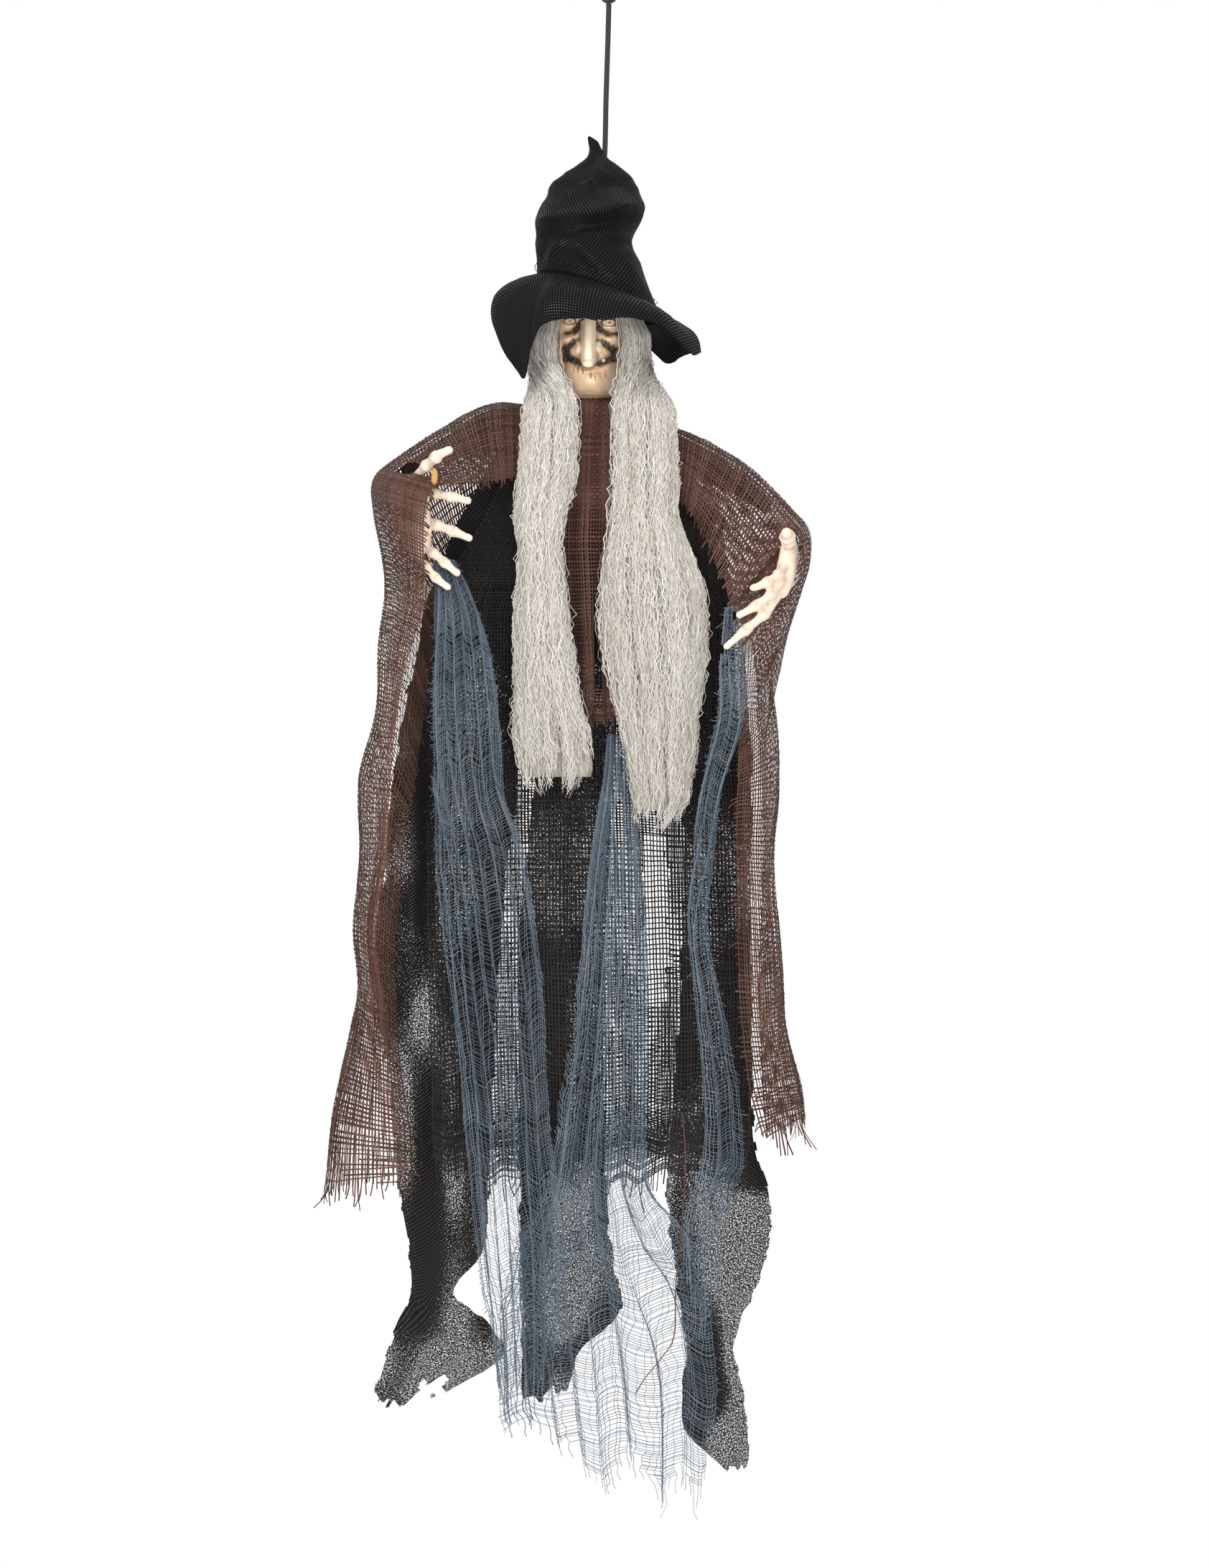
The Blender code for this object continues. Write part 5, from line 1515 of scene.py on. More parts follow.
@dataclass
class Hat:
    """Crumpled pointed crown sewn to a floppy brim."""

    crown: tuple = (
        (-41.4, -187.9, 30.3, -212.7, 33), (-41.7, -176.4, 23.8, -197.4, 32),
        (-42.1, -166, 19, -183.4, 30.5), (-42.6, -157.6, 13.4, -168.5, 28),
        (-41, -149.9, 18.6, -155.4, 26.5), (-37, -142.4, 20.4, -147.4, 23.5),
        (-32.9, -134.4, 17.2, -138.8, 19.5), (-25.6, -128.5, 13, -130.6, 15),
        (-18, -123.4, 5.6, -124.4, 10), (-12.6, -119, -0.6, -119.6, 6), (-11.2, -114.4, -4.4, -114, 3.6),
        (-11.6, -110.4, -6.6, -109.9, 2.2), (-12, -107.4, -10.9, -106.9, 0.8),
    )
    edge: tuple = (
        (-49.6, 25, -189.6), (-58.2, 12, -194.5), (-64.4, 0, -199.9), (-67.7, -10, -206.9),
        (-67.3, -20, -215.6), (-63.6, -28, -225.9), (-59.9, -33, -235), (-53.7, -38, -244.1),
        (-48.3, -43, -249.9), (-44.6, -47, -233.3), (-39.6, -51, -221.1), (-29.7, -54, -215.9),
        (-16.5, -56, -215.6), (0.4, -56, -215.6), (10.3, -54, -215.9), (20.6, -50, -217.2),
        (28.5, -45, -219.6), (35, -38, -223.5), (41.5, -29, -229), (48.5, -17, -234.6), (53, -4, -232),
        (51, 10, -230), (43, 27, -233.5), (34, 38, -236.6), (22, 48, -226), (4, 55, -216),
        (-19.8, 52, -206.1), (-38, 40, -196.2),
    )
    folds: tuple = (
        (-45, -157.5, -5, -152, 4.6, 4.2), (-8, -152.5, 22, -145, 3.8, 3.6),
        (-38, -166, -8, -161, 4.6, -3.6), (-10, -160.5, 20, -152, 3.4, -3.4),
        (-14, -164.5, 13, -165.5, 3.6, 3), (2, -171.5, 16, -168, 3.6, -2.6), (-25, -163, -38, -188, 3.6, 3),
        (-36, -166, -42, -188, 3.4, -3), (-10, -119, -33, -134, 3.4, 1.6), (-1, -119, 14, -131, 3.4, 1.6),
        (-24, -136, 8, -136.5, 5.5, -3.4), (4, -174, 24, -200, 4.5, 1.8), (-22, -176, 0, -196, 4, -1.6),
        (-16, -172, 6, -190, 4, 1.6),
    )
    lift: float = 0.21
    cloth: float = 0.6

    def crown_grid(self, rows: int, columns: int) -> Array:
        """Rings of the crown from its seam to its tip.

        Args:
            rows: rings.
            columns: points in a ring.

        Returns:
            The points.
        """
        table = curve_through(self.crown, rows)
        level = np.linspace(0.0, len(self.crown) - 1.0, rows)[:, None]
        turn = turns(columns)[None, :]
        left = np.stack([table[:, 0], 0 * table[:, 0], table[:, 1]], axis=1)
        right = np.stack([table[:, 2], 0 * table[:, 0], table[:, 3]], axis=1)
        ring = ((left + right) / 2)[:, None, :] + np.cos(turn)[..., None] * ((right - left) / 2)[:, None, :]
        deep = table[:, 4][:, None]
        ring[..., 1] += deep * np.sin(turn)
        ring[..., 2] -= self.lift * smooth(7.0, 0.0, level) * deep * np.sin(turn)
        crease = np.sin(3.0 * turn + 0.9 * level) + 0.6 * np.sin(5.0 * turn - 1.3 * level)
        keep = np.sin(turn) ** 2 * smooth(0.0, 1.5, level) * smooth(11.0, 7.0, level)
        ring[..., 1] += 2.0 * crease * keep * np.sign(np.sin(turn))
        ring[..., 2] += 1.6 * np.sin(2.0 * turn + 1.1 * level) * keep
        return ring

    def crumpled(self, rows: int = 100, columns: int = 168) -> Array:
        """The crown's rings with sharp folds and dents pressed in."""
        ring = self.crown_grid(rows, columns)
        middle = ring.mean(axis=1, keepdims=True)
        out = ring - middle
        out[..., 2] *= 0.3
        out = unit(out)
        level = np.linspace(0.0, len(self.crown) - 1.0, rows)[:, None]
        soft = smooth(0.0, 0.9, level) * smooth(11.6, 9.0, level)
        leaning = ring + np.stack([0 * ring[..., 0], 0 * ring[..., 0], 0.45 * ring[..., 0]], axis=2)
        flattened = leaning * np.array([1.0, 1.0, 1.9])
        ridges = 1.0 - np.abs(grain(flattened, 34.0, 11)) * 2.0
        small = 1.0 - np.abs(grain(flattened, 15.0, 12)) * 2.0
        push = 0.5 * ridges + 0.45 * small + 0.2 * grain(ring, 6.0, 13) - 0.4
        before = np.clip(-1.7 * out[..., 1] - 0.25, 0.0, 1.0)
        for x0, z0, x1, z1, wide, lift in self.folds:
            way = np.array([x1 - x0, z1 - z0])
            from_start = ring[..., ::2] - np.array([x0, z0])
            share = np.clip((from_start * way).sum(axis=-1) / (way * way).sum(), 0.0, 1.0)
            far = np.linalg.norm(from_start - share[..., None] * way, axis=-1)
            ends = 0.35 + 0.65 * np.sin(math.pi * np.clip(share, 0.08, 0.92))
            push += 1.35 * lift * ends * np.exp(-((far / wide) ** 1.3)) * before
        return ring + out * (push * soft)[..., None]

    def ring_map(self, grid: Array) -> Array:
        """Places on the cloth for rings that close on themselves, in metres."""
        around = run_along(grid[0])
        along = np.concatenate([[0.0], np.cumsum(np.linalg.norm(np.diff(grid, axis=0), axis=2).mean(axis=1))])
        return np.stack(np.meshgrid(around, along), axis=2).reshape(-1, 2) * MM

    def disc_map(self, grid: Array) -> Array:
        """Places on the flat ring that the brim was cut from, in metres."""
        turn = np.linspace(0.0, TAU, grid.shape[1])[None, :]
        step = np.linalg.norm(np.diff(grid, axis=0), axis=2)
        out = 34.0 + np.concatenate([np.zeros((1, grid.shape[1])), np.cumsum(step, axis=0)])
        return np.stack([out * np.cos(turn), out * np.sin(turn)], axis=2).reshape(-1, 2) * MM

    def brim_grid(self, rows: int = 44, columns: int = 336) -> Array:
        """Rings of the brim from its sewn inner edge outwards, closed on itself."""
        edge = np.array(self.edge + self.edge[:1], float)
        edge = curve_through(np.concatenate([edge[-2:-1], edge, edge[1:2]]), 10 * (len(edge) + 1) + 1)
        edge = evened(edge[10:-10], columns)
        x0, z0, x1, z1, deep = self.crown[0]
        left, right = np.array([x0, 0.0, z0]), np.array([x1, 0.0, z1])
        middle, half = (left + right) / 2, (right - left) / 2
        turn = np.arctan2(edge[:, 1] - middle[1], edge[:, 0] - middle[0])
        inner = middle + np.cos(turn)[:, None] * half * 0.99
        inner[:, 1] += (deep - 0.4) * np.sin(turn)
        inner[:, 2] -= self.lift * deep * np.sin(turn) + 0.2
        drop = np.clip(inner[:, 2] - edge[:, 2], 0.0, None)
        bend = edge.copy()
        bend[:, 2] = inner[:, 2] - 0.2 * drop
        f = np.linspace(0.0, 1.0, rows)[:, None, None]
        grid = (1 - f) ** 2 * inner + 2 * f * (1 - f) * bend + f * f * edge
        about = np.stack([np.cos(turn) * 60.0, np.sin(turn) * 60.0, 0 * turn], axis=1)[None]
        about = about + 25.0 * f * np.array([0, 0, 1.0])
        ripple = 1.5 * grain(about, 21.0, 21) + 0.7 * grain(about, 9.0, 22)
        fine = 0.35 * grain(grid, 5.0, 23)
        grid[..., 2] += ripple * smooth(0.05, 0.9, f[..., 0]) + fine * smooth(0.0, 0.2, f[..., 0])
        jag = 0.25 * grain(about * np.array([1, 1, 0.0]), 3.0, 24)
        grid += unit(edge - inner)[None] * (jag * smooth(0.85, 1.0, f[..., 0]))[..., None]
        return grid

    def build(self) -> None:
        """Crown, brim and the stitches between them."""
        look = HAT_CLOTH.build()
        rings = self.crumpled()
        rings = np.concatenate([rings, rings[:, :1]], axis=1)
        rows, columns, _ = rings.shape
        points = np.concatenate([rings.reshape(-1, 3), [rings[-1].mean(axis=0) + np.array([0, 0, 0.4])]])
        faces = list(quads(rows, columns))
        last = (rows - 1) * columns
        faces += [(last + c, last + c + 1, rows * columns) for c in range(columns - 1)]
        uv = self.ring_map(rings)
        crown = mesh_object("hat_crown_cloth", points, faces, look, np.concatenate([uv, uv[-1:]]))
        grid = self.brim_grid()
        faces = quads(*grid.shape[:2])
        brim = mesh_object("hat_brim_cloth", grid.reshape(-1, 3), faces, look, self.disc_map(grid))
        parts = (
            (crown, "hat_crown", (0.19, 0.115), 0.0155, "head"),
            (brim, "hat_brim", (0.125, 0.150), 0.0099, "hat_crown"),
        )
        for made, node, flat, area, under in parts:
            wall = made.modifiers.new("cloth", "SOLIDIFY")
            wall.thickness = self.cloth * MM
            wall.offset = 0.0
            finished(made, made.name)
            claim(made, "hat_cloth", node)
        seam = self.crown_grid(30, 180)[1]
        seam = seam + unit(seam - seam.mean(axis=0)) * np.array([1.4, 1.4, 0.0]) + np.array([0, 0, 0.6])
        stitches = Strands()
        for first in range(0, 176, 4):
            piece = seam[first : first + 3]
            line = even_curve(np.stack([piece[0], piece[1] + np.array([0, 0, 0.35]), piece[2]]), 5)
            stitches.add(line[None], unit(np.cross(np.gradient(line, axis=0), (0, 0, 1.0)))[None], 0.4)
        thread = stitches.build("hat_stitches", 0.28, BLACK_THREAD.build(), Profile.ROUND, 5)
        claim(thread, "hat_cloth")
        LOG.info("hat: crown, brim and stitches")


# Hair


def head_outline(z: Array, turn: Array, grow: Array) -> tuple[Array, Array]:
    """Points outside the plain head.

    Args:
        z: heights.
        turn: angles from the front.
        grow: how far outside.

    Returns:
        Their x and y.
    """
    wide, front, back = blend(Head.outer, np.maximum(z, -229.0))
    front = front + 2.6
    x = (wide + grow) * np.sin(turn)
    y = -np.where(np.cos(turn) > 0, front + grow, back + grow) * np.cos(turn)
    return HEAD_X + x, HEAD_Y + y


@dataclass(frozen=True)
class Lock:
    """A bunch that hugs the head above the jaw and hangs free before the chest.

    Its keys are rows of height, left, right and thickness.
    """

    name: str
    node: str
    side: int
    keys: tuple
    front_turn: float
    back_turn: float
    seat: float
    strands: int = 1700
    seed: int = 1

    def walls(self, z: Array, a: Array) -> tuple[Array, Array]:
        """The inner and outer side of the bunch.

        Args:
            z: heights.
            a: fractions across, -1 to 1 from the face backwards.

        Returns:
            Points on the inner side and on the outer side.
        """
        left, right, thick = blend(self.keys, z)
        turn = np.radians(self.front_turn + (self.back_turn - self.front_turn) * (a + 1.0) / 2.0) * self.side
        skin = self.seat + 1.8 * smooth(-216.0, -226.0, z)
        profile = np.sqrt(np.clip(1.0 - a**2, 0.0, 1.0))
        fat = thick * (0.35 + 0.65 * profile)
        near_x, near_y = head_outline(z, turn, skin)
        far_x, far_y = head_outline(z, turn, skin + fat)
        first, last = (right, left) if self.side < 0 else (left, right)
        hang_x = first + (last - first) * (a + 1.0) / 2.0
        hang_y = -36.5 - 5.5 * smooth(-285.0, -345.0, z) + (a + 1.0)
        loose = smooth(-234.0, -266.0, z)
        off = 0.3 + fat * np.maximum(profile, 0.06)
        near = [between(near_x, hang_x, loose), between(near_y, hang_y, loose), z]
        far = [between(far_x, hang_x, loose), between(far_y, hang_y - off, loose), z]
        return np.stack(near, axis=-1), np.stack(far, axis=-1)

    def top(self) -> float:
        """The height where the bunch begins."""
        return self.keys[0][0]

    def low(self) -> float:
        """The height where its longest strands end."""
        return self.keys[-1][0]


@dataclass(frozen=True)
class BackHair(Lock):
    """The bunch over the back of the head, hanging behind the shoulders."""

    def walls(self, z: Array, a: Array) -> tuple[Array, Array]:
        """The inner and outer side of the bunch, as for a lock."""
        turn = np.radians(180.0 + 76.0 * a)
        skin = 0.9 + 1.4 * smooth(-216.0, -228.0, z)
        fat = 1.6 + 6.4 * smooth(-210.0, -226.0, z) - 6.5 * smooth(-360.0, -412.0, z)
        near_x, near_y = head_outline(z, turn, skin)
        far_x, far_y = head_outline(z, turn, skin + fat)
        loose = smooth(-240.0, -270.0, z)
        hang_x = HEAD_X - 30.0 * a * (1.0 - 0.25 * smooth(-340.0, -412.0, z))
        bow = 2.0 * np.sqrt(np.clip(1.0 - a**2, 0.0, 1.0))
        near = [between(near_x, hang_x, loose), between(near_y, 32.5 + bow, loose), z]
        far = [between(far_x, hang_x, loose), between(far_y, 34.0 + bow * 2.0 + fat, loose), z]
        return np.stack(near, axis=-1), np.stack(far, axis=-1)


@dataclass
class Hair:
    """Three bunches of frizzy strands over darker cores, painted shade between the strands."""

    locks: tuple = (
        Lock(
            "hair_left_strands", "hair_left", -1,
            (
                (-206, -47, -18, 2.4), (-214, -47, -18, 5), (-224, -47, -18, 8), (-236, -47, -18, 9),
                (-258, -47, -17.8, 10), (-270, -48.3, -17.8, 11), (-286, -49.3, -17.8, 12),
                (-304, -50.4, -18.6, 13), (-328.3, -52.9, -24.8, 13), (-344.9, -49.6, -27.3, 13),
                (-365.5, -50.4, -24.4, 13), (-386.6, -53.3, -21.9, 14), (-408.9, -52.5, -19.8, 14),
                (-431.6, -52.5, -16.5, 14), (-452.2, -54.1, -9.5, 13), (-472.1, -52, -5.8, 11),
                (-483.2, -50.4, -8.3, 8), (-491.9, -39.6, -17.3, 4),
            ),
            36.0, 100.0, 1.0, 1150, 41,
        ),
        Lock(
            "hair_right_strands", "hair_right", 1,
            (
                (-207, 2.1, 35, 3), (-213, 2.1, 35, 5), (-221, 2.1, 35, 8.5), (-236, 2.1, 35, 9),
                (-248, 2.1, 35, 10), (-258, 2.1, 35.6, 10), (-270, 1.9, 37.2, 11), (-286, 1.7, 37.8, 12),
                (-304, 2, 38.2, 13), (-328.3, 0.8, 38, 13), (-345.7, -0.8, 44.2, 13),
                (-370, -3.3, 52.9, 14), (-390.3, -4.1, 55.3, 14), (-415.1, -0.4, 54.9, 14),
                (-444, 5.8, 50.8, 14), (-468.8, 10.3, 48.3, 12), (-489.4, 13.6, 47.5, 9),
                (-503.9, 15.7, 40.1, 5), (-510.9, 18.2, 31.8, 3),
            ),
            37.0, 100.0, 0.7, 1150, 42,
        ),
        BackHair(
            "hair_back_strands", "hair_back", 0, ((-206, 0, 0, 0), (-412, 0, 0, 0)), 0.0, 0.0, 0.0, 800, 43
        ),
    )
    points: int = 84
    half_width: float = 0.2
    jitter: tuple[float, float, float] = (0.8, 0.55, 0.35)
    core_shade_tone: float = 0.2
    clumps: int = 34

    def core(self, lock: Lock, look: Look) -> None:
        """A darker inner body that the strands lie on, painted shade that shows through the gaps between them."""
        rows, half = 60, 15
        z = np.linspace(lock.top() - 3.0, lock.low() + 14.0, rows)[:, None] + np.zeros((1, half))
        a = np.linspace(-0.86, 0.86, half)[None, :] + np.zeros((rows, 1))
        near, far = lock.walls(z, a)
        deep = 0.5 + 0.14 * grain(far, 9.0, lock.seed)[..., None]
        far = near + (far - near) * deep
        rings = np.concatenate([near + (far - near) * 0.12, far[:, ::-1]], axis=1)
        made = closed_tube(lock.name + "_core", rings, look)
        # The core takes the dark end of the hair's ramp, as painted shade.
        mark(made.data, "tone", np.full(len(made.data.vertices), self.core_shade_tone))
        claim(made, "grey_hair")

    def strands(self, lock: Lock) -> Strands:
        """The strands of one bunch, in clumps, with loose frizz and flyaways."""
        draw = np.random.default_rng(lock.seed)
        n, m = lock.strands, self.points if lock.side else self.points // 2
        home = draw.uniform(-0.97, 0.97, self.clumps)
        shade = draw.uniform(0.5, 1.0, self.clumps) ** 0.7
        short = draw.uniform(0.0, 0.11, self.clumps)
        clump = draw.integers(0, self.clumps, n)
        a0 = home[clump] + draw.normal(0.0, 0.07, n)
        b0 = np.clip(1.0 - np.abs(draw.normal(0.0, 0.34, n)), 0.05, 1.0)
        span = lock.top() - lock.low()
        top = lock.top() - span * draw.uniform(0.0, 0.03, n)
        early = np.where(draw.random(n) < 0.2, draw.uniform(0.1, 0.45, n), draw.uniform(0.0, 0.07, n))
        low = lock.low() + span * (short[clump] + early)
        s = np.linspace(0.0, 1.0, m)[None, :]
        z = top[:, None] + (low - top)[:, None] * s
        phase = np.stack([clump[:, None] * 7.3 + 0 * z, z / 60.0, 0 * z + lock.seed], axis=2)
        own = np.stack([np.arange(n)[:, None] * 3.7 + 0 * z, z / 24.0, 0 * z], axis=2)
        point = 1.0 - 0.65 * smooth(0.82, 1.0, s)
        a = home[clump][:, None] + (a0 - home[clump])[:, None] * point
        a = a + 0.12 * grain(phase, 1.0, 61) * smooth(0.05, 0.4, s) + 0.1 * grain(own, 1.0, 62) * s**0.5
        b = np.clip(b0[:, None] + 0.16 * grain(own, 1.0, 63), 0.0, 1.12)
        near, far = lock.walls(z, np.clip(a, -1.0, 1.0))
        points = near + (far - near) * b[..., None]
        over = np.clip(np.abs(a) - 1.0, 0.0, 0.6) * np.sign(a)
        points[..., 0] += over * 14.0 * (lock.side or -1)
        fly = (draw.random(n) < 0.12)[:, None] * draw.uniform(0.3, 1.0, n)[:, None]
        grow = 0.5 + 0.5 * s + 2.6 * fly * s
        for k, size in enumerate((1.0, 0.42)):
            for axis in range(3):
                at = np.stack([own[..., 0] + 31.0 * axis, z / (11.0 * size), 0 * z + k], axis=2)
                wiggle = grain(at, 1.0, 70 + axis)
                points[..., axis] += wiggle * grow * (1.0, 0.6)[k] * (1.0, 0.8, 0.5)[axis]
        jitter = draw.normal(0.0, 1.0, points.shape) * np.array(self.jitter)
        points += jitter * smooth(0.0, 0.12, s)[..., None]
        front = -1.0 if lock.side else 1.0
        points[..., 1] += front * fly * 3.0 * s
        if lock.side:
            free = smooth(-236.0, -262.0, points[..., 2])
            y = points[..., 1]
            points[..., 1] = np.where(free > 0, np.minimum(y, -28.0 * free + y * (1 - free)), y)
        way = unit(np.gradient(points, axis=1))
        outside = unit((far - near) + 1e-6)
        lean = draw.normal(0.0, 0.6, n)[:, None, None]
        across = unit(np.cross(way, outside) + outside * lean)
        taper = 0.55 + 0.6 * np.sin(math.pi * np.clip(s * 0.93 + 0.05, 0, 1)) ** 0.5
        # Strands deeper in the bunch are darker, as painted shade; clumps and strands also vary in tone at random.
        tone = 0.1 + 0.9 * np.clip(b0, 0, 1) * shade[clump] * draw.uniform(0.5, 1.0, n)
        tone = (tone + draw.normal(0, 0.05, n))[:, None] * draw.uniform(0.62, 1.25, (n, m))
        made = Strands()
        made.add(points, across, np.clip(tone, 0.0, 1.0), taper * draw.uniform(0.7, 1.35, (n, 1)))
        return made

    def build(self) -> None:
        """The cores and their strands."""
        look = GREY_HAIR.build()
        for lock in self.locks:
            self.core(lock, look)
            strands = self.strands(lock).build(lock.name, self.half_width, look)
            claim(strands, "grey_hair", lock.node)
            LOG.info("hair: %s with %d strands", lock.node, lock.strands)


# Collar, neck cloth, arms and capes


@dataclass
class NeckCloth:
    """A brown strip from the collar that splits into two tails."""

    keys: tuple = (
        (-260.2, -22.5, 6.2), (-278.8, -24, 5), (-299.4, -25.6, 5), (-320.1, -26.4, 5), (-344.9, -27.3, 5),
        (-369.6, -25.6, 5), (-393.2, -23.1, 4.1), (-415.1, -19.8, 3.7), (-437.8, -17.8, 3.3),
        (-448.9, -14.9, 2.1),
    )
    split: float = 0.57
    split_from: float = 0.6
    flat: Size = (0.038, 0.19)
    collar: tuple = (
        (13.6, -259.4), (15.4, -258.6), (16.9, -260.4), (16.3, -264), (16.9, -267), (15.4, -268.8),
        (13.8, -268.4),
    )
    collar_flat: Size = (0.013, 0.115)

    def surface(self) -> Surface:
        """The strip with its soft creases."""

        def depth(x: Array, z: Array) -> Array:
            """On the collar at the top, then over the gown."""
            hung = np.minimum(front_depth(x, z) - 6.0, -24.0)
            return -16.4 + (hung + 16.4) * smooth(-260.0, -284.0, z)

        made = Hanging(self.keys, 8, depth, 5.0, 1.3, pleats=2.4, pleat_deep=1.5, rumple=0.9).surface()
        s, t = shares(*made.grid.shape[:2])
        open_by = 9.0 * np.clip(s - self.split_from, 0.0, 1.0)
        near = np.exp(-np.abs(t - self.split) / 0.16)
        made.grid[..., 0] += np.where(t > self.split, 1.0, -1.0) * open_by * near
        return made

    def build(self, look: Look) -> None:
        """The strip and the collar wound round the neck."""
        cloth = self.surface()
        middle = cloth.at(np.linspace(0, 1, 60), np.full(60, self.split))

        def torn(points: Array) -> Array:
            """True in the tear between the tails."""
            line = np.interp(points[..., 2], middle[::-1, 2], middle[::-1, 0])
            low = middle[0, 2] + self.split_from * (middle[-1, 2] - middle[0, 2])
            return (np.abs(points[..., 0] - line) < 1.2) & (points[..., 2] < low)

        weave = Weave(20, 96, 0.46, 301, hem_fray=7.0, side_fray=2.0, side_open=0.04, dense=0.5)
        strip = weave.threads(cloth, torn).build("neck_strip", weave.half_width, look)
        claim(strip, "brown_mesh", "neck_cloth")
        ring = lathe(curve_through(self.collar, 22), 180, (HEAD_X, HEAD_Y))
        ring = np.concatenate([ring, ring[:, :1]], axis=1)
        band = Weave(64, 9, 0.5, 302, hem_fray=1.5, side_fray=0.0, lost=0.0, side_open=0.0, hem_open=0.0)
        collar = band.threads(Surface(ring)).build("neck_band", band.half_width, look)
        claim(collar, "brown_mesh", "neck_collar")
        LOG.info("neck cloth: %.4f m2, band %.4f m2", cloth.area(), Surface(ring).area())


@dataclass
class Arms:
    """The wire with wadding wound about it."""

    left: tuple = (
        (HEAD_X, HEAD_Y, -283.0), (-24.0, 2.0, -283.0), (-45.0, 1.0, -278.5), (-68.0, 0.0, -277.8),
        (-96.0, -2.0, -289.5), (-119.0, -8.0, -302.5),
    )
    right: tuple = (
        (HEAD_X, HEAD_Y, -283.0), (1.6, 2.0, -283.0), (22.0, 1.0, -285.5), (45.0, 0.0, -294.0),
        (72.0, -2.0, -307.0), (94.0, -7.0, -324.0),
    )
    left_radii: tuple = (13.0, 13.2, 12.8, 11.0, 8.4, 6.0, 4.4)
    right_radii: tuple = (13.4, 13.2, 11.9, 10.3, 7.9, 5.7, 4.0)
    start: float = 15.6
    rings: int = 70
    sides: int = 48

    def pad(self, name: str, node: str, keys: tuple, radii: tuple, look: Look) -> None:
        """One arm's wadding.

        Args:
            name: the piece's name.
            node: the node that it replaces.
            keys: the wire's points.
            radii: from the neck outwards.
            look: its material.
        """
        path = even_curve(keys, 240)
        path = path[np.abs(path[:, 0] - HEAD_X) >= self.start]
        path = path[np.linspace(0, len(path) - 1, self.rings).astype(int)]
        size = curve_through(radii, self.rings)[:, 0]
        level = np.arange(self.rings)
        ends = np.minimum(level, level[::-1]) / 3.0
        size = size * np.sqrt(np.clip(1 - (1 - np.clip(ends + 0.2, 0, 1)) ** 2, 0.2, 1))
        rings = rings_along(path, size, self.sides)
        out = unit(rings - path[:, None, :])
        winding = np.sin(level[:, None] * 0.9 + turns(self.sides)[None, :])
        lumps = 0.7 * grain(rings, 9.0, 81) + 0.5 * grain(rings, 3.6, 82) + 0.35 * winding
        made = closed_tube(name, rings + out * (lumps - 0.9)[..., None], look)
        claim(made, "white_wadding", node)

    def build(self) -> None:
        """Both pads, and the finishes of the wire and the neck plug."""
        # The wadding's dark colour is painted shade under the capes.
        look = WADDING.build()
        dress("arm_wire", STEEL.build())
        dress("neck_plug", PLUG.build())
        self.pad("wadding_left", "pad_left", self.left, self.left_radii, look)
        self.pad("wadding_right", "pad_right", self.right, self.right_radii, look)
        LOG.info("arms: wire and wadding")


@dataclass(frozen=True)
class Cape:
    """A long brown strip laid over an arm: rows of points on its outer fold, front edge and back edge."""

    name: str
    node: str
    keys: tuple
    flip: bool
    cover: tuple[float, float, float, float, float]
    weave: Weave
    flat: Size
    split: float = 0.56
    loose: tuple = ()

    def surface(self, rows: int = 190, columns: int = 110) -> Surface:
        """The strip with its hanging folds.

        Args:
            rows: points along.
            columns: points from the front edge over the fold to the back edge.

        Returns:
            The surface.
        """
        table = curve_through(self.keys, rows)[:, None, :]
        fold, front, back = table[..., :3], table[..., 3:6], table[..., 6:]
        along, c = shares(rows, columns)
        before = c < self.split
        u = np.where(before, 1.0 - c / self.split, (c - self.split) / (1.0 - self.split))
        edge = np.where(before[..., None], front, back)
        line = fold + (edge - fold) * (u**1.55)[..., None]
        deep = 1.0 - (1.0 - u) ** 2.2
        line[..., 1] = fold[..., 1] + (edge[..., 1] - fold[..., 1]) * deep
        line[..., 1] += 2.2 * np.sin(u * 9.0 + along * 14.0) * smooth(0.32, 0.5, along) * u * (1.4 - u)
        at_row, at_u, rows_wide, u_wide, forward = self.cover
        near = ((along * (len(self.keys) - 1) - at_row) / rows_wide) ** 2 + ((u - at_u) / u_wide) ** 2
        line[..., 1] -= forward * np.exp(-near) * before
        made = Surface(line if not self.flip else line[:, ::-1])
        across = u * 60.0 * np.where(before, 1, -1)
        where = np.stack([*np.broadcast_arrays(across, along * 150.0, 0 * u)], axis=2)
        if self.flip:
            where = where[:, ::-1]
        seed = self.weave.seed
        pressed = where * np.array([1.0, 0.35, 1.0])
        folds = 1.5 * grain(where, 13.0, seed) + 0.8 * grain(pressed, 6.0, seed + 1)
        hanging = smooth(0.25, 0.45, along)
        return made.raised(folds * (0.35 + 0.65 * hanging) + 0.4 * grain(where, 3.3, 9))

    def build(self, look: Look, hole: Hole) -> None:
        """The woven strip.

        Args:
            look: its thread.
            hole: where the hand comes through.
        """
        cloth = self.surface()
        threads = self.weave.threads(cloth, hole)
        if self.loose:
            line = even_curve(np.array(self.loose, float), 90)
            threads.add(line[None], np.broadcast_to([1.0, 0.0, 0.0], line.shape)[None], 0.4, 0.8)
        made = threads.build(self.name, self.weave.half_width, look)
        claim(made, "brown_mesh", self.node)
        LOG.info("cape: %s is %.4f m2", self.node, cloth.area())


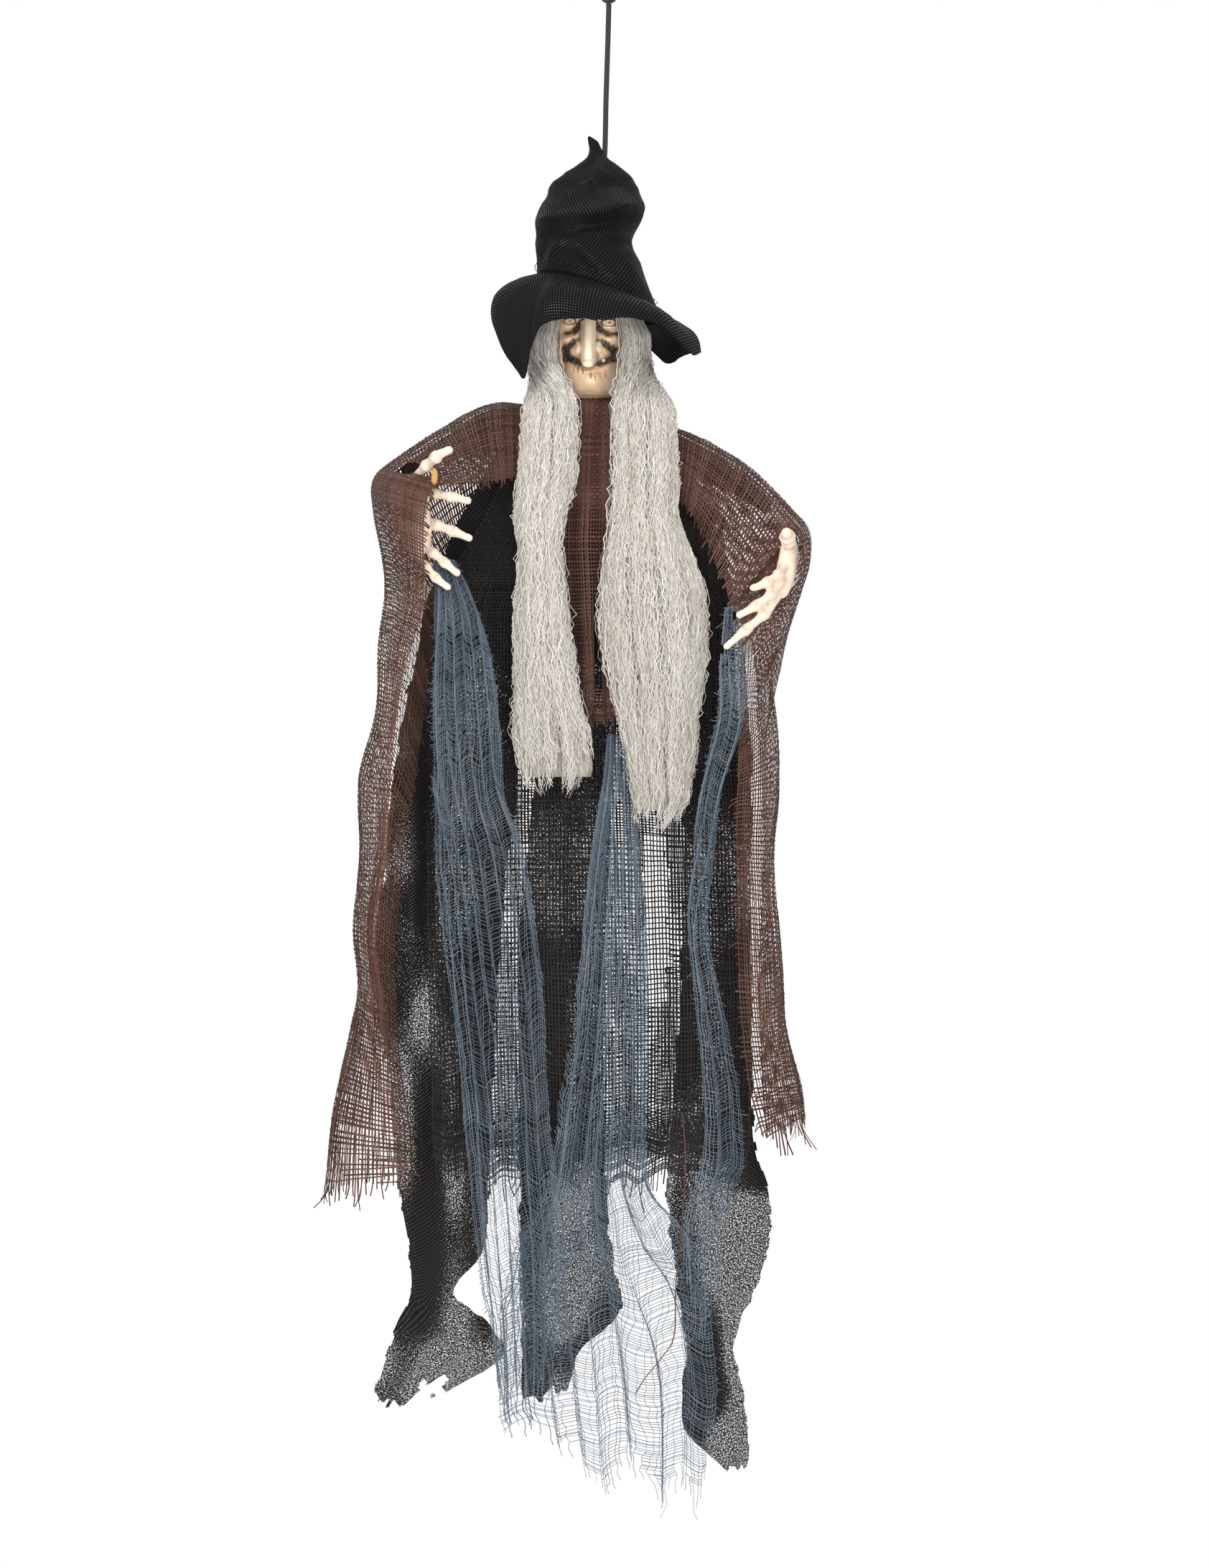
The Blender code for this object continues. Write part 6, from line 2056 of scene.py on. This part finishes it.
LEFT_CAPE = Cape(
    "cape_left_weave", "cape_left",
    (
        (-29.7, 2, -265.1, -30.6, -25, -304.4, -30.6, 28, -315.9),
        (-48.7, 1, -261.8, -49.6, -26, -305.6, -48.7, 28, -326.3),
        (-68.6, 0, -261.4, -63.2, -34, -307.7, -65.3, 27, -336.6),
        (-96.2, -3, -275.5, -75.2, -52, -310.2, -79.7, 21, -349),
        (-121.8, -10, -292.8, -87.6, -68, -311.4, -89.2, 14, -361.4),
        (-135.1, -22, -305.2, -101.2, -73, -315.1, -97.5, 6, -373.8),
        (-135.9, -28, -322.1, -104.9, -74, -334.5, -99.9, 1, -394.4),
        (-131.3, -29, -349, -104.9, -73, -361.4, -102.4, -3, -413),
        (-128.9, -29, -372.9, -106.6, -70, -384.1, -105.7, -6, -435.7),
        (-132.2, -28, -402.7, -114.8, -66, -413, -109, -8, -460.5),
        (-133.8, -26, -440.3, -120.6, -62, -444, -112.3, -9, -485.3),
        (-143.7, -25, -480.3, -123.9, -58, -483.2, -118.1, -9, -512.1),
        (-143.3, -24, -522.4, -126.4, -54, -522.4, -120.6, -9, -549.3),
        (-146.2, -23, -563.7, -133, -50, -567.9, -123.9, -8, -580.3),
        (-143.7, -22, -598.4, -129.3, -47, -605, -122.2, -7, -617.4),
        (-150.3, -21, -633.5, -125.1, -44, -642.2, -118.9, -6, -650.5),
        (-159.8, -20, -671.1, -120.6, -42, -679.4, -114, -5, -683.5),
        (-164.8, -20, -715.7, -116.9, -40, -708.3, -112.7, -4, -712.4),
    ),
    False,
    (6.0, 0.45, 1.6, 0.3, 5.0),
    Weave(50, 236, 0.46, 311, hem_fray=12.0, side_fray=4.0, side_open=0.03, dense=0.34, fold=0.54),
    (0.095, 0.52),
)
RIGHT_CAPE = Cape(
    "cape_right_weave", "cape_right",
    (
        (10.7, 2, -266.8, 10.7, -25, -309.8, 10.7, 28, -320.1),
        (23.5, 1, -270.1, 23.5, -26, -312.6, 23.5, 28, -326.3),
        (40.1, 0, -275.9, 38.8, -28, -316.8, 38, 28, -334.5),
        (62.8, -1, -286.2, 48.3, -36, -330.4, 52.5, 26, -346.9),
        (84.3, -6, -300.7, 58.6, -46, -351, 64.8, 20, -361.4),
        (105.7, -15, -322.6, 66.9, -52, -371.7, 75.2, 11, -382),
        (115.2, -33, -336.6, 73.5, -51, -387, 81.8, 4, -402.7),
        (115.2, -38, -355.2, 75, -51, -398.5, 84.3, 0, -423.3),
        (109, -36, -373.8, 75, -53, -413, 85.9, -3, -444),
        (101.6, -28, -398.5, 75, -58, -431.6, 87.6, -5, -464.6),
        (93.8, -27, -417.1, 74, -56, -452.2, 88.4, -6, -485.3),
        (97.1, -26, -448.1, 74, -53, -468.8, 89.2, -7, -501.8),
        (97.5, -25, -485.3, 73, -50, -490.2, 90, -8, -518.3),
        (95, -24, -518.3, 73, -47, -518.3, 88.4, -8, -536.9),
        (97.5, -23, -552.2, 73.5, -45, -547.2, 87.6, -7, -563.7),
        (100.8, -22, -588.5, 74, -43, -584.4, 86.7, -6, -596.8),
        (103.2, -21, -621.6, 76, -41, -621.6, 87.6, -5, -629.8),
        (111.5, -20, -654.6, 80, -40, -654.6, 89.2, -5, -662.9),
        (114, -20, -673.6, 87.6, -40, -684.3, 90.9, -4, -687.6),
    ),
    True,
    (6.7, 0.2, 1.2, 0.2, 29.0),
    Weave(46, 220, 0.46, 321, hem_fray=12.0, side_fray=4.0, side_open=0.03, dense=0.36, fold=0.46),
    (0.088, 0.47),
    loose=(
        (42.5, -32, -672), (44, -33, -700), (42, -34, -735), (38.5, -34, -770), (37.5, -34, -799),
        (30, -35, -812), (21, -35, -823), (15.5, -35, -832),
    ),
)


# Gown, panels and blue strips


@dataclass(frozen=True)
class GauzeSheet:
    """A hanging sheet made of loose thread."""

    name: str
    node: str
    slot: str
    hanging: Hanging
    weave: Weave
    flat: Size
    held: str
    rests_on: tuple[str, ...]
    profile: Profile = Profile.RIBBON

    def build(self, look: Look, hole: Hole | None = None) -> None:
        """The woven sheet.

        Args:
            look: its thread.
            hole: where the cloth is open.
        """
        cloth = self.hanging.surface()
        threads = self.weave.threads(cloth, hole)
        made = threads.build(self.name, self.weave.half_width, look, self.profile)
        claim(made, self.slot, self.node)
        LOG.info("gauze: %s is %.4f m2, %d faces", self.node, cloth.area(), len(made.data.polygons))


GOWN_KEYS = (
    (HIDDEN_TOP, -60, 42), (-303.6, -61.1, 62.8), (-336.6, -76.8, 66.9), (-377.9, -99.9, 71), (-444, -103.2, 75.2),
    (-526.6, -105.7, 80.1), (-609.2, -104.1, 82.6), (-675.3, -102.4, 81.8), (-708.3, -100.8, 79.3),
)
GOWN_REAR_KEYS = (
    (HIDDEN_TOP, -58, 36), (-303.6, -65.3, 56.6), (-336.6, -74.3, 62.8), (-377.9, -81.8, 69.4), (-444, -97.5, 75.2),
    (-526.6, -99.9, 79.3), (-609.2, -99.9, 80.9), (-675.3, -97.5, 79.3), (-700, -94.2, 75.2),
)
GAUZE_LEFT_KEYS = (
    (-353.9, -99.9, -88.4), (-382, -99.9, -73.5), (-410.9, -100.8, -66.1), (-444, -101.6, -61.9),
    (-485.3, -101.6, -59.5), (-526.6, -99.9, -46.3), (-588.5, -93.3, -38), (-650.5, -85.9, -35.5),
    (-700, -81.8, -31.4), (-753.7, -76.8, -24.8), (-799.2, -69.4, -24), (-850.8, -60.3, -28.9),
)
GAUZE_CENTRE_KEYS = (
    (-453.1, -0.8, 14.9), (-485.3, -4.1, 15.7), (-526.6, -10.7, 18.2), (-567.9, -14.9, 22.3),
    (-609.2, -19.8, 22.3), (-658.7, -27.3, 22.3), (-708.3, -35.5, 24), (-741.3, -50.4, 42.1),
    (-774.4, -61.1, 57), (-815.7, -64.4, 62.8), (-857, -59.5, 62.8), (-896.2, -43, 59.5),
)
GAUZE_RIGHT_KEYS = (
    (-380.4, 66.1, 73.5), (-415.1, 62.8, 76.8), (-444, 61.1, 77.6), (-485.3, 52, 65.3),
    (-526.6, 47.9, 60.3), (-567.9, 45.4, 57.8), (-629.8, 52, 70.2), (-691.8, 54.5, 77.6),
    (-733.1, 43.8, 67.7), (-799.2, 41.3, 63.6),
)
GOWN_FRONT = GauzeSheet(
    "gown_front_weave", "gown_front", "black_gauze",
    Hanging(GOWN_KEYS, 24, front_depth, 7.0, 0.4, 0.4, rumple=0.8),
    Weave(98, 224, 0.4, 331, hem_fray=11.0, side_fray=3.0, lost=0.02),
    (0.185, 0.427), "hung", ("pad_left", "pad_right"),
)
GOWN_BACK = GauzeSheet(
    "gown_back_weave", "gown_back", "black_gauze",
    Hanging(GOWN_REAR_KEYS, 16, rear_depth, 7.0, 2.2, 0.4, rumple=0.8),
    Weave(86, 206, 0.4, 341, hem_fray=11.0, side_fray=3.0, lost=0.02),
    (0.172, 0.418), "hung", ("pad_left", "pad_right"),
)
NET = {"lift": 0.3, "hem_open": 0.0, "curl": 3.4}
STRIP_LEFT = GauzeSheet(
    "blue_strip_left", "gauze_left", "blue_gauze",
    Hanging(
        GAUZE_LEFT_KEYS, 12, strip_depth(-62.5, -370.0, -560.0, 11.5, 27.0, 1.4, 0.3), 0.0, 0.9,
        pleats=3.5, pleat_deep=1.3, rumple=1.2, bunch=1.25, slant=3.4, rows_fine=260, columns_fine=150,
    ),
    Weave(
        42, 330, 0.176, 351, **NET, fold=0.06, hem_fray=7.0, side_fray=2.4, side_open=0.04, lost=0.05, wander=0.6,
        ends=((0.0, 0.96), (0.2, 0.99), (0.4, 0.955), (0.6, 0.98), (0.8, 0.93), (1.0, 0.9)),
    ),
    (0.055, 0.49), "gathered", ("hand_left",), Profile.ROUND,
)
STRIP_CENTRE = GauzeSheet(
    "blue_strip_centre", "gauze_centre", "blue_gauze",
    Hanging(
        GAUZE_CENTRE_KEYS, 13, centre_depth, 0.0, 4.1,
        pleats=4.0, pleat_deep=1.3, rumple=1.1, bunch=1.15, slant=3.6, rows_fine=260, columns_fine=160,
    ),
    Weave(
        52, 290, 0.2, 361, **NET, fold=0.1, hem_fray=7.0, side_fray=2.6, side_open=0.05, lost=0.07, wander=0.7,
        ends=(
            (0, 0.9), (0.2, 0.9), (0.34, 0.945), (0.46, 0.97), (0.6, 0.93), (0.74, 1), (0.83, 0.96), (0.93, 0.99), (1, 0.9),
        ),
    ),
    (0.082, 0.46), "gathered", ("gown_front",), Profile.ROUND,
)
STRIP_RIGHT = GauzeSheet(
    "blue_strip_right", "gauze_right", "blue_gauze",
    Hanging(
        GAUZE_RIGHT_KEYS, 7, strip_depth(-70.5, -400.0, -560.0, 11.5, 23.0, 0.8, 0.0), 0.0, 2.7,
        pleats=1.5, pleat_deep=1.2, rumple=1.0, bunch=1.1, slant=2.4, rows_fine=240, columns_fine=70,
    ),
    Weave(
        15, 290, 0.18, 371, **NET, fold=0.15, hem_fray=8.0, side_fray=2.4, side_open=0.06, lost=0.05, wander=0.6,
        ends=((0.0, 0.93), (0.5, 1.0), (1.0, 0.95)),
    ),
    (0.0207, 0.405), "hung", ("hand_right",), Profile.ROUND,
)


def rear_opening(points: Array) -> Array:
    """The long opening in the rear gown, which leaves the front gown to be seen through."""
    ragged_by = 2.5 * grain(points, 5.0, 55)
    inside = np.abs(points[..., 0] - 27.0) < 6.5 + ragged_by
    return inside & (np.abs(points[..., 2] + 562.0) < 48.0 + 2.0 * ragged_by)


def strip_slit(points: Array) -> Array:
    """The open loop near the top of the central strip."""
    return ((points[..., 0] - 6.0) / 2.6) ** 2 + ((points[..., 2] + 505.0) / 14.0) ** 2 < 1.0


@dataclass(frozen=True)
class Panel:
    """A hanging strip of black nonwoven with torn edges."""

    name: str
    node: str
    hanging: Hanging
    flat: Size
    seed: int

    def build(self, look: Look) -> None:
        """The torn strip as one thin layer, which lets light through where it isn't doubled.

        Args:
            look: its material.
        """
        cloth = self.hanging.surface()
        s, t = shares(*cloth.grid.shape[:2])
        where = cloth.grid * np.array([1.0, 0.0, 1.0])
        tear = 0.035 + 0.03 * grain(where, 7.0, 91) + 0.02 * grain(where, 2.6, 92)
        side = np.minimum(t, 1.0 - t)
        hem = (1.0 - s) * 1.2
        bite = 0.05 * np.abs(grain(where * np.array([1.0, 0, 0.2]), 9.0, 93)) + 0.02 * grain(where, 3.0, 94)
        keep = (side > np.clip(tear, 0.0, 1.0) * 0.7) & (hem > bite)
        made = cloth.sheet(self.name, look, keep)
        folds = grain(where * np.array([1.0, 0.0, 0.22]), 15.0, self.seed)
        folds = folds + 0.5 * grain(where, 22.0, self.seed + 1)
        x, z = cloth.grid[..., 0], cloth.grid[..., 2]
        free = smooth(-600.0, -540.0, z) * smooth(-108.0, -94.0, x) * smooth(-385.0, -425.0, z)
        cover = 0.52 + 0.6 * folds - 0.2 * smooth(-690.0, -760.0, z) + 0.4 * smooth(-640.0, -580.0, z)
        cover = np.clip(cover - 0.75 * free, 0.14, 1.0)
        mark(made.data, "cover", cover)
        claim(made, "black_nonwoven", self.node)
        LOG.info("panel: %s is %.4f m2", self.node, cloth.area())


PANELS = (
    Panel(
        "panel_left_felt", "panel_left",
        Hanging(
            (
                (-291.4, -66, -46), (-320.1, -84, -37.2), (-361.4, -103, -39.6), (-402.7, -114, -44.6),
                (-444, -122, -47), (-485.3, -129, -50.8), (-530, -132, -56), (-575, -139, -59.6),
                (-610, -138, -62), (-650.5, -130, -64.4), (-708.3, -125.1, -68.6), (-749.6, -118.1, -69.8),
                (-776.9, -115.6, -89.2), (-795, -123.9, -69.4), (-815.7, -133, -59.5),
                (-841.3, -138.8, -102.4),
            ),
            9, panel_depth, 9.0, 1.0, rumple=1.1, rows_fine=260, columns_fine=80,
        ),
        (0.066, 0.55), 95,
    ),
    Panel(
        "panel_centre_felt", "panel_centre",
        Hanging(
            (
                (-294.9, -22, -1), (-361.4, -28.1, 9.9), (-444, -39.6, 5.8), (-553.4, -52.9, 0.8),
                (-650.5, -54.5, -0.8), (-712.4, -53.7, 0.8), (-753.7, -52.9, 4.1), (-788.8, -52, 8.3),
                (-811.5, -52, -14.9), (-836.3, -51.2, -22.7),
            ),
            8, panel_depth, 6.0, 3.0, rumple=1.1, rows_fine=260, columns_fine=80,
        ),
        (0.052, 0.54), 105,
    ),
    Panel(
        "panel_right_felt", "panel_right",
        Hanging(
            (
                (-304.2, 28, 42), (-361.4, 32.2, 71), (-444, 36.3, 83), (-522.4, 42.1, 84),
                (-609.2, 39.6, 84), (-685.2, 33.9, 85.9), (-719.9, 31.8, 95), (-748.4, 33.9, 94.6),
                (-773.5, 38, 87.6), (-791.3, 41.3, 78.5), (-809.9, 44.6, 73.5), (-830.1, 42.1, 78.1),
                (-855.7, 42.1, 82.2), (-871, 56.2, 81.8), (-880.9, 69.4, 79.7),
            ),
            9, panel_depth, 4.0, 5.0, rumple=1.1, rows_fine=260, columns_fine=80,
        ),
        (0.044, 0.58), 115,
    ),
)


# Hands


@dataclass(frozen=True)
class Hand:
    """A moulded hand of a palm, a thumb and thin fingers: rows of x, y, z and radius along each."""

    name: str
    node: str
    palm: tuple
    press: float
    digits: tuple
    joints: tuple[float, float] = (0.36, 0.66)

    @staticmethod
    def line(keys: tuple, count: int) -> tuple[Array, Array]:
        """Even points along a limb, and the radius at each."""
        table = np.array(keys, float)
        return even_curve(table[:, :3], count), curve_through(table[:, 3], count)[:, 0]

    def limb(self, keys: tuple, steps: int, sides: int, flat: float, bony: float) -> Array:
        """Rings of one limb with a round end and swollen joints.

        Args:
            keys: its rows.
            steps: rings.
            sides: points in a ring.
            flat: how far it is pressed.
            bony: how much the joints swell and the bones between them thin.

        Returns:
            The rings.
        """
        path, size = self.line(keys, steps)
        s = np.linspace(0.0, 1.0, steps)
        joints = sum(np.exp(-(((s - at) / 0.07) ** 2)) for at in self.joints)
        size = size * (1.0 - bony * 0.3 + bony * 0.34 * joints)
        run = run_along(path)
        for from_end in (run, run[-1] - run):
            near = np.clip(from_end / size, 0.0, 1.0)
            size = size * np.sqrt(np.clip(1.0 - (1.0 - near) ** 2, 0.02, 1.0))
        return rings_along(path, size, sides, flat)

    def distance(self, points: Array) -> Array:
        """How far points are outside the hand, in millimetres."""
        best = np.full(points.shape[:-1], 1e6)
        for keys in (self.palm, *self.digits):
            for centre, radius in zip(*self.line(keys, 24)):
                best = np.minimum(best, np.linalg.norm(points - centre, axis=-1) - radius)
        return best

    def build(self, look: Look) -> None:
        """The hand as one smooth skin, with its creases and nails marked.

        Args:
            look: its material.
        """
        parts = [closed_tube(self.name, self.limb(self.palm, 24, 24, self.press, 0.0), None)]
        for number, keys in enumerate(self.digits):
            rings = self.limb(keys, 40, 20, 1.0, 1.0)
            parts.append(closed_tube(f"{self.name}_{number}", rings, None))
        mesh = parts[0].data
        points, faces = [], []
        for part in parts:
            first = len(points)
            points += [tuple(v.co) for v in part.data.vertices]
            faces += [tuple(first + k for k in f.vertices) for f in part.data.polygons]
        for part in parts[1:]:
            bpy.data.objects.remove(part, do_unlink=True)
        made = parts[0]
        mesh.clear_geometry()
        mesh.from_pydata(points, [], faces)
        mesh.update()
        remesh = made.modifiers.new("skin", "REMESH")
        remesh.mode = "VOXEL"
        remesh.voxel_size = 0.75 * MM
        soften = made.modifiers.new("soften", "SMOOTH")
        soften.factor = 0.5
        soften.iterations = 5
        finished(made, self.name)
        mesh = made.data
        count = len(mesh.vertices)
        place = np.zeros(count * 3)
        mesh.vertices.foreach_get("co", place)
        place = place.reshape(-1, 3) / MM
        normal = np.zeros(count * 3)
        mesh.vertices.foreach_get("normal", normal)
        normal = normal.reshape(-1, 3)
        crease, nail, push = np.zeros(count), np.zeros(count), 0.12 * grain(place, 2.4, 55)
        for keys in self.digits:
            path, size = self.line(keys, 60)
            gap = np.linalg.norm(place[:, None, :] - path[None], axis=2)
            nearest = gap.argmin(axis=1)
            close = gap[np.arange(count), nearest] < size[nearest] * 1.35
            s = nearest / 59.0
            way = unit(np.gradient(path, axis=0))[nearest]
            up = unit(np.cross(way, np.cross((0.0, -0.55, 1.0), way)))
            top = (normal * up).sum(axis=1)
            for at in self.joints:
                for shift in (-0.025, 0.0, 0.025):
                    line = np.exp(-(((s - at - shift) / 0.008) ** 2)) * close * smooth(0.1, 0.6, top)
                    crease = np.maximum(crease, line)
            here = close * smooth(0.35, 0.6, top) * smooth(0.855, 0.875, s)
            nail = np.maximum(nail, here * smooth(1.02, 0.985, s))
            rim = close * np.exp(-(((s - 0.862) / 0.01) ** 2)) * smooth(0.3, 0.5, top)
            crease = np.maximum(crease, 0.9 * rim)
        push = push - 0.32 * crease + 0.12 * nail
        mesh.vertices.foreach_set("co", ((place + normal * push[:, None]) * MM).ravel())
        # The crease mark also darkens the hand's colour there, as painted shade.
        mark(mesh, "crease", crease)
        mark(mesh, "nail", nail)
        mesh.materials.clear()
        mesh.materials.append(look)
        mesh.shade_smooth()
        mesh.update()
        claim(made, "hand_plastic", self.node)
        LOG.info("hand: %s has %d faces", self.node, len(mesh.polygons))


HAND_LEFT = Hand(
    "hand_left_skin", "hand_left",
    ((-113.2, -58, -305.2, 7), (-111.5, -60, -320.1, 8.6), (-109.9, -61, -335.8, 8.8), (-109, -60, -352.3, 7)),
    0.72,
    (
        (
            (-110.7, -59, -306.9, 3.6), (-102.4, -70, -299.4, 3.8), (-95.8, -78, -294.5, 3.9),
            (-88.4, -80, -291.6, 3.4),
        ),
        (
            (-110.7, -60, -314.3, 3.9), (-100.8, -63, -315.9, 3.7), (-89.2, -67, -318.4, 3.5),
            (-78.1, -66, -321.3, 3),
        ),
        (
            (-109.9, -60, -330, 3.9), (-99.9, -63, -333.7, 3.7), (-88.4, -68, -338.2, 3.5),
            (-77.6, -67, -342.8, 3),
        ),
        (
            (-109.9, -60, -344, 3.7), (-100.8, -64, -349.8, 3.5), (-92.5, -70, -356.8, 3.3),
            (-84.7, -70, -363.4, 2.9),
        ),
        (
            (-109.9, -60, -350.6, 3.5), (-104.9, -66, -357.2, 3.3), (-98.3, -71, -364.7, 3.1),
            (-90, -71, -371.3, 2.8),
        ),
    ),
)
HAND_RIGHT = Hand(
    "hand_right_skin", "hand_right",
    ((103.7, -55, -341.6, 4.6), (102.8, -56, -352.3, 5.8), (100.4, -58.5, -363.9, 5.8), (95.8, -62, -376.2, 5)),
    0.8,
    (
        (
            (103.2, -57, -347.3, 3.8), (102.4, -65, -343.6, 4.4), (101.2, -74, -339.9, 4.9),
            (100.4, -78, -338.7, 4.6),
        ),
        (
            (101.6, -58, -356.4, 3.8), (96.2, -67, -363, 3.6), (88.4, -72, -368, 3.4),
            (80.1, -72, -371.3, 2.9),
        ),
        (
            (99.9, -62, -364.7, 3.8), (92.5, -70, -373.8, 3.6), (82.6, -74, -381.2, 3.4),
            (72.3, -74, -387, 2.9),
        ),
        (
            (97.5, -63, -372.9, 3.8), (89.2, -70, -384.5, 3.5), (76.8, -74, -395.2, 3.3),
            (65.3, -74, -405.2, 2.8),
        ),
    ),
)


# Camera, lights and floor


@dataclass(frozen=True)
class Studio:
    """Camera at the photograph's angle, plain soft lights and a pale floor."""

    centre: tuple[float, float, float] = (-0.0025, -0.03, -0.482)
    tall: float = 0.902
    away: float = 4.0
    floor_height: float = -1.32
    sensor: float = 36.0

    def camera(self) -> None:
        """A long lens straight at the figure."""
        data = bpy.data.cameras.new("camera")
        data.sensor_width = self.sensor
        data.lens = self.sensor * self.away / self.tall
        data.clip_end = 50.0
        made = linked("camera", data)
        made.location = (self.centre[0], self.centre[1] - self.away, self.centre[2])
        made.rotation_euler = (math.radians(90.0), 0.0, 0.0)
        bpy.context.scene.camera = made

    def light(self, name: str, place: tuple[float, float, float], size: float, power: float) -> None:
        """One soft square lamp aimed at the figure.

        Args:
            name: its name.
            place: where it stands.
            size: its side.
            power: its power.
        """
        data = bpy.data.lights.new(name, "AREA")
        data.shape = "SQUARE"
        data.size = size
        data.energy = power
        made = linked(name, data)
        made.location = place
        aim = Vector(self.centre) - Vector(place)
        made.rotation_euler = aim.to_track_quat("-Z", "Y").to_euler()

    def world(self) -> None:
        """White behind the figure, and a soft even light from all round."""
        made = bpy.data.worlds.new("studio")
        made.use_nodes = True
        tree = made.node_tree
        back = tree.nodes["Background"]
        rays = tree.nodes.new("ShaderNodeLightPath")
        seen = None
        for ray in ("Is Camera Ray", "Is Glossy Ray", "Is Transmission Ray"):
            if seen is None:
                seen = rays.outputs[ray]
                continue
            joined = tree.nodes.new("ShaderNodeMath")
            joined.operation = "MAXIMUM"
            tree.links.new(seen, joined.inputs[0])
            tree.links.new(rays.outputs[ray], joined.inputs[1])
            seen = joined.outputs[0]
        level = tree.nodes.new("ShaderNodeMapRange")
        level.inputs["To Min"].default_value = 0.45
        tree.links.new(seen, level.inputs["Value"])
        back.inputs["Color"].default_value = (1.0, 1.0, 1.0, 1.0)
        tree.links.new(level.outputs[0], back.inputs["Strength"])
        bpy.context.scene.world = made

    def build(self) -> None:
        """Everything that isn't the object."""
        self.world()
        self.light("key", (-1.1, -1.8, 1.0), 1.1, 34.0)
        self.light("fill", (0.6, -2.6, -0.7), 1.8, 52.0)
        self.light("top", (0.2, 0.5, 1.6), 1.6, 14.0)
        half, z = 3.0, self.floor_height / MM
        corners = np.array([(-half, -half, 0), (half, -half, 0), (half, half, 0), (-half, half, 0)]) / MM
        floor = mesh_object("floor", corners + np.array([0, 0, z]), [(0, 1, 2, 3)], FLOOR.build())
        bpy.context.scene.view_settings.view_transform = "Standard"
        LOG.info("studio: camera, lights and floor")


def main() -> None:
    """Build the decoration piece by piece."""
    logging.basicConfig(level=logging.INFO, format="%(message)s")
    Studio().camera()
    HangingCord().build()
    brown, black, blue = BROWN_THREAD.build(), BLACK_THREAD.build(), BLUE_THREAD.build()
    Head().build()
    Hat().build()
    Hair().build()
    NeckCloth().build(brown)
    Arms().build()
    skin = HAND_SKIN.build()
    for hand, cape in ((HAND_LEFT, LEFT_CAPE), (HAND_RIGHT, RIGHT_CAPE)):
        hand.build(skin)
        cape.build(brown, lambda points, hand=hand: hand.distance(points) < CAPE_CLEAR)
    GOWN_FRONT.build(black)
    GOWN_BACK.build(black, rear_opening)
    felt = PANEL_CLOTH.build()
    for panel in PANELS:
        panel.build(felt)
    STRIP_LEFT.build(blue, lambda points: HAND_LEFT.distance(points) < STRIP_CLEAR)
    STRIP_CENTRE.build(blue, strip_slit)
    STRIP_RIGHT.build(blue, lambda points: HAND_RIGHT.distance(points) < STRIP_CLEAR)
    dress("glue_drop", GLUE.build())
    Studio().build()


if __name__ == "__main__":
    main()
